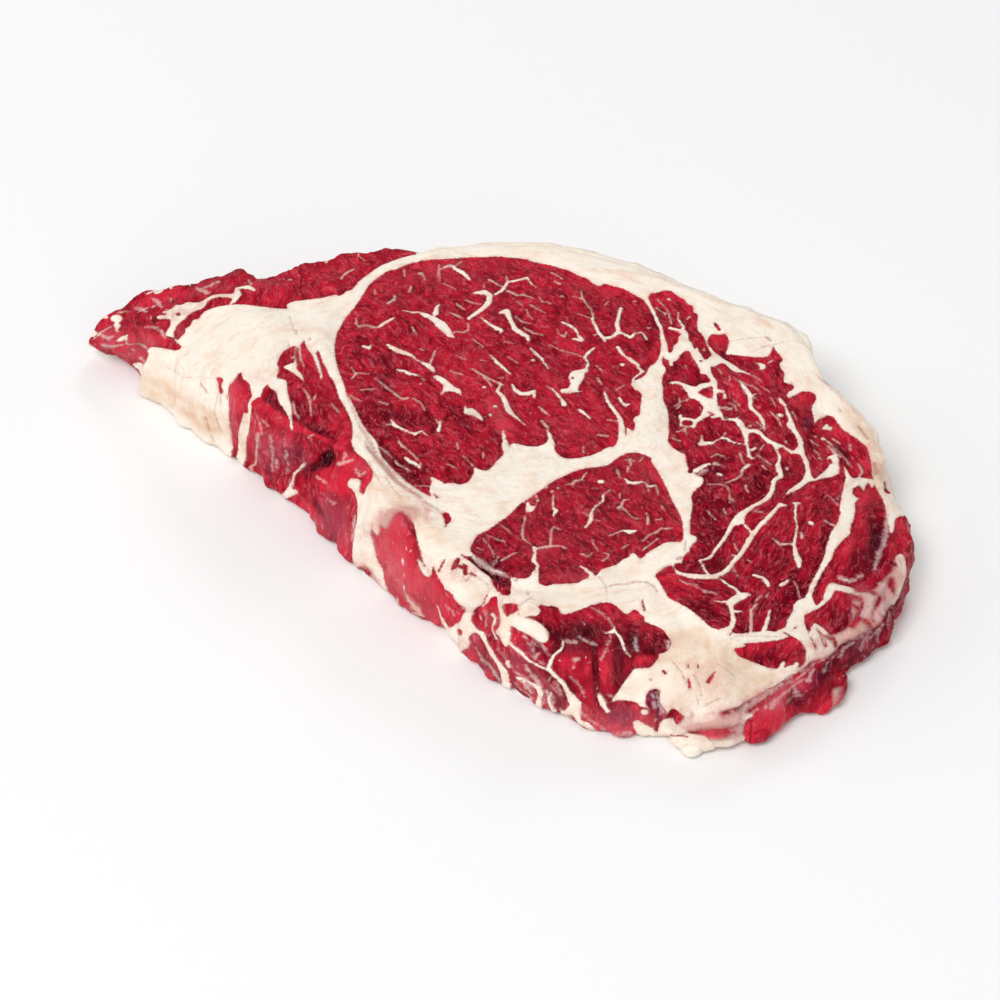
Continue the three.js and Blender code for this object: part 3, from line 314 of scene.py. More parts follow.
# Streaks of fat in the lean, seams between muscles and some painted highlights drawn as fat: x, y
# and width of each point.
FAT_AND_HIGHLIGHT_STREAKS = [
    [66, 14, 0.3, 68, 12.6, 0.5, 69.6, 13.6, 0.4], [67.4, 9.6, 0.3, 69.4, 8.6, 0.5, 71, 9.6, 0.3],
    [76, 8, 0.4, 77.6, 5, 0.5], [72.6, 20.6, 0.3, 74, 18.6, 0.4, 76.4, 19, 0.3],
    [80, 12, 0.4, 82, 9, 0.6, 82.6, 6, 0.4], [78, 22, 0.3, 80.4, 20, 0.5],
    [70, 16.6, 0.4, 71.6, 14.6, 0.5], [86, 12, 0.3, 87, 9, 0.5],
    [101.8, -57.4, 0.5, 100.8, -62, 0.8, 98.8, -66.4, 0.6],
    [105.2, -56, 0.5, 104.2, -61, 0.8, 102.4, -66, 0.6],
    [9, -86.2, 0.4, 11, -88.6, 0.6, 12.6, -91.6, 0.5],
    [9.8, -90.4, 0.4, 12, -92.6, 0.6, 13.4, -95.4, 0.4],
    [11.4, -83.4, 0.3, 13.8, -86, 0.5, 15.4, -89.8, 0.4],
    [16.4, -91.4, 0.4, 17.4, -94.4, 0.6, 18.6, -97.2, 0.5],
    [-1.6, -76, 0.3, 1.2, -81, 0.5, 4, -86, 0.4], [20, -97.6, 0.5, 23, -99.2, 0.7],
    [46.8, 60.6, 1.6, 48, 57, 1, 49.1, 53.4, 0.9, 50, 49.9, 1, 50.7, 47.7, 1.1, 51, 44.5, 0.5,
     51.4, 39, 0.8, 50.6, 36, 0.6],
    [33.8, 19.9, 0.6, 34.6, 16.3, 0.9, 36.4, 12.4, 1, 37.9, 9.1, 1.2, 38.2, 6.3, 1.6, 38.4, 2, 1.6],
    [17.5, 4.5, 0.5, 18.3, 2.4, 1.1, 18.4, -0.6, 1], [5.2, 2.6, 0.6, 5.8, 0, 1, 6.8, -4, 1],
    [-28.2, 57.8, 0.9, -27.2, 58.6, 0.9, -26.4, 59.4, 0.8, -26.2, 61.8, 0.25],
    [-23.8, 73.4, 0.4, -23.6, 70.2, 0.4], [-19.3, 71.7, 0.5, -18.4, 71.6, 0.6, -17.6, 68.8, 0.4],
    [-13.5, 75.2, 0.5, -13.8, 70.2, 0.3],
    [-12.2, 74.1, 0.4, -10.4, 75.2, 0.5, -9.2, 74.5, 1, -8.8, 73.4, 1.2, -6.9, 72, 1.4,
     -5.4, 70.2, 1.1, -4.4, 68.4, 0.7],
    [-8.3, 75.2, 0.4, -6.9, 76.6, 0.3], [-12.2, 67, 0.3, -8.6, 64.5, 0.4],
    [-21.5, 65.6, 0.4, -22.2, 63.1, 0.3],
    [-2.8, 62.4, 1.1, 0, 62.8, 2.2, 1.6, 61.5, 1.6, 1.3, 58.5, 1.7, 0, 56, 1.6, -2.8, 53, 1.2,
     -4.5, 51.2, 1],
    [-0.1, 64.9, 0.5, -0.3, 66.5, 0.3], [-5.4, 59.1, 0.4, -3.3, 57.7, 0.5, -1.1, 57.4, 0.5],
    [-8.3, 57.7, 0.3, -6.1, 55.2, 0.4], [-9.7, 53.4, 0.6, -7.9, 52.5, 0.6, -6.1, 51.3, 0.4],
    [-23.6, 54.5, 0.4, -21.1, 53.8, 0.7, -19, 53.8, 0.6, -17.2, 52.7, 1.5, -14.4, 51, 2,
     -12.6, 48.8, 3.2, -11, 46.5, 2.6, -9.9, 44.2, 1.8, -8.8, 43.1, 0.8],
    [-14.2, 53.4, 1.8, -13.9, 55.9, 1, -13.1, 57.5, 0.5],
    [-9.5, 44.5, 0.5, -8.3, 45.6, 0.5, -6.1, 45.4, 0.5, -4.4, 46.6, 0.6, -4.7, 49.1, 0.4],
    [-30.2, 47.7, 0.8, -29, 49.1, 1, -26.2, 51.2, 0.7],
    [-31.5, 47.7, 0.4, -34, 48.4, 0.5, -36.1, 47.4, 0.4, -37.2, 49.5, 0.3],
    [-20.8, 47.4, 0.4, -19.4, 44.5, 0.4],
    [-1, 51.6, 0.4, 1.8, 48.4, 1, 3.6, 47, 1.4, 4.9, 46.2, 1.2, 4.6, 45, 0.5],
    [-3.3, 42.7, 0.4, -0.4, 39.5, 0.5], [1.2, 68.7, 0.7, 3.6, 66.6, 0.6, 5.4, 65.2, 0.5],
    [3.2, 62, 0.8, 5.4, 64.1, 1, 6.8, 67.4, 0.9, 8.9, 68.1, 0.9, 11.1, 68.8, 0.9, 12.5, 69.5, 0.6,
     13.9, 66.6, 0.4],
    [6.4, 70.2, 0.3, 6.8, 67.7, 0.4], [19.5, 71.8, 0.4, 21.1, 70.6, 0.6, 22.9, 69, 0.5],
    [20.5, 67.7, 0.7, 22.1, 66.6, 0.8],
    [6.8, 63.4, 0.3, 9.3, 61.6, 0.5, 11.8, 61.6, 0.4, 13.9, 60.6, 0.4],
    [15.9, 60.9, 0.4, 17.1, 58.8, 0.4], [17.9, 59.1, 0.4, 19.3, 58.2, 0.5],
    [9.5, 58.8, 0.4, 11.1, 57.4, 0.4], [13.2, 57.7, 0.6, 15.7, 55.6, 0.5, 17.7, 54.1, 0.4],
    [8.9, 52.7, 0.5, 10.7, 50.6, 0.5, 13.2, 49.3, 0.3],
    [4.6, 53.7, 1, 6.4, 54.4, 2.2, 7.3, 51.5, 1.3, 8.3, 48.8, 1.4, 8.8, 46.8, 1.8, 10.7, 44.9, 1.6,
     12.4, 43.4, 1.4, 12.7, 41.2, 0.5],
    [11.4, 47.7, 0.4, 14.3, 44.9, 0.5, 16.8, 44.5, 0.4],
    [22.5, 49.7, 0.8, 25, 48.1, 0.9, 26.4, 46.3, 0.8, 27.1, 44.1, 0.7, 27.9, 42.4, 1.5],
    [25.7, 42.7, 0.8, 27.9, 42, 1.3], [20.9, 47, 0.3, 21.4, 44.9, 0.4, 23, 43.6, 0.8],
    [23.6, 45.6, 0.4, 23.2, 43.5, 0.4],
    [28.2, 63.8, 0.4, 28.5, 60.6, 0.7, 29.9, 57, 0.6, 31, 55.2, 0.4, 31.4, 52.4, 0.6],
    [26, 61.3, 0.3, 28.2, 59.9, 0.3], [35, 57, 0.5, 36, 58.8, 0.4],
    [27.1, 53.4, 0.3, 30.4, 51.6, 0.4],
    [30.9, 51.3, 0.6, 32, 48.1, 1, 32.9, 45.2, 0.9, 34.3, 42.7, 1.2, 34.6, 41.3, 0.6],
    [31.4, 53.4, 0.6, 31.6, 50.9, 0.7],
    [34.3, 42.7, 1.2, 36.8, 43.4, 1, 38.6, 45.6, 1.4, 38.2, 49.1, 1.2, 38.9, 52.4, 1,
     39.6, 55.6, 1.2],
    [38.6, 45.6, 1.2, 40.4, 44.5, 1, 42.1, 43.1, 1, 43.2, 45.2, 0.6, 45.4, 45.2, 0.5,
     46.8, 42.4, 0.6],
    [31.4, 44.1, 0.4, 33.2, 44.9, 0.4], [43.6, 58.8, 0.8, 44, 58.8, 0.8],
    [22.3, 61.3, 0.8, 22.7, 61.3, 0.8], [47.3, 47.4, 0.8, 47.7, 47.4, 0.8],
    [-34.7, 39.5, 0.8, -33, 38.6, 1, -32.5, 39.8, 0.6],
    [-27.9, 40.2, 0.6, -26.5, 38.8, 1.4, -24.7, 37.4, 1.7, -22.6, 36.6, 1.5, -20.8, 35.6, 0.9,
     -19, 33.4, 0.5, -17.6, 32.4, 0.3],
    [-17.4, 32.2, 1, -15.8, 30.9, 1.6, -14.7, 29.5, 1.4, -14, 28.1, 0.4],
    [-14, 37.4, 0.5, -14.4, 34.9, 0.3, -15.3, 32, 0.4],
    [-24.7, 29.3, 0.6, -22.6, 28.8, 0.9, -21.1, 27.7, 1.1, -18.3, 27, 0.5],
    [-17.6, 25.8, 0.4, -16.7, 25, 0.4],
    [-37.8, 30.6, 0.4, -36.9, 28.8, 0.5, -36.3, 27.4, 0.6, -37.6, 25.6, 0.4],
    [-36.3, 28.1, 0.5, -32.6, 27.7, 0.4],
    [-30.8, 25.8, 0.4, -28.6, 23.4, 0.5, -26.1, 20.9, 0.5, -24, 18.4, 0.6, -22.9, 17.4, 0.8,
     -21.3, 17.7, 0.8],
    [-19.7, 17.4, 0.5, -17.6, 15.6, 0.6, -16.9, 13.8, 0.5, -16.3, 12.7, 0.4],
    [-37.8, 18.8, 0.4, -36.1, 17.4, 0.5, -34.5, 16.3, 0.6],
    [-29.5, 16.5, 0.4, -28.3, 15.6, 0.6, -27, 15, 0.5], [-34.7, 20.9, 0.35, -30.8, 21.5, 0.3],
    [-25.8, 8.8, 0.6, -24.7, 6.3, 1.1, -22.6, 4.9, 0.8, -20.4, 3.4, 0.7, -19, 2.7, 1,
     -17.2, 4.1, 0.5, -15.8, 2.4, 0.5],
    [-27.2, 6.6, 0.4, -25.4, 7.2, 0.5], [-13.3, 9.1, 0.5, -12.6, 7.4, 0.4],
    [-11.9, 8.8, 0.4, -12.2, 6.3, 0.9, -12.6, 4.5, 1],
    [-23.6, 0.2, 0.5, -22.4, -2, 0.9, -20.6, -3.8, 0.5, -18.9, -5.9, 0.6, -18.1, -7.1, 0.7],
    [-7.4, -0.1, 0.5, -7, -2.9, 0.5], [-28.7, -2.1, 0.5, -27.2, -3.4, 0.7, -25.3, -5.9, 0.4],
    [-24.4, -7, 0.6, -23.7, -8.4, 0.8, -21.7, -9.8, 0.5, -20.3, -11.1, 0.3],
    [-21.4, -6.6, 1, -20.3, -7.9, 1.2, -18.9, -8.6, 1.1, -17.4, -10.4, 0.8],
    [-17.3, -8.4, 0.5, -17.3, -10, 0.5], [-18.7, -17.5, 0.5, -18.3, -17.5, 0.5],
    [-17.4, -17.5, 0.4, -16.2, -17.5, 0.4, -14.6, -17.7, 0.5], [-0.1, -4.3, 0.4, 0, -6.8, 0.4],
    [-9.9, -9.1, 0.3, -7.8, -10.4, 0.4], [-5.6, -5.7, 0.2, -2.8, -10, 0.3],
    [-3.3, 29.7, 0.5, -1.1, 27.7, 0.8, 0.3, 26.6, 0.8, 2.4, 24.9, 0.6, 4.5, 23.4, 0.8,
     5.4, 22.7, 0.6],
    [-0.1, 26.6, 0.7, 2.1, 22.5, 0.6], [-9.7, 28.8, 0.4, -6.1, 27.4, 0.5],
    [-7.9, 35.2, 0.4, -5.4, 33.8, 0.4], [-1.1, 33.8, 0.4, 0.3, 33.1, 0.4],
    [1.7, 35.8, 0.3, 3.7, 32.5, 1.1, 5.7, 29.9, 0.9, 7.5, 27.4, 0.5],
    [4, 25.9, 0.4, 5.3, 25.9, 0.4], [-0.1, 22, 1, 0.2, 22, 1], [3.1, 14.5, 1.1, 3.3, 14.4, 1],
    [1.7, 10.9, 1, 1.9, 10.9, 0.9], [-17.9, 23.4, 0.7, -17.7, 23.4, 0.7],
    [6.8, 34.9, 0.4, 9.6, 32.2, 0.5],
    [13.2, 38.6, 0.4, 14.6, 36.6, 1, 16.4, 34.1, 0.8, 17.5, 31.3, 0.6, 18.2, 29.7, 0.4],
    [13.8, 33.6, 1.1, 14, 33.6, 1],
    [18.6, 40, 0.4, 21.4, 38.1, 0.4, 25, 36.6, 0.5, 27.5, 35.2, 0.6],
    [31.4, 38.6, 0.7, 29.6, 36.6, 0.9, 28.6, 34.5, 0.9, 29.6, 32.7, 0.6, 29.3, 30.6, 1],
    [38.2, 38.9, 1, 39, 37, 1, 40, 35, 0.9, 41.2, 33.9, 1.2, 42.4, 32.3, 1.4, 43.6, 31.2, 1,
     43.9, 29.5, 0.8, 45, 28.4, 1, 43.6, 27, 0.7, 42.4, 25.7, 0.6, 42, 24.5, 0.6],
    [39.2, 31.3, 1.3, 39.4, 31.3, 1.2], [31.8, 31.3, 0.4, 33.6, 28.8, 0.4],
    [32.1, 25.6, 0.7, 33.2, 23.1, 0.7],
    [17.5, 22.5, 0.3, 19.3, 21.3, 0.6, 20.7, 19.1, 0.8, 21.8, 17, 0.8, 22.5, 14.8, 1.6],
    [26.6, 12.7, 0.8, 27.9, 11.3, 1, 29.5, 9.3, 0.6],
    [7.9, 23.1, 0.6, 8.8, 20.7, 1.2, 10.4, 19.1, 1.3, 12.5, 19.2, 1.6, 14.1, 20.2, 1,
     14.1, 17.9, 0.8],
    [4.6, 22.7, 0.8, 3.7, 20.3, 0.9, 5.2, 18.3, 1.3, 6.1, 15.8, 1.5, 6.8, 13.1, 1.6, 7.9, 11.1, 1.2,
     9.6, 9.1, 0.7, 11.4, 6.6, 0.4],
    [15.4, 14.1, 0.5, 16.6, 12.2, 0.8, 18.2, 10.2, 0.3],
    [16.1, 8.3, 0.7, 17.1, 6.6, 0.9, 17.9, 5.4, 0.6], [5.4, 4.1, 0.9, 5.7, 1.6, 0.9],
    [31.6, 2.7, 0.7, 34.3, 2, 0.7], [27.5, -2.3, 0.35, 27.5, -4.8, 0.35],
    [34.3, 8.8, 0.4, 37, 8, 0.4], [37.9, 17.4, 0.8, 38.6, 15.6, 0.7, 39.5, 14.4, 1, 40.7, 15, 0.4],
    [37.1, 20.6, 0.4, 38.2, 21.6, 0.4, 39.3, 22.5, 0.4],
    [13.6, -40.5, 0.9, 13.8, -42.8, 0.9, 13.4, -45.3, 1.1, 14.4, -47, 0.9, 14.2, -49.9, 1,
     13.6, -52, 2.2, 11.9, -54, 4],
    [14.4, -41, 0.7, 16.5, -40.5, 0.9, 19, -40.1, 0.6, 20.7, -40.1, 0.5, 21.9, -41, 0.8],
    [18, -39.9, 0.6, 18.1, -37, 0.6, 18.2, -34.5, 0.6, 19, -33, 0.5, 20.7, -34.1, 0.3],
    [11.3, -28.8, 0.4, 11.1, -30.8, 0.4, 10.7, -32.8, 0.5, 10.5, -35.3, 0.7, 10.7, -37.4, 0.7,
     11.9, -38.7, 0.4, 13.2, -39.5, 0.3],
    [14.2, -21.2, 0.6, 14.8, -23.3, 0.6],
    [19, -21.2, 0.5, 18.8, -23.7, 0.6, 18.8, -26.2, 0.5, 19.6, -27, 1.1, 18.8, -29.1, 0.3],
    [18.5, -19.9, 0.8, 18.7, -19.9, 0.8], [17, -18.3, 0.8, 17.2, -18.3, 0.8],
    [20.2, -18.5, 0.8, 20.4, -18.5, 0.8],
    [24.2, -17.8, 0.4, 24.4, -15.8, 0.5, 26.5, -15.5, 0.5, 27.8, -13, 0.3],
    [31.8, -16, 1.5, 32.2, -16, 1.4],
    [32.3, -21.2, 0.3, 32.1, -23.7, 0.5, 30.3, -25.3, 0.6, 29.2, -27.4, 0.6, 29, -29.9, 1.1,
     28.2, -32, 0.8, 27.3, -33.3, 0.6],
    [38.6, -14.9, 0.6, 39.4, -16.4, 1.1, 41.1, -16.6, 1.2, 43.2, -16, 0.6, 44, -16.4, 0.5,
     45.3, -17.8, 0.5, 46.5, -17.4, 0.7],
    [39.6, -10.3, 0.7, 39.4, -12, 0.7], [40.3, -7.2, 0.7, 40.3, -9.5, 0.6],
    [39, -7.4, 0.3, 40.3, -8.2, 0.4, 41.3, -7.8, 0.3], [43.6, -6.6, 0.4, 42.8, -8, 0.4],
    [36.5, -11.2, 0.4, 37.1, -12.8, 0.4, 36.9, -14.5, 0.4],
    [38, -22.8, 0.4, 37.1, -25.3, 0.7, 36.1, -26, 0.5], [37.1, -25.3, 0.5, 38.6, -27.2, 0.5],
    [44.2, -28.7, 0.5, 44, -32, 0.6], [37.1, -34.3, 0.4, 39.2, -34.9, 1.6, 40.9, -34.5, 0.5],
    [47.8, -33.3, 0.4, 46.5, -34.9, 0.6, 44.4, -36.2, 0.6, 42.5, -38.3, 0.4],
    [38.6, -39.7, 0.4, 36.9, -41.2, 0.5], [25.7, -47.6, 0.5, 28.4, -50.3, 1.3],
    [53.3, 47.3, 0.9, 55.5, 46.5, 1, 57.1, 45.3, 1.4],
    [50.3, 59.6, 0.3, 51.7, 57.4, 0.5, 53.1, 54.9, 0.4, 53.7, 51.7, 0.6, 54, 48.9, 0.4],
    [49.9, 56, 0.7, 51.4, 54.2, 0.5, 52.3, 53.5, 0.8],
    [56.2, 53.9, 0.4, 56, 51, 0.5, 56.7, 49.2, 0.8, 57.4, 47.8, 0.8, 57.1, 46, 1.2],
    [59.4, 51.9, 0.7, 58.5, 50.8, 0.4], [53.6, 59.6, 1, 53.8, 59.6, 0.9],
    [57.1, 31.4, 0.4, 57.3, 30, 0.4], [62.7, 38.2, 0.6, 62.9, 37.4, 0.6],
    [54.7, 17.8, 0.4, 54.9, 16.1, 0.4], [57.2, 17.3, 0.5, 56.8, 16.5, 0.5],
    [54.7, 10.7, 1, 54.9, 8.2, 0.8, 54.5, 6.1, 0.5],
    [54.9, 9.4, 1, 57.2, 9, 1, 58.8, 8.2, 1.2, 58.4, 6.1, 1, 57.8, 5.3, 0.5],
    [54.9, 6.5, 0.7, 56.3, 5.7, 0.7, 58, 6.1, 0.7],
    [55.9, 5.7, 0.7, 55.7, 3.6, 0.7, 56.3, 2.8, 0.4],
    [58.8, 8, 1.2, 60.5, 9.4, 1.5, 61.8, 10.7, 2, 63.4, 10.9, 2, 65, 10.4, 1.6],
    [52.2, 0.9, 0.6, 54.3, 0, 0.6], [60.4, 2.3, 0.4, 60.2, 0.3, 0.9],
    [63.4, -0.4, 0.5, 64.7, 0.7, 0.35, 65.9, 1.5, 0.6, 67.2, 1.1, 1, 68.6, -0.1, 0.8,
     70.2, -0.8, 0.45, 72.2, -1, 0.35],
    [66.1, 1.7, 0.3, 67, 3.6, 0.3],
    [68.8, 8.6, 0.5, 70.5, 8.2, 1.4, 71.1, 6.5, 1.3, 71.8, 5.3, 1.6, 73, 4, 1.8, 75.1, 4.4, 0.9,
     76.3, 3.6, 0.5, 77.2, 1.9, 0.4, 78.4, 0.3, 0.5, 80.1, -1, 0.8, 82.2, -1.8, 0.4,
     83.4, -3.1, 0.7, 84.7, -4.3, 1.1, 85.9, -4.3, 1.2, 86.8, -2.8, 1.2],
    [72, 4.4, 1.3, 72.3, 1.5, 0.8, 72.4, -1, 0.6, 72.6, -3.5, 0.35, 72.6, -6, 0.3],
    [77.2, -1.4, 0.4, 75.9, -3.9, 0.4], [74.7, -2.7, 1, 73.8, -3.5, 0.7],
    [74.3, 6.5, 0.5, 73.4, 5.7, 0.5],
    [84.3, 14.4, 0.3, 84.7, 11.9, 0.8, 85.5, 8.6, 0.8, 84.7, 6.5, 1.2, 85.9, 4.8, 1.2,
     86.8, 2.3, 1.2, 87.4, -0.2, 1.3, 87.4, -3.1, 1.5, 87.8, -6, 1.1, 88.4, -8.5, 1.1,
     88.6, -11.4, 1.2, 88.2, -13.5, 0.9, 87.4, -14.8, 0.6, 87.2, -16, 0.9],
    [72.1, 24.6, 0.4, 72.6, 23.6, 0.8, 73.4, 21.5, 1.2, 74.7, 19, 1.2, 74.7, 16.5, 1.4,
     74.5, 14, 1.2, 75.5, 12.3, 1.2, 76.8, 10.7, 1, 77.6, 8.6, 1.2, 78, 5.7, 0.5, 77.8, 4.4, 0.3],
    [80.1, -1, 0.6, 80.5, -3.1, 0.6, 81, -4.8, 0.7, 81.2, -6.4, 0.3],
    [81, -7.8, 0.3, 80.3, -9.3, 0.9, 80.3, -11.4, 0.8, 81.1, -13.6, 0.7, 79.2, -14.8, 0.9,
     78.5, -17.3, 0.8, 78, -19.8, 1, 76.8, -21.8, 1.1, 74.7, -23.9, 0.8, 72.6, -25.6, 0.9,
     70.5, -27.3, 1.3, 68.5, -30.4, 1.8, 66.7, -32.6, 1.1, 65.4, -35.4, 0.8, 64, -38.1, 0.9,
     62.2, -40.8, 0.8, 60.4, -44, 0.3],
    [87.8, -14.8, 0.6, 86.8, -16.4, 1.2, 85.5, -17.7, 0.8, 83.8, -18.9, 0.9, 82.2, -20.6, 0.5],
    [50.4, -48.5, 0.5, 51.3, -50.2, 1, 54.5, -51.4, 1, 57.6, -51.5, 0.9, 60.8, -51, 0.8,
     63.1, -49.9, 0.9, 64.9, -48.1, 0.7, 66.3, -45.8, 0.7, 68.1, -43.1, 0.8, 69.5, -40.8, 0.9,
     70.8, -38.1, 1.3, 72.2, -35.4, 1, 74, -32.6, 1, 76.3, -29.9, 1, 78.1, -27.2, 0.9,
     79.9, -24.9, 0.9, 81.7, -24.7, 0.5],
    [83.8, -24, 0.8, 85.5, -24.3, 0.8], [70.1, -32.6, 0.9, 71, -33.8, 0.7, 71.3, -34.9, 0.4],
    [57.2, -45.4, 0.6, 58.1, -46.7, 0.4, 58.5, -48.5, 0.5, 59.5, -50.6, 0.8],
    [57.2, -45.4, 0.4, 60.4, -44, 0.4], [66, -43.1, 0.5, 67, -43.5, 0.5],
    [70.5, -4.8, 0.9, 70.9, -6.8, 0.5], [70.7, -11, 0.6, 72.6, -9.3, 1.2],
    [65.9, -16.4, 0.4, 68.8, -14.8, 0.6, 70.5, -13.1, 0.6, 70.7, -11, 0.6],
    [64, -12.5, 1, 65.1, -13.1, 0.8], [71.3, -17.3, 0.8, 71.1, -18.5, 0.7, 72, -20, 0.5],
    [57.8, -11.6, 1.6, 60.1, -9.8, 1.2, 61.8, -8.7, 0.7], [63.2, -8.3, 0.6, 64, -8.2, 0.5],
    [82.8, 17.6, 0.6, 83.4, 16.1, 1.3, 84.3, 14.4, 0.8], [82.5, 10.7, 1.4, 82.9, 10.5, 1.2],
    [93.8, 1.5, 0.4, 95.5, -1, 0.7, 96.3, -2.7, 0.5, 98, -4.8, 0.4],
    [90.1, 0.7, 0.3, 92.2, -1.8, 0.3], [91.7, 1.9, 0.8, 91.9, 1.8, 0.8],
    [93.5, 1.1, 1, 93.7, 1, 0.9], [96.5, 1.1, 0.3, 98.4, -1, 0.3], [83, -10.4, 0.9, 83, -10.8, 0.9],
    [83.4, 0, 0.8, 83.4, -0.4, 0.8], [92.1, -6.8, 0.8, 92.3, -7.2, 0.8],
    [90.9, -3.4, 0.3, 92.2, -5.6, 0.4],
    [98.6, -10.2, 0.4, 99, -12.3, 0.8, 99.5, -14.3, 1.5, 99.4, -16.4, 2.4, 99, -18.6, 2.6,
     98.4, -21.8, 2.8, 97.9, -26, 3.6],
    [99.7, -15.2, 1.6, 101, -15.6, 2.2, 102.6, -14.8, 0.8],
    [102.6, -9, 0.5, 103.4, -12.3, 0.7, 102.2, -14.3, 0.6],
    [106.1, -14.8, 0.6, 106.8, -17.7, 0.8, 107.6, -20.6, 0.5],
    [84.5, -24, 0.8, 84, -26.7, 0.6, 83.8, -29.9, 0.6, 84, -33.1, 0.5, 83.3, -36.7, 0.7,
     82.6, -39.9, 0.9, 82.9, -43.1, 1.4, 83.5, -45.8, 1.9, 83.5, -48.1, 0.8],
    [77.2, -37.6, 0.5, 79, -39.7, 0.8, 82.6, -39.7, 0.8], [84.9, -35.4, 0.8, 85.1, -37.2, 0.8],
    [91.5, -30.8, 0.6, 94, -32.6, 0.6], [87.7, -31.4, 1.2, 88.1, -31.8, 1.2],
    [60.4, -60.1, 0.5, 62.2, -60.6, 0.5, 64, -60.4, 0.9, 64.7, -62.2, 1.1, 64.7, -64, 1.1,
     64.9, -67.2, 1.2, 64.2, -69.5, 1.4, 62.2, -71, 2.4],
    [64, -60.4, 0.8, 65.4, -59, 1, 67.2, -57.6, 1.2, 69.5, -57.4, 0.5],
    [63.1, -52.6, 0.6, 64.5, -54.5, 0.7, 66.3, -55.8, 0.7, 67.2, -57.6, 1.3],
    [64.9, -64, 1.1, 67.2, -64, 0.6],
    [71.3, -61.3, 0.3, 69.7, -63.5, 0.8, 69.5, -66.7, 0.8, 69.2, -71.3, 0.9],
    [74.5, -63.5, 0.6, 74, -66.3, 0.9, 72.6, -70.8, 1.1],
    [71.3, -50.8, 0.8, 72.2, -51.3, 1, 73.5, -51.7, 0.9, 74.5, -53.5, 1.3, 74.9, -54.9, 0.8],
    [78.1, -54.5, 1, 79, -54, 1.2, 80.4, -52.6, 0.3],
    [81.7, -53.1, 0.3, 82.6, -55.8, 0.5, 82.9, -58.5, 0.6], [80.8, 32.3, 0.6, 82.1, 33.3, 0.6],
    [74.6, 27.4, 0.35, 76.4, 26.7, 0.35, 78.1, 24.9, 0.3], [69.4, 26.4, 0.5, 69.4, 24.6, 0.5],
    [67.6, 18.8, 0.8, 67.6, 17.4, 1], [54.6, 17.2, 0.3, 55, 16.4, 0.3, 56.6, 16.8, 0.3],
    [53.2, 14.6, 0.3, 54.4, 15.6, 0.3, 55, 14.8, 0.3, 54, 13.8, 0.3],
    [65.8, 13.2, 0.3, 68, 13.8, 0.3, 69.2, 12.2, 0.3],
    [68.6, 15.4, 0.3, 70.4, 14.4, 0.3, 70.6, 12.6, 0.3], [51.2, 30, 0.8, 50.8, 28, 0.5],
    [80.6, 17.6, 0.3, 81.6, 14.4, 0.5], [75.6, 18.4, 0.4, 76.2, 17.4, 0.4],
    [66, 29.6, 0.3, 67.4, 27.4, 0.4], [53.4, 3.6, 0.3, 55.4, 4.6, 0.4],
    [62.4, -6.2, 0.3, 64.2, -5, 0.4, 66, -5.8, 0.3], [63, -8.6, 0.8, 64.4, -8.8, 0.8],
    [58.4, -13.4, 0.3, 60.6, -11, 0.3], [70.7, -6.8, 0.3, 71.4, -8.8, 0.3],
    [70.3, -11.4, 0.6, 70.3, -13.4, 0.3],
    [61, -16.6, 0.3, 64.5, -16.8, 0.3, 66.4, -18.2, 0.4, 66.7, -21, 0.3, 66.6, -24, 0.3],
    [75, -5.2, 0.3, 77.2, -7.6, 0.4], [76.2, -9.2, 0.5, 77.4, -10.8, 0.4],
    [77.6, -7.8, 0.4, 78.6, -9, 0.3], [60.4, -27, 0.4, 61, -28.6, 0.4, 62.4, -30.2, 0.3],
    [64.8, -26, 0.3, 65.2, -28.4, 0.3], [67.2, -22.6, 0.5, 67.6, -23.4, 0.4],
    [66.8, -39.4, 0.4, 67.6, -41.6, 0.3], [51.6, -52.6, 0.3, 53.6, -54.2, 0.4, 56.4, -54.6, 0.3],
    [57.6, -57, 0.4, 60.6, -57.4, 0.3], [75.2, -31, 0.5, 76.2, -32.8, 0.4],
    [73.2, -27, 0.4, 75.2, -27.6, 0.4], [66.2, -48, 0.3, 67, -51, 0.4],
    [70, -45, 0.3, 71, -46, 0.4], [74.6, -57.6, 0.4, 74, -59, 0.4],
    [72.6, -58.4, 0.4, 71, -60.4, 0.4], [96.2, 1.2, 0.3, 98, -1, 0.3],
    [95, -2, 0.6, 96.5, -5, 0.9, 98, -6.5, 0.4],
    [-105.9, 53.9, 0.7, -104.4, 54.2, 0.9, -101.6, 53.9, 0.9], [-92.3, 60.6, 0.4, -90.9, 59.6, 0.4],
    [-72.2, 64.4, 0.8, -69.1, 64.9, 1.5, -67.4, 63.8, 1.1], [-69.4, 68.1, 0.4, -68.4, 66.4, 0.8],
    [-107.3, 47.4, 0.6, -110.1, 45.3, 0.6], [-110.9, 44.6, 1, -113, 42.4, 1.3],
    [-106, 46.4, 0.9, -105.4, 45.6, 0.7], [-105.1, 41.7, 1, -103.7, 42.8, 2, -102.6, 43.9, 0.6],
    [-102.6, 42.8, 0.8, -102.6, 40.3, 0.6, -100.1, 39.9, 0.6],
    [-38.6, 73.4, 0.5, -40.8, 71.6, 0.9, -42.2, 68.8, 0.7], [-37.5, 79.5, 0.4, -35.5, 77, 0.3],
    [-101, 37.4, 0.4, -100.4, 36.4, 0.4], [-98, 33, 0.4, -97, 32, 0.4],
    [-53.8, 38.3, 0.3, -54, 34.5, 0.5, -53.5, 32.2, 0.8],
    [-52.7, 38.7, 0.8, -52.3, 34.1, 0.7, -51.2, 30.6, 0.4],
    [-50.2, 39.4, 1.2, -48.2, 35, 1.2, -46.9, 30.6, 1, -46, 26.8, 0.7, -45.8, 25, 0.3],
    [-50.8, 21.4, 0.5, -49.2, 18.3, 0.8, -48.5, 14.5, 0.6, -48.1, 10.2, 0.4],
    [-53.5, 16, 0.5, -52.7, 11.4, 0.7, -51.5, 9.5, 0.5], [-47.3, 18.3, 0.6, -47.7, 16.8, 0.6],
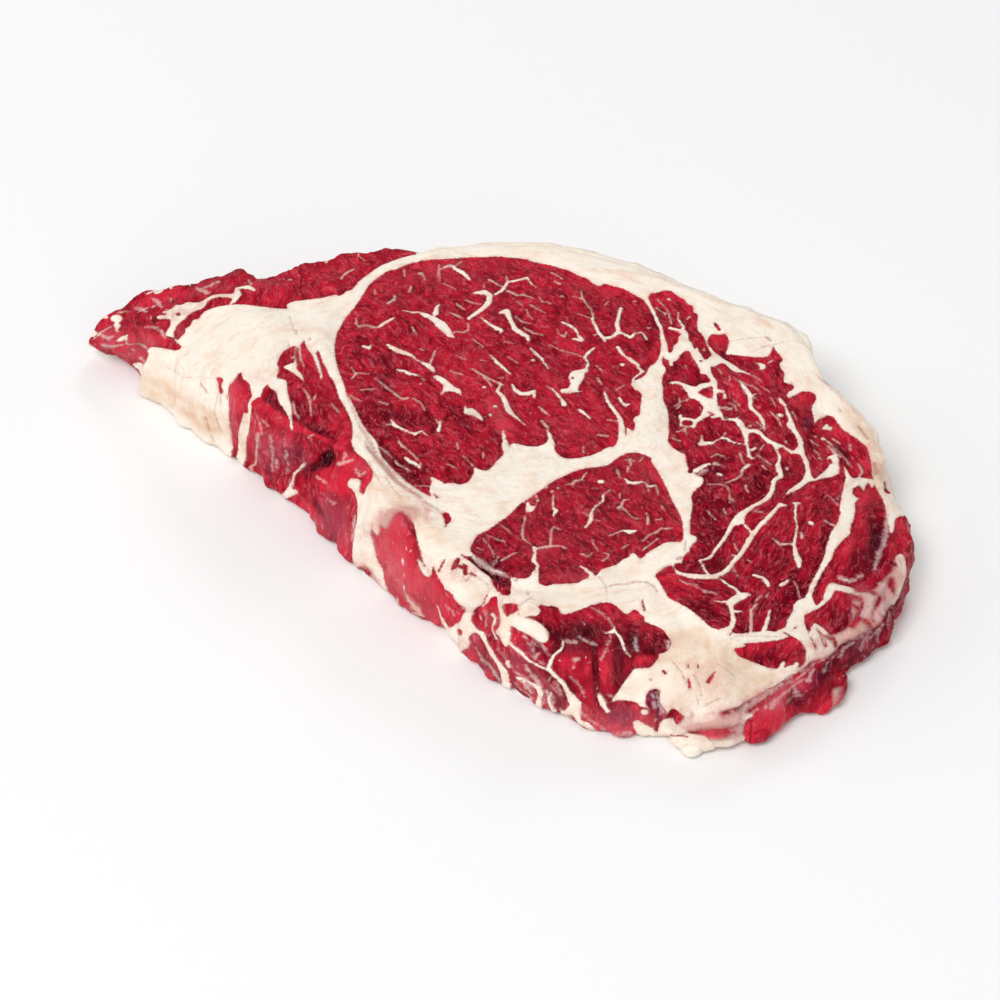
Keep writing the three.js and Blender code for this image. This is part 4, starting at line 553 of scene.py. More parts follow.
    [-42.7, 15.2, 0.5, -41.5, 13.3, 0.6, -40.4, 11.8, 0.3], [-54.9, 34.6, 0.7, -54.7, 34.2, 0.7],
    [-60.9, 4, 0.3, -61.2, -2.1, 0.5, -61.5, -7.8, 0.8, -63.1, -9.4, 0.8, -62.5, -11.3, 0.6],
    [-64.6, 14.4, 0.9, -64.4, 13.4, 0.9], [-48.5, 1.4, 0.5, -47.3, 2.5, 0.7],
    [-49, -8.6, 0.4, -50.5, -11.9, 0.9, -51.8, -13, 0.7, -52, -15.3, 0.6, -52.6, -18.2, 0.8,
     -52.5, -20.2, 1.6],
    [-55, -18.6, 0.6, -53.5, -20, 0.8],
    [-21.4, -58, 0.6, -19.6, -61.2, 0.8, -17.6, -64, 0.8, -15.2, -65.8, 0.6],
    [-19.4, -52.4, 0.4, -18.4, -57.6, 0.5, -17.2, -62, 0.7, -16, -65.2, 0.8],
    [-11.6, -61.2, 0.5, -10.4, -64.4, 1, -9.6, -67.2, 1.2, -7.6, -71.2, 1.6, -6, -74, 2],
    [-16.2, -45, 0.3, -15.4, -48, 1, -14.8, -51, 1.2], [-13.6, -45, 1, -14.6, -48, 0.6],
    [-2, -70, 1.2, 0.4, -71.6, 1.5, 1.6, -75.2, 1.2, 3.2, -78.8, 1.1, 4.8, -82, 1.3, 6, -84.8, 2,
     6.6, -90.4, 2.4],
    [2.8, -64.8, 0.9, 4, -66.4, 1.1, 3.2, -69.6, 0.8, 4, -73.2, 0.6],
    [5.2, -60, 0.3, 5.8, -64, 0.6, 5.4, -68, 0.8, 4.6, -71.2, 0.8, 6.8, -74, 1, 9.6, -77.2, 0.9,
     12, -80.4, 0.9, 14, -82, 0.7, 17.2, -84.4, 0.7, 19.6, -87.2, 1.2],
    [20.8, -74.1, 0.6, 20.3, -76.7, 0.7, 18.2, -79, 0.8, 17.5, -81.2, 1, 17.1, -83.4, 1,
     18.2, -85.3, 1.1, 19.7, -87.5, 1.2, 20.8, -89, 1.3, 21.9, -91.6, 1.4, 23, -93.8, 2.5,
     24.1, -95.3, 2.8, 24.5, -98.6, 1.8, 25.3, -100.4, 1.2, 28.2, -102.3, 0.8],
    [11.2, -82, 0.5, 12.4, -84.4, 0.5, 14, -87.2, 0.6, 14.8, -89.6, 0.8],
    [9.6, -86.4, 0.8, 12, -87.6, 0.6, 14.4, -90, 1, 15.2, -92, 1.4],
    [10.8, -87, 0.8, 11.2, -90, 0.6], [6.8, -81.2, 1.2, 7.2, -83, 0.6],
    [14.8, -92.4, 1.2, 14.8, -95.6, 1.8], [17.6, -91.6, 0.6, 17.2, -94, 0.6, 18.4, -97.2, 1],
    [16.8, -88, 0.4, 17.6, -86.4, 0.4], [29.7, -92.3, 0.8, 31, -95, 1.4, 32.3, -97.1, 0.8],
    [34.1, -70.8, 0.8, 35.3, -72.7, 1.2, 36, -76, 1, 36.7, -78.2, 0.5, 37.9, -79.7, 0.4],
    [40.9, -97.9, 1.8, 41.1, -97.9, 1.8], [11.2, -57.4, 0.3, 9.6, -60.4, 1.4, 10.4, -63, 1.4],
    [76.9, -81.7, 1, 76.1, -83.8, 1.4, 75.7, -85.7, 1.8, 75.4, -88.4, 2],
    [80.2, -82.1, 1, 79.5, -83.8, 1.6],
]

# Silvery skin, pink where it is thin, and some pale painted highlights on wet lean: x, y and width.
SILVER_AND_SHEEN_STREAKS = [
    [-58.4, 3, 0.3, -57.6, -4, 0.5, -57, -11, 0.4], [-55, 1, 0.3, -54, -6, 0.5, -53.6, -13, 0.4],
    [-61, 8, 0.3, -60, 3, 0.4], [-45.6, -14, 0.4, -42, -17, 0.6], [-44, -20, 0.4, -40, -24, 0.5],
    [8.4, -84, 0.6, 11.2, -86.6, 1, 13.4, -90, 0.6], [13.6, -87, 0.5, 15, -91, 0.9, 16, -95, 0.5],
    [3, -84, 0.4, 5.2, -88.4, 0.8], [12.6, -71.6, 0.4, 15.4, -75.4, 0.7, 17, -78.6, 0.5],
    [18.8, -88, 0.4, 20, -91.6, 0.7], [24, -96, 0.5, 27.4, -100, 0.8, 31, -102.4, 0.5],
    [33, -103.6, 0.6, 37, -104.4, 0.9], [32, -92.6, 0.6, 34.4, -94, 0.9],
    [-8.6, -61, 0.4, -6.6, -65, 0.6], [0.4, -61, 0.4, 1.2, -65, 0.7, 1.4, -69, 0.5],
    [70, -74, 0.4, 74, -73, 0.5], [44, -92, 0.6, 45, -96, 1, 44.4, -99, 0.6],
    [70.6, -97, 0.4, 77, -91.6, 0.6, 82, -87, 0.4], [75, -97, 0.3, 80.6, -93, 0.5],
    [86, -81.4, 0.5, 91, -77.4, 0.5], [90, -80, 0.5, 96, -75.4, 0.5],
    [94, -75.6, 0.4, 100, -71, 0.5], [99, -74, 0.4, 103.6, -68.4, 0.4],
    [66.4, -99, 0.4, 69, -97.2, 0.6], [104.6, -70, 0.3, 106, -64, 0.4],
    [78.6, -88.6, 0.5, 81.4, -85.6, 0.4], [-96.6, 60, 1, -95.1, 58.5, 1.6, -94.1, 56.7, 0.9],
    [-84.2, 64.6, 1, -82, 63.6, 1.6, -80.6, 62.4, 1],
    [-82, 65, 0.8, -79.8, 66.4, 1, -78, 67.4, 0.8],
    [-101.4, 56, 0.9, -99.8, 55.5, 1.5, -98.4, 54.8, 1],
    [-97.6, 47.6, 0.8, -94.4, 47.4, 1, -92.3, 44.4, 1.1, -91.6, 43.1, 0.6],
    [-109.1, 40, 1, -106.6, 39, 1.2, -103, 39.4, 1, -99.1, 39.9, 1.2, -98, 38.9, 1.8,
     -96.6, 38.1, 1.4],
    [-110, 44, 1, -108, 42.6, 1.2, -106.6, 43.6, 0.8], [-98.6, 33.4, 1, -97, 32.4, 1],
    [10.6, -86.4, 0.6, 11.6, -89, 0.6, 13, -91.4, 0.6],
    [12.4, -85.6, 0.5, 14.4, -88.4, 0.6, 15.2, -91, 0.6],
    [16, -91, 0.6, 17.4, -92.6, 0.8, 18, -95, 0.6], [8.6, -88, 0.4, 9.6, -91, 0.6],
    [17.6, -89, 0.4, 20, -92.4, 0.6], [6, -80, 0.4, 8.6, -84, 0.6], [4, -76, 0.4, 6, -80, 0.5],
    [43.4, -95, 1.2, 43.8, -96.4, 1.4], [45.4, -97.4, 0.8, 46, -98, 0.8],
    [42.6, -92.6, 0.5, 43.4, -93.4, 0.5],
    [62, -98, 0.5, 70, -93, 0.6, 76, -88.4, 0.6, 81.6, -83.4, 0.5],
    [66, -97.4, 0.5, 73, -92, 0.6, 78, -88, 0.5], [60.6, -99.4, 0.6, 66, -96.6, 0.5],
    [83.4, -81.4, 0.5, 86.4, -78.4, 0.6, 89, -76.4, 0.5], [63, -102, 1.6, 64, -105, 1.8],
    [80.6, -86.4, 0.4, 84.6, -82, 0.5],
    [-2.6, -44, 1, 0.6, -46.6, 2, 3, -48.8, 1.4, 5.4, -50.4, 1, 7, -52, 0.6],
    [3, -46, 0.4, 4, -44, 0.3], [20.8, -74.1, 0.6, 22.3, -74.3, 0.9, 23.8, -74.5, 1.3],
    [24.9, -73.2, 0.6, 26.7, -74.5, 0.7, 29, -75.6, 1.2],
    [28.2, -62.5, 0.5, 30.4, -63.8, 0.7, 31.9, -65.3, 0.7, 33.4, -67.9, 0.5, 33.8, -69, 0.5],
    [33, -72.3, 0.5, 31.9, -76.7, 0.4, 30.1, -81.2, 0.4],
    [39.4, -72, 0.5, 39.4, -74.6, 1, 39.4, -77.4, 1.1], [47.6, -74.4, 1.2, 47.8, -76.8, 1.4],
    [23.9, -80.4, 1.5, 24.5, -80.2, 1.3], [23.2, -83.4, 0.5, 24.1, -81.5, 0.5],
    [22.3, -86.4, 0.5, 24.9, -89.3, 0.5, 26, -93, 0.5],
    [10.8, -72, 0.6, 12.4, -76, 0.7, 13.2, -77.6, 0.6], [14.4, -78.4, 0.8, 13.6, -80, 0.8],
    [12, -73.6, 0.4, 14.6, -76, 0.4], [12.8, -79, 0.4, 16.8, -82.8, 0.5],
    [-39.5, -9, 1.4, -37.6, -8.2, 1.5, -36, -7.5, 1], [-38.3, -4.2, 0.8, -38.3, -7, 0.9],
    [-34.6, -11.2, 0.9, -33.9, -13.4, 0.9, -32.7, -12, 0.9], [-56.5, -6.7, 0.5, -56.3, -9.6, 0.6],
    [-54.6, -5.2, 0.3, -53.8, -9, 0.7], [-60.4, 9.5, 0.5, -59.2, 6.8, 0.5],
    [-57, 9.5, 0.9, -56.8, 9.5, 0.9], [-33.8, -28.5, 0.7, -33.6, -33, 1.4, -33.9, -37, 0.8],
    [94, -51.8, 1.4, 95.2, -52.8, 1], [96.3, -53.1, 1.4, 98, -52.6, 0.8],
    [99, -51.7, 1.4, 99.6, -51, 1],
    [108.8, -24, 0.5, 108.6, -29.8, 1.1, 108, -34.4, 1.2, 107.1, -38.6, 1.1, 105.7, -41.9, 1,
     104.6, -44.8, 0.8, 103.8, -47.3, 0.7, 102.8, -49.4, 0.5],
    [91.7, -54, 0.8, 94, -55.4, 0.9, 96.7, -56.3, 0.9, 97.2, -57.6, 0.9, 99.9, -57.9, 1.6,
     102, -59.4, 1.6],
    [100.4, -58.6, 2.4, 100.6, -62.4, 2.6, 98.6, -65.4, 1.6],
    [104, -54, 1.2, 105.6, -56.8, 2.4, 106, -60, 2.6, 103.6, -63.6, 3, 101.4, -66, 2],
    [93.4, -21, 0.4, 95.1, -23.1, 0.4, 95.9, -24.3, 0.4], [95.5, -22.3, 0.3, 97.4, -20.2, 0.3],
    [98, -5.2, 0.5, 99.3, -7.7, 0.5, 100.5, -10.2, 0.5], [100.9, -1.4, 0.7, 100.7, -3.5, 0.6],
    [71, 25.3, 0.5, 72.4, 24.2, 0.5, 74.2, 23.1, 0.5, 76.4, 21.7, 0.5, 77.6, 19.2, 0.5],
    [55.4, -54.9, 0.5, 58.1, -56.7, 0.5, 61.3, -57.4, 0.5], [59.4, -12.2, 1.6, 61, -11, 1],
    [63, -98, 0.8, 62.2, -100.4, 1, 61.4, -103, 0.6],
    [64.2, -99, 0.8, 63.6, -102.6, 1.4, 64, -106, 0.8], [61.8, -104, 0.6, 62.2, -106.6, 1],
    [65.4, -96.8, 1.6, 68, -95, 1, 70, -93.4, 0.8],
    [75.9, -87.2, 0.6, 78.8, -85.8, 0.6, 81.6, -83.8, 0.7], [72, -96.6, 1, 73.6, -94.6, 0.8],
    [70, -90.6, 0.5, 74.6, -88.2, 0.6], [79.4, -90, 0.6, 79.8, -92.8, 0.6],
    [84, -84, 1, 82.6, -88, 1.2], [88.6, -81.6, 0.8, 87.6, -84.6, 0.9],
    [93.6, -76.8, 0.5, 91.8, -80.4, 0.5], [99, -72.4, 0.6, 97, -77.4, 0.6],
    [103.4, -68, 0.5, 101, -74, 0.5], [85.8, -69, 0.6, 88, -74, 1.2, 86, -77, 1.6],
    [84.8, -71, 0.5, 84.6, -76, 0.8], [81.6, -74, 0.4, 83.6, -78, 0.4],
    [90.6, -72, 0.6, 92, -75, 0.6], [95, -71.6, 0.6, 95.4, -74.4, 0.6],
    [-5, -62, 0.6, -2, -62, 0.6],
]

# Painted highlights: small glints of wet spots, x, y and width.
GLINTS = [
    [94.4, -52.4, 1, 95.6, -52.7, 1.2], [96.6, -53.4, 0.6, 97.6, -53.2, 0.6],
    [98.4, -52.2, 0.5, 99.2, -51, 0.4], [84.8, -36, 0.6, 85, -37.2, 0.7],
    [79, -36.8, 0.5, 79.2, -37.4, 0.4], [77, -10.4, 0.5, 77.4, -10.9, 0.5],
    [62, -6.4, 0.3, 62.4, -6.6, 0.3], [94, 1.4, 0.6, 93.8, 1, 0.6], [91.6, 2, 0.6, 91.8, 1.6, 0.6],
    [-3.5, 42.8, 0.5, -0.1, 39.7, 0.6], [6.6, 35, 0.6, 10.2, 31.9, 0.4],
    [-7.5, 35.1, 0.3, -5.3, 33.7, 0.5], [-1.2, 33.7, 0.5, 0.1, 33.1, 0.3],
    [-9.5, 28.7, 0.4, -6, 27.1, 0.4], [-17.9, 15.7, 0.5, -16.6, 13.4, 0.5],
    [4, 25.8, 0.5, 5.1, 25.4, 0.4], [5.4, 23.1, 0.3, 7.6, 23.1, 0.3],
    [-30.4, 26.5, 0.4, -23.6, 19.7, 0.4], [-28.4, -1.2, 0.4, -26.1, -8.2, 0.4],
    [-22.1, -6.6, 0.5, -18, -10.5, 0.6], [-23.6, 0.3, 0.3, -20.9, -2.8, 0.4],
    [-11, 55.8, 0.3, -7.5, 52.3, 0.4], [-9.4, 20.9, 0.4, -7.2, 19.3, 0.4],
    [31.7, 3.4, 0.4, 33.3, 2.3, 0.4], [-60, 8.7, 0.5, -60.2, 8.2, 0.4],
    [-57, 9, 0.6, -56.8, 8.7, 0.4], [-52.8, 4.3, 0.4, -52.4, 3.8, 0.4],
    [-56.3, -8.1, 0.3, -56.2, -9.4, 0.4], [-54, -8.2, 0.3, -53.8, -9.6, 0.6],
    [-98.2, 53.6, 0.6, -97.9, 51.8, 0.6], [-96.9, 52.9, 0.8, -96.7, 51.2, 0.8],
    [-19.4, -39.2, 0.8, -19.2, -40.4, 0.9], [-17.9, -41, 1, -17.8, -41.5, 0.9],
    [-20.6, -43.6, 0.7, -20.4, -44.8, 1.3, -20.2, -46, 1], [-20, -47, 0.3, -19.8, -47.9, 0.4],
    [-19.8, -48.6, 0.5, -19.4, -49.8, 1, -18.8, -50.6, 0.5],
    [-19.2, -53, 0.9, -19, -54.2, 1.5, -18.6, -55.6, 0.8], [-20, -36.8, 0.5, -19.9, -37.2, 0.5],
    [-18.4, -57.6, 0.3, -17.8, -60, 0.4], [2.7, -85.6, 0.8, 2.9, -85.6, 0.8],
    [3.8, -85.6, 0.8, 4, -85.6, 0.8], [31.3, -92.5, 0.8, 31.5, -92.5, 0.8],
    [40.8, -63.6, 0.6, 40.8, -64.2, 0.7], [40.7, -66.8, 0.6, 40.8, -67.5, 0.7],
    [-8.6, -57, 0.8, -8, -58.6, 0.5], [101, -6.2, 0.7, 101.6, -7.6, 0.7],
    [92.3, -7, 0.8, 92.6, -8, 0.5], [-24.6, -6.4, 0.3, -20.4, -10.8, 0.5],
    [-22.6, -12.8, 0.5, -19.4, -16.4, 0.6], [-38.8, -8.6, 0.6, -37.4, -8, 0.6],
    [-34.2, -12.6, 0.5, -33.6, -13, 0.5], [-92.6, 55.6, 1.1, -90.6, 54.6, 1],
    [-88, 53.4, 0.8, -87.4, 53, 0.7], [-57.4, 68.4, 0.9, -56.6, 68.4, 0.9],
    [-59.2, 68.6, 0.7, -58.8, 68.8, 0.6], [-50.4, 68.6, 0.4, -50.2, 67.6, 0.4],
    [-62.6, 64.6, 0.5, -62, 64.4, 0.4], [24, -80.6, 0.9, 24.4, -81, 0.7],
    [47.7, -75.2, 0.6, 47.9, -76.4, 0.6],
]

# Lean and blood in the fat: x, y and width.
RED_STREAKS = [
    [-4, -44.4, 1, -1.4, -46.6, 2, 1.8, -49.6, 2.4, 6.4, -52.2, 1.8],
    [-5.6, -43.6, 0.5, -3.8, -45, 0.9, -2, -46.2, 1], [-7.2, -47.2, 0.6, -5.6, -48, 1.1],
    [-3, -50.4, 0.6, -1.6, -51.4, 0.5],
    [52, -104.4, 0.8, 56, -104.2, 1.8, 60, -103.6, 1.6, 63, -102, 0.8],
    [-114, 32, 6, -116, 40, 6, -115, 50, 6, -110, 58, 5],
    [99.6, -60.5, 0.9, 97.6, -66, 1.2, 95.6, -69, 0.8],
    [103.6, -59, 0.5, 102.4, -63, 0.9, 101, -66.6, 0.6],
    [107.2, -52.6, 0.6, 106.2, -57, 1, 105.2, -61, 0.7], [108.4, -62, 0.8, 106.6, -68, 0.9],
    [86.4, -70, 0.4, 87.6, -73, 0.7, 88, -76, 0.4], [90.4, -72, 0.4, 90.8, -76, 0.6],
    [84.4, -73, 0.3, 85.6, -77, 0.5], [-107, 56.6, 3, -101.6, 62.4, 3, -96, 66.4, 3, -88, 69, 3],
    [104, -49.4, 0.4, 105.4, -51.6, 0.7], [100.4, -56, 0.3, 102.4, -57.6, 0.6],
    [96.6, -61.6, 0.4, 98.6, -63.6, 0.7], [102.6, -63, 0.3, 103.8, -65.4, 0.6],
    [92, -67.4, 0.3, 95, -69, 0.5], [108, -44.6, 0.3, 108.8, -47.4, 0.5],
    [87.6, -72.4, 0.3, 90, -73.6, 0.5], [99, -67, 0.3, 100, -69.6, 0.4],
    [66.5, 49, 0.7, 67.1, 47.6, 1.2, 67.6, 46.2, 0.9], [61.6, 32.7, 0.9, 61.7, 32.6, 0.8],
    [-13.3, -20.4, 0.4, -12.3, -22.1, 0.5], [-10, -45.2, 0.5, -11.4, -49.2, 0.5],
    [-6.4, -45.2, 1.2, -7.4, -48.6, 1.3], [-4.8, -47.6, 1.2, -4.6, -50.4, 1.1],
    [-5.5, -70.6, 1.4, -5.5, -71.4, 1.4], [-31.3, -47.9, 0.4, -29.7, -50.2, 0.5],
    [52.3, -87.4, 0.6, 52.6, -90, 0.8], [59.2, -84.8, 0.4, 57.3, -88.1, 1.1],
    [52.4, -82.4, 0.4, 52.5, -83.4, 0.4], [55.1, -82, 0.3, 54.9, -83.4, 0.3],
    [44, -105.7, 0.5, 46.9, -106, 0.5, 50.2, -106, 0.5, 51.1, -106.4, 0.5],
    [41.6, -59.7, 0.4, 42.1, -63.4, 0.7], [56.2, 7.3, 2.4, 56.4, 7.3, 2.4],
    [62.6, 11.7, 0.5, 64, 10.6, 0.8, 63, 9.9, 0.6], [94.8, -7.6, 1.2, 95, -8.2, 1.1],
    [25, 25.8, 0.9, 25.2, 25.8, 0.9], [-88.7, 53.3, 1.1, -88.5, 52.9, 1.1],
    [-93.2, 53.2, 0.7, -92.6, 53.2, 0.7], [77.8, -71.2, 0.5, 79, -72.6, 0.7],
    [80.6, -69.8, 0.5, 81, -69.6, 0.4], [107.4, -53.6, 0.5, 106.8, -57, 0.7],
    [97.8, -8.2, 1.2, 98, -10.5, 1.3, 97.7, -13, 1.3], [109.3, -16.5, 1.5, 109.8, -19.5, 1.6],
    [60.4, -98.6, 0.4, 64, -96.8, 0.6, 68.4, -94.4, 0.5, 74, -90, 0.4, 79, -85.6, 0.4],
    [10.6, -81.4, 0.3, 14, -83.4, 0.3], [-10, -70.8, 0.8, -7.6, -73.6, 0.8],
    [46.2, -84.6, 0.9, 46.5, -85.4, 0.8], [75.3, -77.6, 0.2, 75.4, -77.7, 0.2],
]

# Brown threads of skin in the fat, and painted shade in its creases and one crevice: x, y and
# width.
BROWN_AND_CREASE_STREAKS = [
    [68.9, 40.6, 0.2, 74.8, 42.4, 0.3, 81.4, 43, 0.2],
    [76.4, 36.7, 0.2, 80.3, 39, 0.3, 87.6, 41.4, 0.2],
    [92.9, 28.3, 0.2, 96.4, 23.4, 0.3, 100.6, 19.9, 0.3, 104.5, 13.4, 0.2],
    [-90, 31, 0.2, -84, 27, 0.3, -76, 26, 0.2], [-74, 20, 0.2, -75, 12, 0.3, -72, 4, 0.2],
    [50.4, -84, 0.3, 51.6, -88, 0.5, 52.6, -91, 0.3],
    [53.8, -86, 0.3, 55, -89.4, 0.4, 55.4, -93, 0.3], [48, -80, 0.3, 50, -84, 0.4],
    [60, -82, 0.3, 64, -86, 0.3], [56, -96, 0.3, 60, -93.6, 0.4],
    [-34.6, 7, 0.3, -31.2, -1, 0.4, -28.2, -9, 0.5, -24.2, -15, 0.6, -20, -19.6, 0.4],
    [-32.6, 0, 0.3, -29.8, -7, 0.4, -26, -13, 0.4, -22, -18, 0.4],
    [-26.8, -13.6, 0.3, -24.4, -19, 0.5, -22, -22.6, 0.3],
    [-15.6, -23.4, 0.3, -12.6, -26, 0.4, -9.6, -28.4, 0.3],
    [-31.4, -8, 0.3, -29.6, -13, 0.4, -27.4, -17.6, 0.3],
    [33.2, -55.1, 0.6, 34.4, -54.3, 0.6, 37.8, -54.1, 0.6, 39.8, -53.3, 0.6, 42.8, -53.3, 0.6,
     44.8, -54.9, 0.6, 45.7, -56.6, 0.5],
    [30.4, -51.2, 0.3, 32.3, -54.9, 0.4, 32.5, -60, 0.3],
    [-38.5, 18, 0.3, -34.5, 6, 0.6, -30, -3, 0.6],
    [-36.6, 14, 0.5, -33.4, 6.4, 0.5, -30.6, -1, 0.5, -28.9, -6, 0.4, -25.2, -12.6, 0.4,
     -23.4, -15.4, 0.4],
    [-32.1, -2.1, 1.2, -29.6, -6.1, 1.3, -26.7, -10.7, 1.4, -23.9, -15.4, 1.4, -20.6, -18.8, 1.2,
     -16.7, -22.1, 0.8],
    [-16, -23.6, 0.4, -13, -26.4, 0.5, -11, -28.2, 0.4],
    [-5.2, -51.6, 0.35, -4.4, -53.2, 0.35, -2.8, -50.8, 0.35, -1.2, -51.6, 0.35, 1.2, -53.6, 0.35,
     1.8, -55.6, 0.4],
    [11.7, -56.6, 0.5, 11.8, -58.2, 0.6], [13.4, -58.6, 0.3, 9.8, -61.6, 0.3, 10, -65, 0.3],
    [-56.5, 52, 0.3, -54.5, 44.5, 0.3], [-50.2, 42.7, 0.7, -49.9, 42, 0.7],
    [-56.2, 41.2, 0.4, -55.8, 38.6, 0.4], [-54.2, 46, 0.6, -53.8, 44.2, 0.6],
    [-50.8, 39.6, 0.4, -50.4, 38.2, 0.4], [64.9, -72.6, 0.3, 68.8, -72.6, 0.3, 76.9, -72.9, 0.3],
    [63.8, -73.6, 0.3, 66, -74, 0.3], [81, 43.1, 1, 82.1, 41.7, 1],
    [86.6, 24.2, 0.7, 86.8, 23.6, 0.7], [42.8, -87.4, 0.8, 43.1, -87.6, 0.8],
    [44.9, -91.2, 0.6, 44.8, -92, 0.6], [53.9, -38.4, 0.5, 53.5, -42.2, 0.5],
    [46.6, -50.4, 1.2, 47.6, -49.2, 1.5, 48.7, -47.8, 1], [51.6, -45, 1.3, 52.4, -44.6, 1.1],
    [7.7, -51.8, 0.4, 8.8, -52.8, 1, 9, -52, 0.6], [-77, 10, 0.4, -75.6, 5, 0.6],
    [-75, 3, 0.4, -74, 1, 0.5], [-73.4, 22, 0.3, -73.2, 16, 0.3],
    [-71.2, 18.8, 0.7, -71.1, 17.4, 0.6], [54, -92.6, 0.4, 54.6, -95.4, 0.4],
    [72.4, -89.2, 0.3, 73.4, -88.4, 0.3], [-79, 24, 0.6, -77, 20, 0.6],
    [-33.5, -8, 0.5, -31.6, -10, 0.5], [104, 6, 0.8, 106, 1, 1], [107, -9, 1.2, 106.8, -13, 1.4],
    [99.2, 13.2, 0.6, 99.6, 11.8, 0.6], [72.6, -75, 0.3, 78, -73.6, 0.3],
    [-44.6, 28.4, 0.3, -42.4, 23, 0.4, -40.6, 17, 0.4],
]
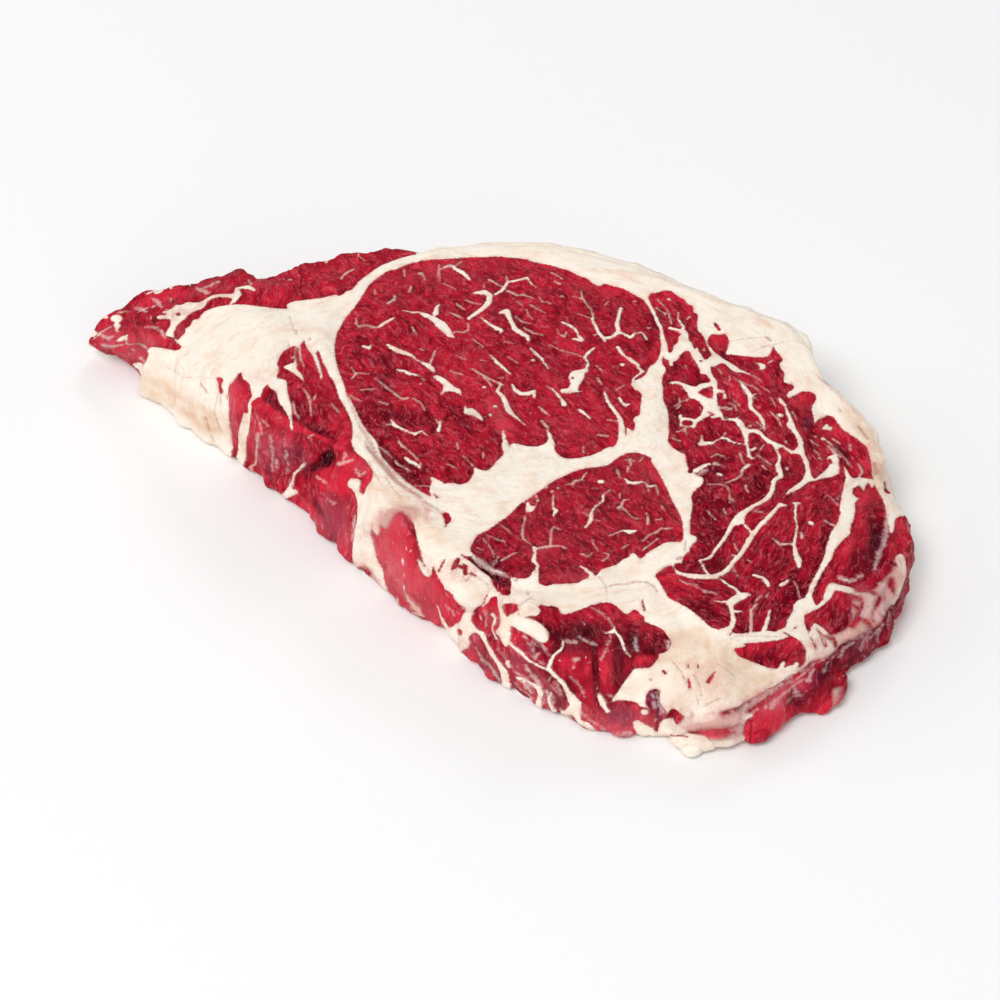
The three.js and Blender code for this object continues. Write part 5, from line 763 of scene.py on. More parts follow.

# Soft oval spots: x, y, half length, half width, angle in degrees and strength.
# Tone of the lean, with painted shade and light: a strength below zero is dark, often painted shade
# in hollows and gaps; above zero bright, often painted light on lit lumps and the lit rim.
TONE_AND_SHADE_SPOTS = [
    5, -53.6, 4, 1.6, -60, -0.9, 0, -48.6, 4, 1, -42, -1.2, 3.4, -46.6, 2.4, 1.6, -40, -0.3,
    79.4, -94, 3, 2.2, 60, -1.1, 95, -75, 9, 2.6, 40, -1.2, 87, -84, 7, 2, 50, -0.9,
    74, -97, 3, 1.6, 60, 1.2, 68, -101, 4, 3, 50, 1, 84, -99, 5, 1.4, 35, 0.9,
    14, -85, 8, 1.2, -48, -1.1, 10, -92, 6, 1, -50, -1, 17.6, -86, 6, 0.8, -50, -1.2,
    2, -83, 7, 0.9, -55, -0.9, 18, -93, 5, 1.2, -50, -1.2, 7, -80, 9, 1.4, -55, -0.5,
    106, -38, 8, 1.6, 76, -0.9, 3, -49.6, 6, 1.6, -42, -1.4, -2, -45.4, 2, 1, -40, -1.4,
    58, -86.6, 2.4, 1, 65, 2, 52.5, -88.6, 2.4, 1, 95, 2, -61.5, 14.5, 4, 1.2, -50, 1.5,
    -57, 9.5, 4, 1.3, -50, 1.8, -52, 5.5, 5, 1.2, -42, 1.6, -45.5, 1.8, 4, 1, -30, 1.2,
    -42.6, -6.4, 3, 1.7, 55, -1.6, -94, 62, 8, 3, 30, 0.8, -44, -26.5, 4, 0.8, -60, -1.4,
    -41, -18, 8, 2.4, -20, 0.7, 14, -88, 4, 1.2, -60, -0.9, 10, -92, 4, 1.4, -50, -0.8,
    2, -78, 7, 1.2, -65, -0.8, 19, -95, 3, 1.2, -60, -0.9, 85, -89, 5, 1.6, 55, -0.9,
    88.6, -94, 4, 2, 50, 1.2, 67, -104, 4, 2.4, 60, 0.8, -58, -12, 6, 1, -70, -0.7,
    -50, -9, 6, 1, 100, -0.6, -55, -3, 7, 0.8, 95, -0.5, -38, -28, 8, 0.8, 100, -0.5,
    -41, -34, 6, 0.8, 105, -0.5, -43.6, -8.4, 5, 2.1, 32, -2.4, -42.6, -5.4, 3.2, 1.3, 80, -1.4,
    -46.6, -10.4, 2.2, 1, 45, -0.9, -52, 16, 6, 2.4, 108, -1, -45, 2.6, 6.5, 1.8, -42, -0.8,
    -59, 18, 2.6, 1.2, 110, -1.4, -28, 12, 12, 5, -62, -0.9, -27, 21, 5, 1.1, -48, -1.2,
    -15.5, 10.5, 5, 1.1, -70, -0.9, 3.2, 2.4, 6, 1.3, -68, -0.8, -18.6, -13.4, 7, 2, -52, -1.2,
    -24.6, -6.4, 6, 1.6, -55, -1, -4.2, -14, 3.4, 2, 30, -0.3, 2.3, -45.8, 2.4, 1.8, 0, -1.1,
    13.6, -39.1, 0.7, 0.6, 0, -2, 4, -52, 6, 1.2, -60, -0.9, 68.6, 34.8, 2, 1.4, -60, -1.5,
    73.5, 31.6, 6, 1.8, -18, -0.7, 64.5, -9.5, 4, 2.6, 80, -1.2, 74.5, -17.4, 5, 3, 80, -1,
    61.5, -24.5, 5, 4.2, 0, -0.9, 54, 9, 9, 2.4, 90, -0.6, 66, 3.4, 5, 2.4, 20, -0.5,
    98.8, -4.2, 4, 1.2, -55, -1.6, 90.5, 0, 8, 1.6, 85, -0.7, 83, -11.6, 2, 1.2, 90, -0.9,
    90, 8, 3.4, 1.6, 80, -0.9, 105, -37, 12, 2, 86, -1.3, 100, -47, 6, 4, 80, -1.1,
    92, -26, 5, 3, 90, -0.6, 82, -56, 7, 3, 70, -0.9, 76, -66, 7, 2, 72, -1.2,
    71, -67, 5, 1.4, 80, -0.5, 60.5, -64, 6, 3.6, -50, -1, 92.5, -66, 5, 2, 90, -1,
    66, -26, 6, 2, 60, -0.6, 25, -71.5, 6.5, 2.6, 10, -2.3, 38.6, -75, 6, 1.7, 88, -2.3,
    44, -77.6, 3.6, 1.6, 15, -1.7, 28.9, -84, 9, 0.8, 92, -2.3, 34.8, -80, 10, 1.7, 86, -2.1,
    36.6, -88, 4, 1.6, 60, -1.2, 19, -76.4, 3.2, 1.4, 70, -0.9, 16.4, -70, 5, 1.6, -45, -1.4,
    20.4, -91.4, 3.4, 1.2, -70, -0.9, 1.2, -80.6, 5.6, 0.8, -62, -1.3,
    13.6, -76.6, 3.6, 2.2, -40, -0.9, 72, -80.6, 7, 2, -10, -1.2, 81, -78, 3, 1.8, 0, -0.7,
    96, -78, 12, 3.4, 52, -1.1, 108, -60, 10, 2, 68, -1, 79, -93.6, 3, 2.4, 60, -1.3,
    88, -84, 5, 1.6, 40, -0.7, 43.2, -92, 1.6, 1.6, 0, -1.6, -44.6, -26.6, 4, 1, -48, -1,
    -40, -34, 8, 3, 100, -0.2, -90, 44, 5, 1, -48, -0.6, -97, 50, 5, 1.2, 20, -0.8,
    62.4, -104.6, 2, 1, 0, -0.3, -52.6, -6, 7, 2.6, 85, -0.4, 53.4, 13, 12, 1.6, 92, -0.5,
    49.6, 45, 8, 1.2, 100, -0.3, -57, 13.8, 7, 1.3, -43, -0.9, -46.5, 5.6, 6, 1.5, -32, -1,
    -58.5, 11.4, 8, 0.8, -43, 1.2, -48, 3.2, 6, 0.8, -30, 1.2, 71.4, 19, 6.5, 1.8, 105, 0.9,
    89.4, 17, 3.4, 3, 0, 1, 98, 4, 7, 3, -40, 0.7, 104, -22, 3, 3.4, 100, 1,
    101.4, -31, 6, 1.8, 100, 1, 95.4, -43, 7, 1.8, 62, 1.2, 89, -55, 4, 1.4, 64, 0.8,
    112, -36, 7, 1.6, 85, 1, 83, -5.4, 3, 2.6, 90, 0.7, 85.4, -49, 5, 1.8, 70, 0.8,
    52, -54, 6, 2.6, -25, 0.7, 68, -36, 3.4, 2, 60, 0.6, 70, -47, 5, 2.6, 50, 0.4,
    58, 60, 5, 2.4, -40, 0.5, 67.6, 41.6, 2.4, 2.2, 90, 0.5, 76, 34.2, 8, 0.8, 0, 0.5,
    22.4, -81, 5.4, 3.4, 75, 1.1, 30.6, -85.4, 4.8, 1.4, 88, 1.1, 25.8, -85, 3, 1.3, 70, 1.2,
    31.8, -76, 4, 1, 70, 0.7, 41.2, -80.6, 3.6, 1.6, 10, 1, 39.6, -65, 2.2, 1.8, 0, 1.5,
    24, -88, 9, 1.6, -62, 0.5, 44.4, -71.4, 3, 2, -30, 0.3, 5, -64, 5, 1.8, 90, 1,
    1, -62, 3, 1.2, 60, 1.3, 77, -74.6, 7, 1.4, 8, 0.8, 72, -101, 6, 3.6, 50, 1.3,
    86.6, -96, 6, 2.4, 45, 1.3, 91, -87, 2, 1.4, 60, 0.8, -41, -14, 8, 4, -35, 1,
    -34, -10, 5, 3.4, -70, 1, -31.4, -15.4, 3.4, 1.2, 75, 1.6, -39.4, 1, 6, 2, 95, 0.9,
    -47.6, -27.6, 4.6, 2.2, -60, 1.2, -69, 20, 6, 1.6, 100, 0.5, -73.6, 23, 3, 1, 100, 0.8,
    -60, 4, 6, 3, 120, 0.6, -66.8, -3, 4, 0.8, 95, 0.8, -22, -44, 17, 5, 102, 1.3,
    -8, -62, 7, 3, -70, 0.6, -98, 43.6, 7, 1.6, -15, 0.6, -96, 60, 8, 2.2, 35, 0.6,
    -86, 63, 7, 1.6, 10, 0.4, -12, -68, 3, 1.6, -60, 1, 3.4, 76, 16, 1, 0, 0.15,
    -40, 50, 10, 1.2, 75, 0.2, 36, 60, 10, 2, -45, 0.15, 12, -86, 5, 2.6, -50, 0.2,
    -33, 66, 10, 3, 50, 0.5, -12, 77, 14, 3, 8, 0.6, 15, 76, 14, 3, -10, 0.8,
    33, 68, 10, 4, -28, 0.9, 47, 62, 8, 4, -10, 0.8, 58, 60, 6, 3, -50, 0.6, 62, 50, 8, 4, -60, 0.4,
    70, 42, 6, 3, 0, 0.5, 83, 36, 3, 3, 0, 1.3, 88, 22, 6, 3, -60, 0.5, 50, 40, 3, 2, 0, 1,
    72, 28, 6, 2, -30, 0.6, 53, 18, 6, 1.6, 0, 0.4, 104, -10, 8, 3, 90, 0.7,
    95, -34, 7, 1.3, 72, 0.9, 112, -30, 4, 3, 0, 0.6, -50, 36, 6, 4, 110, 1,
    -47, 28, 6, 3, -60, 0.8, -68, 15, 12, 3, 100, 0.7, -69, -3, 4, 2, 110, 0.8,
    -53, 2, 4, 2, 80, 0.8, -57, -16, 8, 3, -50, 0.6, -40, -7, 3, 2, 0, 1, -40, -26, 8, 5, 80, 0.5,
    -35, -40, 6, 4, 100, 0.7, -22, -31, 4, 3, 0, 1, -12, -55, 8, 4, -60, 1, -8, -65, 7, 3, -50, 0.7,
    4, -60, 6, 4, 0, 0.6, 7, -71, 4, 2, 0, 1, -1, -80, 6, 3, -60, 0.8, 30, -103, 8, 2.5, -10, 0.6,
    56, -104, 6, 3, 0, 1.2, 79, -91, 7, 3, 40, 0.8, 91, -76, 5, 2.5, 60, 0.8, 66, -78, 3, 4, 0, 0.4,
    82, -76, 3, 3, 0, 0.6, 107, -54, 3, 2, 40, 1.2, 84, -66, 5, 2, 60, 0.5, 91, -58, 4, 3, 0, 0.5,
    47, -52, 5, 3, -60, 0.6, 48, -12, 10, 3, -65, 0.6, 54, -30, 8, 3, -85, 0.6,
    12, -22, 6, 3, 45, 0.4, 4, 10, 10, 3, -68, 1.1, -20, 20, 12, 3, 20, 0.5, -13, 46, 4, 3, 0, 0.4,
    -2, 49, 3, 2, 0, 0.5, -13, 12, 4, 2, 100, 0.5, 45, 14, 8, 2.5, 95, 0.8, 37, 1, 5, 2, 30, 0.8,
    -15, -19, 4, 2, 0, 0.7, 42, 30, 4, 3, 0, 0.4, -38, 22, 8, 3, -75, 0.4, -103, 38, 8, 5, -40, 1,
    -108, 46, 4, 6, 0, 0.8, -34, 8, 9, 3, -65, -1, -29, -4, 8, 3, -55, -0.8, -5, 8, 10, 2, -60, -1,
    16, 40, 13, 2.4, -62, -0.9, 10, 50, 3, 3, 0, -0.6, -34, 50, 4, 4, 0, -0.5,
    -25, 46, 5, 3, 0, -0.4, -28, 34, 5, 3, 0, -0.4, 20, -5, 5, 3, 0, -0.6, -18, 11, 4, 4, 0, -0.4,
    32, 55, 8, 2, -70, -0.4, 12, 26, 4, 6, 0, -0.35, 35, 25, 4, 5, 0, -0.35,
    -20, 62, 8, 6, 0, -0.25, 5, 60, 5, 5, 0, -0.25, -20, -8, 5, 5, 0, -0.4,
    27, -30, 22, 16, 0, -0.5, 5, -45, 8, 6, -40, -0.6, 20, -47, 8, 5, 0, -0.4, 61, -34, 5, 7, 0, -1,
    59, -47, 6, 4, 0, -0.9, 75, -42, 6, 6, 0, -0.6, 86, -54, 13, 2.4, 68, -1.2,
    88, -46, 4, 3, 0, -0.6, 68, -71, 5, 2, 0, -1, 56, -64, 8, 4, -40, -0.7,
    91, -37, 5, 2.4, 70, -0.7, 60, -14, 7, 5, 90, -0.8, 57, 24, 5, 4, 0, -0.6,
    52, 12, 3, 6, 0, -0.5, 78, -12, 8, 5, 0, -0.5, 88, -22, 14, 2, 0, -0.5,
    104, -37, 8, 5, 90, -0.5, 105, -70, 8, 4, 60, -0.5, 88, 8, 3, 5, 0, -0.4, 52, 50, 5, 4, 0, -0.5,
    66, -50, 12, 10, 0, -0.3, 70, 10, 10, 10, 0, -0.2, 26, -76, 8, 3, 10, -1.3,
    43, -74, 6, 3.5, 0, -1.3, 44, -83, 5, 3, 30, -0.9, 25, -87, 6, 3, 90, -0.8,
    32, -95, 5, 4, 0, -0.6, 22, -68, 8, 2, 0, -0.5, 30, -70, 10, 3, 0, -0.4,
    -47, -15, 7, 5, -40, -0.7, -48, -5, 5, 2, 90, -0.4, -57, 12, 5, 2, 90, -0.4,
    86, -93, 8, 3, 45, -0.4, 74, -104, 6, 2.5, 20, -0.5, -43, 30, 8, 1.4, 108, 0.3,
    -39, 8, 8, 1.4, 108, 0.5, 97, -57, 3, 1.4, -20, 0.2, 104.5, -50, 4, 2, 60, 0.4,
]

# Bluish skin over the lean.
BLUSH = [
    90.6, 8.6, 3.6, 1.1, 78, 1, 43.6, -95, 5, 2.4, 105, 1.3, 47.4, -76, 1.4, 1, 60, 0.8,
    39.4, -75, 2.6, 1, 90, 0.9, 106.4, -39, 8, 1.1, 76, 0.9, 95.6, -65, 4, 1, 92, 0.7,
    68.4, 35.4, 1.4, 1, 0, 0.6, -51, -5, 8, 5, 95, 0.25, 8, -82, 10, 4, -52, 0.35,
    -40, -30, 11, 4, 100, 0.7, -57, -4, 12, 8, -50, 0.45, 86, -87.6, 6, 2, 55, 0.3,
    97, -75, 8, 3, 52, 0.2, -46.5, 12, 3, 2, 100, 0.3, 36, -99.6, 3.4, 3.4, 0, 0.7,
    13, -77, 4, 2, -45, 0.7, 2.6, -83, 8, 2, -62, 0.4, 68, -95.4, 4, 1.2, 30, 0.6,
    79, -92, 3, 3, 0, 0.5, 75, -90.6, 4, 1, 35, 0.4, 83, -87, 6, 2.4, 60, 0.4,
    96, -76, 12, 3, 52, 0.35, 47.6, -49.4, 2, 1, 55, 0.7, 12.4, -84.6, 7, 4, -45, 0.3,
    16, -92, 4, 3, -60, 0.35, 101, -58, 4, 2.4, 30, 0.6, 62.4, -101, 3.4, 2.6, 60, 0.5,
    20, -53.4, 6, 0.8, 0, 0.5, -21, -15.6, 4, 1.2, -50, 0.4, 63, -11, 3, 1.4, 40, 0.4,
    -4, -73, 1.4, 3, 10, 0.3, 33, -98, 3, 3, 40, 0.5,
]

# Wet, smooth lean.
WET = [
    -56, 0, 17, 12, -35, 0.35, -40, -30, 12, 8, 100, 0.35, 29, -80, 17, 16, 0, 1,
    -20, -50, 20, 7, 105, 1, -38, -14, 9, 9, 0, 1, -48, -28, 8, 4, -55, 1, 88, -92, 14, 7, 45, 0.8,
    72, -101, 8, 5, 40, 0.8, 102, -38, 18, 6, 80, 0.6, 90, 16, 5, 4, 0, 1, 98, 4, 7, 3, -40, 0.6,
    67, 41, 4, 3, 90, 0.8, 104, -20, 4, 4, 0, 0.8, 2, -66, 9, 6, -50, 0.8,
]

# Pinkish lean.
PALE = [
    28, -32, 22, 16, -10, 0.2, 45, -18, 6, 8, 60, 0.2, 24, -98, 12, 4, -30, 0.45,
    -98, 40, 6, 4, 0, 0.7, 40, -102, 8, 4, 0, 0.7, -3, -72, 5, 4, -60, 0.6,
    -35, -38, 8, 5, -50, 0.5, -70, 10, 16, 3, 90, 0.5, 56, -104, 6, 3, 0, 0.8,
    -72, 22, 6, 3, 90, 0.5, -26, -45, 15, 3, 105, 0.7, -21.4, -46, 16, 5, 103, 0.6,
    -13, -58, 9, 4, -60, 0.6, -57, -3, 12, 7, -50, 0.6, -40, -32, 9, 5, 100, 0.4,
    3, -66, 6, 3, -60, 0.6, 10, -82, 8, 4, -50, 0.6, 14, -92, 6, 5, 0, 0.5, 35, -99, 6, 4, 0, 0.6,
    99, -58, 4, 4, 60, 0.8, 84, -80, 8, 3, 30, 0.4, 98, -74, 6, 4, 60, 0.4, 3.4, 60, 8, 6, 0, 0.2,
    -98, 46, 6, 4, 0, 0.3, 48, -12, 4, 8, 80, 0.3, 14, -42, 8, 6, 0, 0.2, 4, 10, 10, 3, -68, 0.5,
    25, 4, 14, 7, 0, 0.25, -15, 70, 12, 6, 0, 0.3, -108, 43, 5, 5, 0, 0.7, -100, 34, 6, 4, 0, 0.8,
    -88, 45, 5, 3, 90, 0.5, -22, -31, 5, 4, 0, 0.6, -40, -27, 6, 6, 80, 0.4,
    -14, -66, 6, 3, -40, 0.7, -1, -79, 7, 4, -60, 0.5, 8, -91, 8, 4, -50, 0.5,
    30, -104, 12, 3, -10, 0.5, 75, -93, 9, 4, 40, 0.8, 40, -5, 6, 4, 0, 0.4, 24, -52, 12, 3, 0, 0.4,
    53, -28, 6, 3, 90, 0.3, -70, 12, 10, 2, 95, 0.5, -33, -10, 4, 4, 0, 0.5,
    107, -12, 5, 2, 90, 0.4,
]

# Fat stained pink.
STAIN = [
    59, -103, 7, 2.6, 8, 1.3, 61, -98.6, 4, 2, 20, 0.7, 70, -93, 10, 2, 38, 0.9,
    84, -82, 6, 2, 40, 0.9, 97, -72.6, 8, 2, 38, 0.9, -90, 53, 8, 5, 30, 0.7,
    -78, 60, 8, 3, 20, 0.6, -22.6, -28, 3, 5, 90, 1.4, -23.6, -31, 3, 4, 90, 1.2,
    -29.6, -50, 6, 1.4, -52, 1, 58, -104, 7, 2.6, 0, 1.6, 90, -92.6, 3, 4, 70, 1.2,
    52, -101, 4, 3, 0, 0.6, -14, -50, 3, 4, 0, 0.4, 100, -62, 11, 7, 55, 1.6,
    106, -50, 9, 5, 80, 1.4, 89, -74, 9, 4, 35, 0.8, 57, -88, 10, 8, 0, 0.4,
    -27, -35, 5, 5, 80, 0.9, -31, -50, 9, 3, -52, 0.8, -15, -45, 7, 3, 100, 0.3,
    -4, -49, 6, 6, 0, 0.7, -16, -28, 8, 3, -50, 0.6, 66, -98, 8, 4, 0, 0.7, -67, 10, 8, 3, 95, 0.6,
    -62, 24, 6, 3, 95, 0.4, -24, -12, 14, 3, -55, 0.8, 102, 18, 12, 3, -52, 0.5,
    108, -8, 12, 3, -75, 0.6, 46, -98, 8, 4, 0, 0.6, 90, -92, 4, 5, 70, 1, 10, -62, 8, 4, -20, 0.6,
    -2, -78, 9, 4, -50, 0.6, 70, 50, 10, 5, 0, 0.3, -78, 30, 10, 6, -40, 0.25,
    -90, 30, 8, 4, -40, 0.3,
]

# Fat shaded brown.
# Fat browner in patches, partly painted shade where it rounds off at its edges.
BEIGE = [
    -92, 22, 9, 5, -50, 0.8, -80, 13, 10, 4, -45, 0.9, -68, 3, 8, 3, -60, 0.7,
    58, -76, 9, 5, -40, 0.5, 58, -86, 14, 9, -20, 0.8, 66, -79, 8, 4, -10, 0.5,
    72, -88, 8, 3, 35, 0.6, -24, -22, 8, 4, -60, 0.9, -18, -30, 6, 3, -50, 0.7,
    -10, -38, 6, 5, 0, 0.5, -29, -30, 10, 2, 95, 0.3, 104, 6, 10, 3, -65, 0.9,
    107, -14, 12, 2.4, -85, 1, 90, -72, 6, 3, 30, 0.4, 30, -58, 14, 3, 0, 0.4,
    47, -76, 6, 8, -60, 0.6, 4, -66, 6, 4, -30, 0.4, -77, 8, 8, 3, -55, 0.6,
    88, 26, 10, 3, -60, 0.4, 78, 40, 8, 3, -30, 0.3, 38, -90, 5, 4, 40, 0.5, 49, -95, 4, 4, 0, 0.5,
    56, -108, 6, 2, 0, 0.5, -30, -46, 8, 2, -60, 0.5,
]

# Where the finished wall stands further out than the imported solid, or less far. These spots
# are in the part's own x and y, and their strength is in mm.
SWELLS = [
    -52, 75, 14, 7, -8, 1.8, 30, 82, 36, 9, -17, 1.1, -35, 81, 8, 5, 0, 0.9,
    94.5, 32, 7, 5, 75, -1.6, 91, 44, 4, 4, 0, 0.8, 115, 2, 8, 5, 80, -1.7,
    -114.5, 69, 4, 5, 0, 1.2, -101, 76, 5, 4, 0, 1, -105, 57, 8, 4, -50, -1.9,
    -84, 35, 9, 4, -48, 0.8, -62, 14, 5, 4, -50, 1, -51.5, 1, 5, 5, -50, -2,
    -34, -19, 6, 4, -35, 1.3, -20.5, -35, 4, 4, -50, 1.1, -16, -41, 3, 3, 0, -1.3,
    96.5, -66, 8, 6, 75, -2, 81, -76, 4, 4, 0, -1.1, 113, -42, 10, 6, 65, -1,
    65, -84.5, 7, 4, 0, 0.9, 35, -80, 7, 4, -20, 0.7,
]

# Fine lines as they were read in the picture: the width in mm, then the pixel column and
# row of each point in turn.
FINE_FAT_PIXELS = [
    [0.4, 482, 537, 487, 543, 492, 550, 493, 556], [0.4, 477, 547, 483, 550],
    [0.4, 487, 534, 497, 539, 505, 541], [0.4, 500, 524, 508, 530, 512, 533],
    [0.35, 501, 559, 510, 554, 516, 552], [0.45, 566, 484, 573, 483, 575, 480, 583, 480],
    [0.4, 583, 477, 586, 472], [0.4, 603, 500, 603, 494, 610, 489], [0.4, 583, 512, 589, 515],
    [0.4, 590, 519, 599, 520], [0.45, 621, 507, 623, 500, 628, 499],
    [0.45, 617, 508, 624, 509, 628, 513, 632, 517, 640, 518], [0.4, 619, 498, 619, 493],
    [0.4, 616, 470, 620, 478], [0.4, 646, 483, 648, 490], [0.45, 650, 485, 656, 486, 658, 494],
    [0.5, 646, 512, 648, 518, 648, 524], [0.35, 655, 519, 662, 518], [0.35, 661, 505, 664, 510],
    [0.4, 608, 535, 616, 532, 622, 530], [0.4, 660, 528, 672, 527],
    [0.45, 642, 550, 648, 545, 658, 538], [0.4, 592, 539, 594, 545, 598, 550],
    [0.35, 580, 553, 588, 556, 591, 552], [0.35, 603, 552, 608, 553, 607, 557, 602, 560],
    [0.45, 439, 280, 439, 268, 449, 266, 453, 265], [0.45, 404, 270, 404, 276],
    [0.5, 418, 273, 423, 275, 425, 279], [0.45, 411, 286, 409, 292],
    [0.45, 355, 317, 357, 325, 365, 325, 372, 327, 380, 326], [0.4, 374, 289, 375, 294],
    [0.5, 411, 327, 416, 333], [0.45, 395, 296, 394, 300], [0.45, 464, 300, 470, 302, 480, 304],
    [0.4, 456, 303, 464, 309], [0.4, 434, 351, 430, 362], [0.4, 527, 278, 531, 284, 536, 287],
    [0.4, 506, 289, 516, 293], [0.4, 522, 293, 532, 297], [0.35, 526, 308, 528, 314, 532, 318],
    [0.45, 524, 327, 534, 332, 542, 334], [0.4, 419, 348, 424, 350], [0.4, 504, 340, 513, 343],
]
# Painted highlights: fine white glints, given the same way.
FINE_GLINT_PIXELS = [
    [0.4, 489, 278, 502, 286], [0.5, 450, 313, 457, 316], [0.4, 482, 318, 488, 322],
    [0.4, 516, 314, 530, 323], [0.3, 518, 300, 523, 305], [0.4, 530, 303, 535, 306],
    [0.3, 538, 308, 547, 313], [0.3, 540, 297, 544, 302], [0.4, 472, 338, 484, 346],
    [0.4, 508, 356, 520, 364], [0.3, 460, 356, 466, 360], [0.3, 549, 272, 556, 276],
    [0.3, 448, 371, 464, 376],
]


# ---- From the drawing to smooth fields on a fine grid --------------------------------------------

GRID_STEP = 0.25
GRID_LOW = np.array([-124.0, -120.0])
GRID_HIGH = np.array([124.0, 96.0])
REACH = 4.0  # distances are worked out this far from a line, in mm


def grid_axes():
    return [np.arange(GRID_LOW[i], GRID_HIGH[i], GRID_STEP) for i in range(2)]


def even_field(value):
    """The whole grid at one value."""
    axis_x, axis_y = grid_axes()
    return np.full((len(axis_y), len(axis_x)), float(value))


def window(low, high):
    """The slices of the grid that cover a box of the drawing."""
    first = np.maximum(((low - GRID_LOW) / GRID_STEP).astype(int), 0)
    last = np.maximum(((high - GRID_LOW) / GRID_STEP).astype(int) + 2, 0)
    return slice(first[1], last[1]), slice(first[0], last[0])


def draw_line(field, start, end, start_radius, end_radius):
    """Keep in the field the distance to a tapered line wherever that is the smaller one."""
    margin = REACH + max(start_radius, end_radius)
    rows, columns = window(np.minimum(start, end) - margin, np.maximum(start, end) + margin)
    axis_x, axis_y = grid_axes()
    x = axis_x[columns][None, :] - start[0]
    y = axis_y[rows][:, None] - start[1]
    run = end - start
    along = np.clip((x * run[0] + y * run[1]) / max(run @ run, 1e-9), 0, 1)
    distance = np.hypot(x - along * run[0], y - along * run[1])
    distance -= start_radius + (end_radius - start_radius) * along
    np.minimum(field[rows, columns], distance, out=field[rows, columns])


def draw_streaks(streaks, least=0.0):
    """Distance to the edge of the nearest streak, below zero inside one."""
    field = even_field(REACH)
    for streak in streaks:
        points = np.array(streak, float).reshape(-1, 3)
        points[:, 2] = np.maximum(points[:, 2], least)
        for start, end in zip(points[:-1], points[1:]):
            draw_line(field, start[:2], end[:2], start[2] / 2, end[2] / 2)
    return field


def rounded(outline, pieces=3):
    """The closed outline as a smooth curve through its points."""
    points = np.array(outline, float).reshape(-1, 2)
    before, after, second = (np.roll(points, shift, 0) for shift in (1, -1, -2))
    curve = []
    for step in range(pieces):
        t = step / pieces
        curve.append(0.5 * (2 * points + (after - before) * t
                            + (2 * before - 5 * points + 4 * after - second) * t ** 2
                            + (3 * points - before - 3 * after + second) * t ** 3))
    return np.stack(curve, 1).reshape(-1, 2)


def draw_outline(field, outline):
    """Keep in the field the signed distance to a closed outline, below zero inside it."""
    points = rounded(outline)
    rows, columns = window(points.min(0) - REACH, points.max(0) + REACH)
    axis_x, axis_y = grid_axes()
    x = axis_x[columns][None, :]
    y = axis_y[rows][:, None]
    inside = np.zeros((y.size, x.size), bool)
    own = np.full(field.shape, REACH)
    for start, end in zip(points, np.roll(points, -1, 0)):
        draw_line(own, start, end, 0, 0)
        if start[1] != end[1]:
            crossing = start[0] + (y - start[1]) * (end[0] - start[0]) / (end[1] - start[1])
            inside ^= ((start[1] > y) != (end[1] > y)) & (x < crossing)
    own = own[rows, columns]
    own[inside] *= -1
    np.minimum(field[rows, columns], own, out=field[rows, columns])


def draw_outlines(outlines):
    field = even_field(REACH)
    for outline in outlines:
        draw_outline(field, outline)
    return field


SPOT_REACH = 2.2     # a spot has faded away at this many of its half lengths
SPOT_FALLOFF = 1.3   # above 1, a spot is flatter in its middle


def draw_spots(spots):
    """The sum of soft oval spots."""
    axis_x, axis_y = grid_axes()
    field = even_field(0)
    for x, y, length, width, angle, strength in np.array(spots, float).reshape(-1, 6):
        turn = math.radians(angle)
        margin = SPOT_REACH * max(length, width)
        rows, columns = window(np.array([x, y]) - margin, np.array([x, y]) + margin)
        dx = axis_x[columns][None, :] - x
        dy = axis_y[rows][:, None] - y
        u = (dx * math.cos(turn) + dy * math.sin(turn)) / length
        v = (dy * math.cos(turn) - dx * math.sin(turn)) / width
        field[rows, columns] += strength * np.exp(-(u * u + v * v) ** SPOT_FALLOFF)
    return field


PICTURE_SIZE = 1000  # pixels
LENS = 100
SENSOR = 36
DRAWING_DIGITS = 1   # the drawing is made to a tenth of a millimetre


def on_drawing(column, row):
    """The place on the drawing, in mm, that a pixel of the picture shows."""
    forward = DRAWING_TARGET - DRAWING_EYE
    forward = forward / np.linalg.norm(forward)
    right = np.array([1.0, 0.0, 0.0])
    up = np.cross(right, forward)
    focal = PICTURE_SIZE * LENS / SENSOR
    across = (column + 0.5 - PICTURE_SIZE / 2) / focal
    down = (row + 0.5 - PICTURE_SIZE / 2) / focal
    ray = forward + across * right - down * up
    place = DRAWING_EYE + ray * (DRAWING_PLANE - DRAWING_EYE[2]) / ray[2]
    return [round(float(value), DRAWING_DIGITS) for value in place[:2]]


def from_picture(lines):
    """Streaks of the drawing from lines given in pixels."""
    streaks = []
    for width, *pixels in lines:
        streak = []
        for column, row in zip(pixels[::2], pixels[1::2]):
            streak += on_drawing(column, row) + [width]
        streaks.append(streak)
    return streaks


THIN = 0.9           # streaks of fat no wider than this are see-through
LEAST_THICK = 0.4    # the least widths of streaks, so that the grid holds them
LEAST_FINE = 0.45
LEAST_GLINT = 0.5


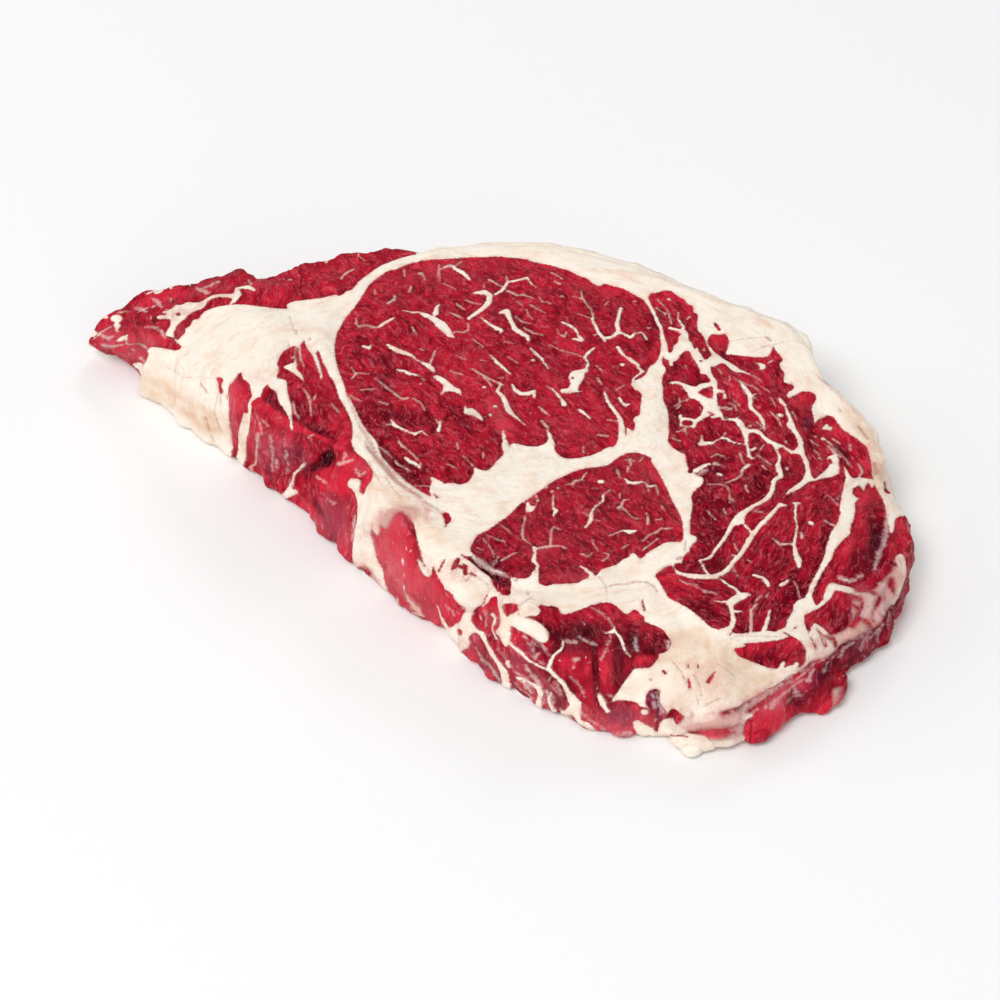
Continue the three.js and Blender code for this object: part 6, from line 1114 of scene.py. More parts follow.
def drawn_fields():
    # Some of these fat streaks are white glints, painted highlights drawn as fat.
    fat_and_highlight_streaks = FAT_AND_HIGHLIGHT_STREAKS + from_picture(FINE_FAT_PIXELS)
    glints = GLINTS + from_picture(FINE_GLINT_PIXELS)
    lean = draw_outlines(LEAN.values())
    broad = np.minimum(draw_outlines(FAT_PATCHES), -lean)
    thick = [streak for streak in fat_and_highlight_streaks if max(streak[2::3]) > THIN]
    fine = [streak for streak in fat_and_highlight_streaks if max(streak[2::3]) <= THIN]
    thick = draw_streaks(thick, LEAST_THICK)
    fine = draw_streaks(fine, LEAST_FINE)
    lean = np.maximum(lean, -np.minimum(np.minimum(broad, thick), fine))
    thin = np.minimum(broad, thick)
    lean = np.minimum(lean, draw_streaks(RED_STREAKS))
    return {"lean": lean, "silver": draw_streaks(SILVER_AND_SHEEN_STREAKS),
            "brown": draw_streaks(BROWN_AND_CREASE_STREAKS), "tone_and_shade": draw_spots(TONE_AND_SHADE_SPOTS),
            "blush": draw_spots(BLUSH), "wet": draw_spots(WET),
            "glint": draw_streaks(glints, LEAST_GLINT), "pale": draw_spots(PALE),
            "stain": draw_spots(STAIN), "beige": draw_spots(BEIGE), "thin": thin}


# ---- The fine surface --------------------------------------------------------------------------

VOXEL = 0.5                 # mm
SMOOTHING_ROUNDS = 14
SMOOTHING_STEPS = (0.6, -0.62)


def fine_mesh(node):
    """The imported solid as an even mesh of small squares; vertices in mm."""
    piece = node.copy()
    piece.data = node.data.copy()
    bpy.context.scene.collection.objects.link(piece)
    remesh = piece.modifiers.new("fine", "REMESH")
    remesh.mode = "VOXEL"
    remesh.voxel_size = VOXEL * MM
    evaluated = piece.evaluated_get(bpy.context.evaluated_depsgraph_get())
    mesh = bpy.data.meshes.new_from_object(evaluated)
    bpy.data.objects.remove(piece)
    return mesh


def read_vectors(collection, name):
    values = np.empty(len(collection) * 3, np.float32)
    collection.foreach_get(name, values)
    return values.reshape(-1, 3).astype(float)


def smoothed(points, edges, rounds):
    """Facets smoothed away: steps towards the neighbours' middle and back, so nothing shrinks."""
    count = np.bincount(edges.ravel(), minlength=len(points))[:, None]
    for step in SMOOTHING_STEPS * rounds:
        total = np.stack([np.bincount(edges[:, 0], points[edges[:, 1], i], len(points))
                          + np.bincount(edges[:, 1], points[edges[:, 0], i], len(points))
                          for i in range(points.shape[1])], 1)
        points = points + step * (total / count - points)
    return points


def set_points(mesh, points):
    mesh.vertices.foreach_set("co", (points * MM).astype(np.float32).ravel())
    mesh.update()


def smooth_noise(points, spacing, seed):
    """Value noise between -1 and 1, with the given distance between its bumps in mm."""
    place = points / spacing + 100.0
    cell = np.floor(place).astype(np.int64)
    part = place - cell
    part = part * part * (3 - 2 * part)
    total = np.zeros(len(points))
    for corner in range(8):
        offset = np.array([corner & 1, corner >> 1 & 1, corner >> 2 & 1])
        weight = np.prod(np.where(offset, part, 1 - part), axis=1)
        x, y, z = (cell + offset).T
        mixed = (x * 73856093) ^ (y * 19349663) ^ (z * 83492791) ^ (seed * 2654435761)
        mixed = (mixed ^ (mixed >> 13)) * 1274126177 & 0x7FFFFFFF
        mixed = (mixed ^ (mixed >> 15)) * 668265263 & 0x7FFFFFFF
        total += weight * (mixed % 65536) / 32767.5
    return total - 1


def ease(values, low, high):
    part = np.clip((values - low) / (high - low), 0, 1)
    return part * part * (3 - 2 * part)


def sampled(field, places):
    """The grid field at places of the drawing, linear in between."""
    place = (places - GRID_LOW) / GRID_STEP
    limit = np.array(field.shape[::-1]) - 2.001
    place = np.clip(place, 0, limit)
    cell = place.astype(int)
    part = place - cell
    column, row = cell.T
    across, up = part.T
    low = field[row, column] * (1 - across) + field[row, column + 1] * across
    high = field[row + 1, column] * (1 - across) + field[row + 1, column + 1] * across
    return low * (1 - up) + high * up


FACING = (-0.25, 0.02)      # a face turned away further than this isn't drawn as it is seen


def drawing_places(points, normals):
    """Where each point of the steak is in the drawing.

    What faces the camera is drawn as it is seen. Behind and below, the muscles run straight
    through the cut.
    """
    own = points + np.append(DRAWING_SHIFT, 0)
    through = own[:, :2]
    scale = (DRAWING_EYE[2] - DRAWING_PLANE) / (DRAWING_EYE[2] - own[:, 2:])
    seen = DRAWING_EYE[:2] + (through - DRAWING_EYE[:2]) * scale
    sight = DRAWING_EYE - own
    sight /= np.linalg.norm(sight, axis=1)[:, None]
    share = ease((sight * normals).sum(1), *FACING)[:, None]
    return through + (seen - through) * share


# The seams between the muscles, as x for each y of the drawing, and the way their fibres run.
SEAM_Y = (-80, -56, -44, -31, -8, 15, 36, 51, 64)
CAP_SEAM_X = (46, 46, 47, 56, 57, 49, 50, 47, 43)
SIDE_SEAM_X = (0, -9, -14, -20, -31, -38, -43, -50, -54)
SIDE_GRAIN = math.radians(-92)
EYE_GRAIN = math.radians(-52)
CAP_GRAIN = math.radians(-66)
LOW_CAP_X = (57, 79, 88, 112)               # the cap's fibres turn below this line
LOW_CAP_Y = (-46, -14, -16, -12)
LOW_CAP_GRAIN = math.radians(-116)
LOBE_GRAIN = math.radians(-24)
LOBE_SIDES = (44, 67)
LOBE_TOP = -50
CAP_SIDE = 46
EYE_STRETCH = 0.45                          # the fibres are drawn out this much along their run
OTHER_STRETCH = 0.36
DOWN_STRETCH = 0.25
# How the fibres sway: the height, spacing and seed of a noise each.
SWAY = (1.6, 7.0, 7)
SHORT_SWAY = (0.5, 2.6, 8)
DRIFT = (1.2, 5.0, 9)


def grain_places(points, places):
    """Coordinates stretched along the muscle fibres: down the walls and aslant on the top."""
    x, y = places.T
    turn = np.where(x > np.interp(y, SEAM_Y, CAP_SEAM_X), CAP_GRAIN, EYE_GRAIN)
    low_cap = (x > CAP_SIDE) & (y < np.interp(x, LOW_CAP_X, LOW_CAP_Y))
    turn = np.where(low_cap, LOW_CAP_GRAIN, turn)
    low_lobe = (x > LOBE_SIDES[0]) & (x < LOBE_SIDES[1]) & (y < LOBE_TOP)
    turn = np.where(low_lobe, LOBE_GRAIN, turn)
    turn = np.where(x < np.interp(y, SEAM_Y, SIDE_SEAM_X), SIDE_GRAIN, turn)
    along = points[:, 0] * np.cos(turn) + points[:, 1] * np.sin(turn)
    across = points[:, 1] * np.cos(turn) - points[:, 0] * np.sin(turn)
    across = across + SWAY[0] * smooth_noise(points, *SWAY[1:])
    across = across + SHORT_SWAY[0] * smooth_noise(points, *SHORT_SWAY[1:])
    along = along + DRIFT[0] * smooth_noise(points, *DRIFT[1:])
    stretch = np.where(turn == EYE_GRAIN, EYE_STRETCH, OTHER_STRETCH)
    return np.stack([across, along * stretch, points[:, 2] * DOWN_STRETCH], 1)


# The fat lies in layers round the eye muscle.
WRAP_MIDDLE = (0, 12)
WRAP_STRETCH = 1.45
WRAP_LENGTH = 16
WRAP_DOWN = 0.35
WRAP_WAVES = (1.5, 14.0, 11)


def wrapping_places(points):
    """Coordinates stretched round the eye muscle, for the layers of the fat."""
    x = (points[:, 0] - WRAP_MIDDLE[0]) / WRAP_STRETCH
    y = points[:, 1] - WRAP_MIDDLE[1]
    layer = np.hypot(x, y) + WRAP_WAVES[0] * smooth_noise(points, *WRAP_WAVES[1:])
    angle = np.arctan2(y, x)
    return np.stack([layer, WRAP_LENGTH * np.cos(angle), WRAP_LENGTH * np.sin(angle)
                     + points[:, 2] * WRAP_DOWN], 1)


# Relief, in mm. A bump has its height, its spacing and the seed of its noise.
FAT_RISE = 0.30
SURFACE_SINK = 0.18
EDGE_SWELL = 0.7
ROLLS = (0.40, 11.0, 1)
DIMPLES = (0.20, 4.5, 2)
WALL_DIMPLES = 0.15
FAT_GRAINS = (0.09, 1.7, 6)
FIBRES = (0.20, 2.0, 3)
WALL_FIBRES = (0.45, 2.6, 4)
WALL_PITS = (0.2, 2.1, 5)
FOOT_LUMPS = (0.7, 3.6, 10)
FOOT_SPREAD = 0.4
FOOT_HEIGHTS = (1, 7)
DEEP_SHADE = 0.9            # how far the darkest, the dark and the bright places sink or rise
LIGHT_SHADE = 0.2
BRIGHT_RISE = 0.8
THREAD_DEPTH = 0.2
STAIN_LUMPS = (0.5, 2.2, 12)
BEIGE_LUMPS = (0.35, 3.2, 13)


def upright_share(normals):
    """1 on a wall and 0 on the level faces."""
    return 1 - ease(np.abs(normals[:, 2]), 0.3, 0.8)


def relief(points, normals, fields, grain, swell):
    """How far each point moves out along its normal, in mm."""
    fat = ease(fields["lean"], -0.5, 0.5)
    lean = 1 - fat
    wall = upright_share(normals)
    foot = 1 - ease(points[:, 2], *FOOT_HEIGHTS)
    height = FAT_RISE * fat - SURFACE_SINK + EDGE_SWELL * wall
    height += ROLLS[0] * smooth_noise(points, *ROLLS[1:]) * (0.5 + 0.5 * lean)
    height += (DIMPLES[0] + WALL_DIMPLES * wall) * smooth_noise(points, *DIMPLES[1:])
    height += FAT_GRAINS[0] * fat * smooth_noise(points, *FAT_GRAINS[1:])
    height += lean * FIBRES[0] * smooth_noise(grain, *FIBRES[1:])
    height += lean * wall * WALL_FIBRES[0] * smooth_noise(grain, *WALL_FIBRES[1:])
    height += wall * (WALL_PITS[0] + WALL_PITS[0] * lean) * smooth_noise(points, *WALL_PITS[1:])
    height += wall * foot * (FOOT_SPREAD + FOOT_LUMPS[0] * smooth_noise(points, *FOOT_LUMPS[1:]))
    height += wall * swell
    tone_and_shade = fields["tone_and_shade"]
    height -= DEEP_SHADE * ease(-tone_and_shade, 0.9, 2.4) + LIGHT_SHADE * ease(-tone_and_shade, 0.3, 1)
    height += BRIGHT_RISE * ease(tone_and_shade, 0.2, 1.6) * wall
    height -= THREAD_DEPTH * ease(0.3 - fields["brown"], 0, 0.5)
    stain = ease(fields["stain"], 0.3, 1)
    height += STAIN_LUMPS[0] * fat * stain * smooth_noise(points, *STAIN_LUMPS[1:])
    beige = ease(fields["beige"], 0.2, 0.9)
    height += BEIGE_LUMPS[0] * fat * beige * smooth_noise(points, *BEIGE_LUMPS[1:])
    return height * np.maximum(ease(points[:, 2], 0.3, 2.5), wall)


def add_attribute(mesh, name, values):
    kind = "FLOAT" if values.ndim == 1 else "FLOAT_VECTOR"
    attribute = mesh.attributes.new(name, kind, "POINT")
    key = "value" if values.ndim == 1 else "vector"
    attribute.data.foreach_set(key, values.astype(np.float32).ravel())


# The texture sheet: the top face large, the wall in two strips, the underside small.
TOP_SCALE = 1 / 272
TOP_MIDDLE = (0.5, 0.67)
WALL_STRIP_HEIGHT = 0.09
WALL_STRIP_LOW = (0.148, 0.244)
SOLE_SCALE = 1 / 1300
SOLE_MIDDLE = (0.5, 0.07)


def add_bake_map(mesh, thickness):
    """A UV map without overlaps for a baked texture."""
    corners = np.empty(len(mesh.loops), np.int32)
    mesh.loops.foreach_get("vertex_index", corners)
    totals = np.empty(len(mesh.polygons), np.int32)
    mesh.polygons.foreach_get("loop_total", totals)
    faces = np.repeat(np.arange(len(totals)), totals)
    points = read_vectors(mesh.vertices, "co")[corners] / MM
    middles = (read_vectors(mesh.polygons, "center") / MM)[faces]
    tilt = read_vectors(mesh.polygons, "normal")[faces, 2]
    middle_angle = np.arctan2(middles[:, 1], middles[:, 0])
    angle = np.arctan2(points[:, 1], points[:, 0])
    angle = middle_angle + (angle - middle_angle + math.pi) % math.tau - math.pi
    strip = middle_angle > 0
    across = (angle - np.where(strip, 0, -math.pi)) / math.pi
    wall = np.stack([0.01 + 0.98 * across,
                     np.where(strip, *WALL_STRIP_LOW[::-1])
                     + points[:, 2] / thickness * WALL_STRIP_HEIGHT], 1)
    top = points[:, :2] * TOP_SCALE + TOP_MIDDLE
    sole = points[:, :2] * SOLE_SCALE + SOLE_MIDDLE
    places = np.where((tilt > 0.5)[:, None], top, np.where((tilt < -0.5)[:, None], sole, wall))
    layer = mesh.uv_layers.new(name="OFBake")
    layer.data.foreach_set("uv", places.astype(np.float32).ravel())


BACKWARDS = (0.2, 0.98)                     # the way that the unseen wall looks
LACE_MIDDLE = (70, 13)                      # the finest marbling
LACE_RADIUS = 18
TAIL_FROM = (66, 86)                        # the tail begins this far out to the left
CAP_FROM = (44, 58)                         # and the cap to the right
FLOOR_GAP = 0.02                            # mm

# The wall turned from the camera: how its streaks of fat and its specks of lean vary, in mm.
UPRIGHT_STRETCH = 0.35
STREAK_MIDDLE = 0.7
STREAK_SLOPE = 9
STREAK_PATCHES = (2.0, 14.0, 23)
SPECK_FROM = 0.62
SPECK_SLOPE = 8
RIM_WAVER = (3.0, 8.0, 24)
MOST_FAT = 2.0
TAIL_LEAN = 2.9

# How much of the finest marbling and painted sheen on the fibres shows, and of the soft pale
# mottle.
FLECKS = 0.6
CAP_FLECKS = 0.05
TAIL_FLECKS = 0.5
WALL_FLECKS = 0.6
LACE_FLECKS = 0.6
MOTTLE = 0.22
CAP_MOTTLE = 0.06
TAIL_MOTTLE = 0.1
WET_MOTTLE = 0.7


def unseen_lean(points, drawn, tail):
    """The lean field of the wall turned from the camera: upright streaks of fat in the lean."""
    upright = points * (1, 1, UPRIGHT_STRETCH)
    waves = smooth_noise(upright, 5.0, 21)
    ripples = smooth_noise(upright, 2.0, 22)
    patches = STREAK_PATCHES[0] * smooth_noise(points, *STREAK_PATCHES[1:])
    veins = STREAK_MIDDLE - STREAK_SLOPE * np.abs(waves + 0.3 * ripples) + patches
    specks = SPECK_SLOPE * np.maximum(waves + 0.6 * ripples - SPECK_FROM, 0)
    specks = specks * ease(points[:, 2], 25, 20)
    waver = RIM_WAVER[0] * smooth_noise(points, *RIM_WAVER[1:]) * ease(points[:, 2], 27, 18)
    inside = np.minimum(drawn + waver, MOST_FAT - TAIL_LEAN * tail)
    return np.maximum(inside - specks * ease(inside, -0.5, 0.5), np.minimum(veins, 1))


def make_steak(node):
    mesh = fine_mesh(node)
    edges = np.empty(len(mesh.edges) * 2, np.int32)
    mesh.edges.foreach_get("vertices", edges)
    edges = edges.reshape(-1, 2)
    points = read_vectors(mesh.vertices, "co") / MM
    points = smoothed(points, edges, SMOOTHING_ROUNDS)
    set_points(mesh, points)
    normals = read_vectors(mesh.vertices, "normal")
    places = drawing_places(points, normals)
    fields = {name: sampled(field, places) for name, field in drawn_fields().items()}
    grain = grain_places(points, places)
    tail = ease(-places[:, 0], *TAIL_FROM)
    cap = ease(places[:, 0], *CAP_FROM)
    wall = upright_share(normals)
    backwards = (normals[:, :2] * BACKWARDS).sum(1)
    back = np.maximum(ease(backwards, 0.35, 0.8), tail * ease(backwards, -0.1, 0.3))
    fields["lean"] += back * (unseen_lean(points, fields["lean"], tail) - fields["lean"])
    fields["thin"] *= 1 - back
    swell = sampled(draw_spots(SWELLS), points[:, :2])
    lift = relief(points, normals, fields, grain, swell)
    points = points + normals * lift[:, None]
    points[:, 2] = np.maximum(points[:, 2], FLOOR_GAP)
    set_points(mesh, points)
    for name, values in fields.items():
        add_attribute(mesh, name, values)
    lace = ease(np.hypot(*(places - LACE_MIDDLE).T), LACE_RADIUS, 0.4 * LACE_RADIUS)
    lively = (FLECKS + CAP_FLECKS * cap) * (1 - TAIL_FLECKS * tail)
    lively = lively + WALL_FLECKS * wall + LACE_FLECKS * lace
    add_attribute(mesh, "lively", lively)
    mottle = MOTTLE - CAP_MOTTLE * cap - TAIL_MOTTLE * tail
    mottle = mottle * (1 - WET_MOTTLE * ease(fields["wet"], 0.1, 0.9))
    add_attribute(mesh, "mottle", mottle)
    add_attribute(mesh, "wrap", wrapping_places(points))
    add_attribute(mesh, "grain", grain)
    add_attribute(mesh, "place", points)
    add_bake_map(mesh, points[:, 2].max())
    mesh.polygons.foreach_set("use_smooth", np.ones(len(mesh.polygons), bool))
    mesh.materials.clear()
    mesh.materials.append(beef_material())
    steak = bpy.data.objects.new("steak_surface", mesh)
    bpy.context.scene.collection.objects.link(steak)
    return steak


# ---- Material ------------------------------------------------------------------------------------


def colour(red, green, blue):
    """A screen colour, 0 to 255, as the linear values that Blender takes."""
    parts = [value / 255 for value in (red, green, blue)]
    return [part / 12.92 if part <= 0.04045 else ((part + 0.055) / 1.055) ** 2.4
            for part in parts] + [1.0]


LEAN_MIDDLE = colour(168, 20, 42)
LEAN_DARK = colour(108, 4, 24)
# Painted shade: the darkest lean, in hollows, crevices and deep gaps.
LEAN_DEEP_SHADE = colour(56, 0, 10)
# Partly the lean's own bright red, partly painted light on lit lumps and the lit rim of the wall.
LEAN_BRIGHT = colour(208, 36, 58)
LEAN_PINK = colour(212, 104, 114)
FAT_CREAM = colour(251, 240, 226)
FAT_SHADE = colour(242, 212, 190)
FAT_PINK = colour(226, 160, 152)
FAT_BEIGE = colour(226, 190, 160)
# Painted highlight: the white of the glints and the sparkle.
HIGHLIGHT_WHITE = colour(250, 240, 238)
# Silvery skin, and the pale colour of some painted highlights.
SILVER_SKIN_AND_SHEEN = colour(236, 204, 200)
# Brown skin in the fat, and painted shade in its creases.
BROWN_SKIN_AND_CREASE_SHADE = colour(172, 110, 98)
BLUISH_SKIN = colour(112, 44, 78)


class Shader:
    """A material under construction; each call adds a node and returns its output."""

    def __init__(self, name):
        self.material = bpy.data.materials.new(name)
        self.material.use_nodes = True
        self.tree = self.material.node_tree
        self.tree.nodes.clear()

    def node(self, kind, inputs=None, output=0, **settings):
        node = self.tree.nodes.new("ShaderNode" + kind)
        for name, value in settings.items():
            setattr(node, name, value)
        for key, value in (inputs or {}).items():
            if isinstance(value, bpy.types.NodeSocket):
                self.tree.links.new(value, node.inputs[key])
            else:
                node.inputs[key].default_value = value
        return node.outputs[output]

    def finished(self, surface):
        """The material, with the given surface on its output."""
        end = self.tree.nodes.new("ShaderNodeOutputMaterial")
        self.tree.links.new(surface, end.inputs["Surface"])
        return self.material

    def attribute(self, name, output="Fac"):
        return self.node("Attribute", output=output, attribute_name=name)

    def noise(self, place, scale, detail=2.0, rough=0.5):
        return self.node("TexNoise", {"Vector": place, "Scale": scale, "Detail": detail,
                                      "Roughness": rough})

    def math(self, operation, first, second=0.0, third=0.0):
        return self.node("Math", {0: first, 1: second, 2: third}, operation=operation)

    def step(self, value, low, high, start=0.0, end=1.0):
        return self.node("MapRange", {"Value": value, "From Min": low, "From Max": high,
                                      "To Min": start, "To Max": end},
                         interpolation_type="SMOOTHSTEP")

    def mix(self, share, first, second, blend="MIX"):
        return self.node("Mix", {0: share, 6: first, 7: second}, output=2, data_type="RGBA",
                         blend_type=blend)


def beef_material():
    shader = Shader("beef")
    lean_edge = shader.attribute("lean")
    silver_edge = shader.attribute("silver")
    brown_edge = shader.attribute("brown")
    tone_and_shade = shader.attribute("tone_and_shade")
    blush = shader.attribute("blush")
    grain = shader.attribute("grain", "Vector")
    place = shader.attribute("place", "Vector")

    # Ragged edges between lean and fat.
    ragged = shader.noise(place, 1.1, 4.0, 0.7)
    edge = shader.math("MULTIPLY_ADD", ragged, 1.0, shader.math("SUBTRACT", lean_edge, 0.5))
    soft = shader.step(shader.attribute("stain"), 0.5, 1.4)
    film = shader.step(edge, -0.3, shader.math("MULTIPLY_ADD", soft, 0.9, 0.1))
    edge_shadow = shader.step(edge, -1.5, -0.4)
    fat = shader.step(edge, -0.1, shader.math("MULTIPLY_ADD", soft, 1.3, 0.16))

    # Where the lean is wet, its fibres show less.
    wet = shader.step(shader.attribute("wet"), 0.1, 0.9)
    dry = shader.math("MULTIPLY_ADD", wet, -0.6, 1.0)

    # Lean: bundles of fibres about a millimetre wide, each its own shade.
    cells = shader.node("TexVoronoi", {"Vector": grain, "Scale": 0.8, "Randomness": 1.0},
                        output="Color", feature="F1")
    bundle = shader.node("SeparateColor", {0: cells}, output=0)
    fine = shader.noise(grain, 1.3, 3.0, 0.65)
    middle = shader.noise(grain, 0.32, 3.0, 0.6)
    broad = shader.noise(grain, 0.07, 2.0)
    shade = shader.math("MULTIPLY_ADD", bundle, 0.9, shader.math("MULTIPLY_ADD", fine, 2.2, -1.55))
    shade = shader.math("MULTIPLY", shade, dry)
    # Painted shadow: the lean darker in a narrow band beside the fat.
    shade = shader.math("MULTIPLY_ADD", edge_shadow, -0.12, shade)
    shade = shader.math("ADD", shade, shader.math("MULTIPLY_ADD", middle, 2.0, -1.0))
    shade = shader.math("ADD", shade, shader.math("MULTIPLY_ADD", broad, 1.0, -0.5))
    patches = shader.math("MULTIPLY_ADD", middle, 1.6, 0.1)
    # The drawn spots: partly the lean's own tone, partly painted shade in hollows and painted light
    # on lit lumps.
    shade = shader.math("MULTIPLY_ADD", tone_and_shade, shader.math("MULTIPLY", patches, 0.8), shade)
    lean = shader.mix(shader.step(shade, 0.1, -0.95), LEAN_MIDDLE, LEAN_DARK)
    lean = shader.mix(shader.step(shade, -0.9, -2.2), lean, LEAN_DEEP_SHADE)
    lean = shader.mix(shader.step(shade, 0.0, 0.9), lean, LEAN_BRIGHT)

    # Pink flecks, wrinkles and soft spots: partly fat too fine to be drawn one by one, and the
    # flecks and wrinkles partly painted sheen on the wet fibres.
    flecks = shader.step(shader.noise(grain, 1.15, 2.5, 0.55), 0.56, 0.7)
    flecks = shader.math("MULTIPLY", flecks, shader.math("MULTIPLY_ADD", wet, -0.55, 0.75))
    flecks = shader.math("MULTIPLY", flecks, shader.attribute("lively"))
    lean = shader.mix(flecks, lean, LEAN_PINK)
    wrinkles = shader.math("SUBTRACT", shader.noise(grain, 0.9, 2.0, 0.6), 0.5)
    wrinkles = shader.step(shader.math("ABSOLUTE", wrinkles), 0.04, 0.0)
    wrinkles = shader.math("MULTIPLY", wrinkles, shader.step(shader.noise(place, 0.35), 0.4, 0.6))
    wrinkles = shader.math("MULTIPLY", wrinkles, shader.math("MULTIPLY_ADD", wet, -0.25, 0.42))
    lean = shader.mix(wrinkles, lean, LEAN_PINK)
    mottle = shader.step(shader.noise(grain, 0.62, 3.0, 0.65), 0.5, 0.72)
    pale = shader.math("MULTIPLY", shader.step(shader.attribute("pale"), 0.0, 1.0),
                       shader.math("MULTIPLY_ADD", mottle, 0.55, 0.4))
    mottle = shader.math("MULTIPLY", mottle, shader.attribute("mottle"))
    lean = shader.mix(shader.math("MAXIMUM", mottle, pale), lean, LEAN_PINK)
    bluish = shader.math("MULTIPLY", shader.step(blush, 0.1, 1.4),
                         shader.math("MULTIPLY_ADD", middle, 1.6, 0.0))
    lean = shader.mix(bluish, lean, BLUISH_SKIN)

    # Fat: cream, faintly layered, pink where it is a thin film over lean.
    wrap = shader.attribute("wrap", "Vector")
    layers = shader.noise(wrap, 0.5, 5.0, 0.62)
    cream = shader.mix(shader.step(shader.noise(place, 0.16, 3.0), 0.45, 0.9), FAT_CREAM, FAT_SHADE)
    cream = shader.mix(shader.step(layers, 0.5, 0.75), cream, FAT_SHADE)
    stained = shader.math("MULTIPLY", shader.step(lean_edge, 1.3, 0.1),
                          shader.step(shader.noise(place, 0.5, 3.0), 0.4, 0.65))
    drawn = shader.math("MULTIPLY", shader.step(shader.attribute("stain"), 0.05, 0.9),
                        shader.math("MAXIMUM", soft,
                                    shader.step(shader.noise(place, 0.42, 4.0, 0.6), 0.36, 0.66)))
    stained = shader.math("MAXIMUM", shader.math("MULTIPLY", stained, 0.45),
                          shader.math("MULTIPLY", drawn, 0.8))
    beige = shader.math("MULTIPLY", shader.step(shader.attribute("beige"), 0.05, 1.0),
                        shader.step(shader.noise(place, 0.25, 4.0, 0.6), 0.3, 0.7, 0.3, 0.9))
    # Browner fat, partly painted shade at rounded edges.
    cream = shader.mix(beige, cream, FAT_BEIGE)
    cream = shader.mix(stained, cream, FAT_PINK)
    # Brown threads, and painted shade in creases.
    brown = shader.step(shader.math("MULTIPLY_ADD", ragged, 1.2,
                                    shader.math("SUBTRACT", brown_edge, 0.6)), 0.35, -0.35)
    cream = shader.mix(shader.math("MULTIPLY", brown, 0.6), cream, BROWN_SKIN_AND_CREASE_SHADE)

    base = shader.mix(shader.math("MULTIPLY", film, 0.5), lean, FAT_PINK)
    thin = shader.math("MULTIPLY_ADD", ragged, 1.2, shader.attribute("thin"))
    clear = shader.step(thin, 0.75, 1.15)
    cream = shader.mix(shader.math("MULTIPLY", clear, 0.5), cream, FAT_PINK)
    cover = shader.math("MULTIPLY", fat, shader.math("MULTIPLY_ADD", clear, -0.4, 1.0))
    base = shader.mix(cover, base, cream)
    torn = shader.noise(place, 0.8, 4.0, 0.7)
    # Silvery skin, and in places pale painted highlights.
    silver = shader.step(shader.math("MULTIPLY_ADD", torn, 2.4,
                                     shader.math("SUBTRACT", silver_edge, 1.2)), 0.4, -0.6)
    base = shader.mix(shader.math("MULTIPLY", silver, 0.6), base, SILVER_SKIN_AND_SHEEN)

    # Painted highlights: the drawn glints, and finer painted specks all over the wet lean.
    glint = shader.math("MULTIPLY_ADD", ragged, 0.6, shader.attribute("glint"))
    glint = shader.step(glint, 0.25, -0.25)
    sparkle = shader.step(shader.noise(grain, 1.1, 2.0, 0.6), 0.68, 0.76)
    sparkle = shader.math("MULTIPLY", sparkle, wet)
    sparkle = shader.math("MULTIPLY", sparkle, shader.step(fat, 0.3, 0.0, 0.0, 0.7))
    glint = shader.math("MAXIMUM", glint, sparkle)
    base = shader.mix(shader.math("MULTIPLY", glint, 0.8), base, HIGHLIGHT_WHITE)

    # Relief finer than the mesh.
    height = shader.math("MULTIPLY_ADD", bundle, 0.3, shader.math("MULTIPLY", fine, 2.2))
    height = shader.math("MULTIPLY", height, dry)
    rough_fat = shader.math("MULTIPLY_ADD", shader.noise(place, 0.9, 4.0, 0.6), 1.0, 0.5)
    rough_fat = shader.math("MULTIPLY_ADD", layers, 2.2, rough_fat)
    crumbs = shader.math("MULTIPLY", shader.noise(place, 1.3, 3.0, 0.6), shader.attribute("stain"))
    rough_fat = shader.math("MULTIPLY_ADD", crumbs, 2.5, rough_fat)
    height = shader.node("Mix", {0: fat, 2: height, 3: rough_fat}, data_type="FLOAT")
    normal = shader.node("Bump", {"Strength": 0.8, "Distance": 0.4 * MM, "Height": height})

    shine = shader.step(fat, 0.0, 1.0, 0.24, 0.5)
    shine = shader.math("MULTIPLY_ADD", wet, -0.08, shine)
    gloss = shader.math("MULTIPLY_ADD", wet, 0.05, 0.02)
    surface = shader.node("BsdfPrincipled", {
        "Base Color": base, "Roughness": shine, "Normal": normal,
        "Specular IOR Level": gloss, "Subsurface Weight": 0.1, "Subsurface Scale": 0.8 * MM,
        "Subsurface Radius": (1.0, 0.4, 0.3)})
    return shader.finished(surface)


# ---- Studio --------------------------------------------------------------------------------------


def make_floor():
    bpy.ops.mesh.primitive_plane_add(size=6)
    floor = bpy.context.object
    floor.name = "floor"
    shader = Shader("floor white")
    surface = shader.node("BsdfPrincipled", {"Base Color": (0.93, 0.93, 0.93, 1), "Roughness": 0.9,
                                             "Specular IOR Level": 0.1})
    floor.data.materials.append(shader.finished(surface))


def add_softbox(name, place, size, power):
    """A square soft light that looks at the middle of the steak; metres and watts."""
    light = bpy.data.lights.new(name, "AREA")
    light.size = size
    light.energy = power
    lamp = bpy.data.objects.new(name, light)
    lamp.location = place
    lamp.rotation_euler = (Vector((0, 0, 0.02)) - Vector(place)).to_track_quat("-Z", "Y").to_euler()
    bpy.context.scene.collection.objects.link(lamp)


def make_lights():
    world = bpy.data.worlds.new("studio")
    world.use_nodes = True
    background = world.node_tree.nodes["Background"]
    background.inputs["Color"].default_value = (1, 1, 1, 1)
    background.inputs["Strength"].default_value = 0.45
    bpy.context.scene.world = world
    add_softbox("overhead", (-0.9, -1.0, 2.2), 1.2, 34.0)
    add_softbox("front", (0.7, -2.5, 1.4), 2.2, 13.0)
    add_softbox("left", (-2.4, 0.4, 1.2), 1.2, 9.0)
    add_softbox("back", (0.5, 2.0, 1.3), 0.6, 7.0)


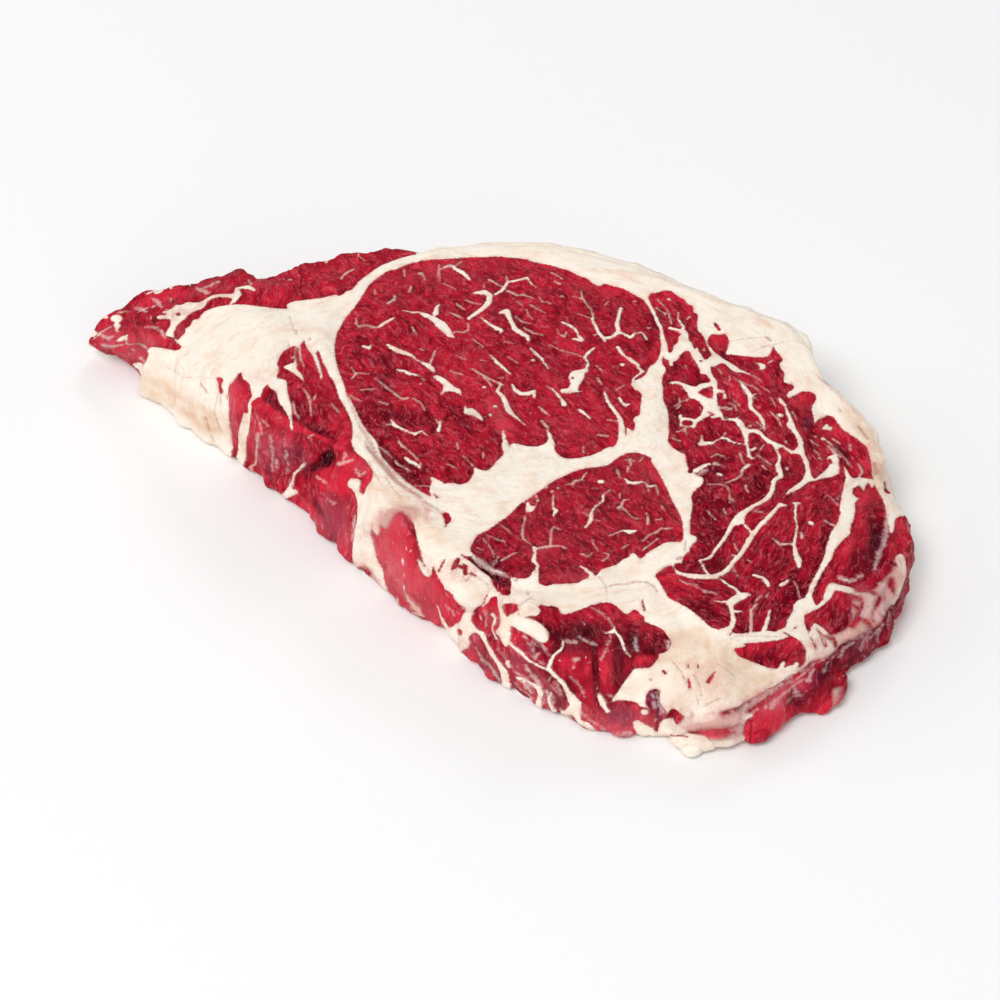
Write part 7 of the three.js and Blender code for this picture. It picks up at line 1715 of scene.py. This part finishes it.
def make_camera():
    camera = bpy.data.cameras.new("camera")
    camera.lens = LENS
    camera.sensor_width = SENSOR
    camera.clip_start = 0.01
    holder = bpy.data.objects.new("camera", camera)
    shift = np.append(DRAWING_SHIFT, 0)
    eye = Vector((DRAWING_EYE - shift) * MM)
    target = Vector((DRAWING_TARGET - shift) * MM)
    holder.location = eye
    holder.rotation_euler = (target - eye).to_track_quat("-Z", "Y").to_euler()
    bpy.context.scene.collection.objects.link(holder)
    bpy.context.scene.camera = holder


steak = make_steak(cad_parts["steak"])
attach(steak, "root")
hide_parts("steak")
make_floor()
make_lights()
make_camera()
bpy.context.scene.view_settings.view_transform = "Standard"
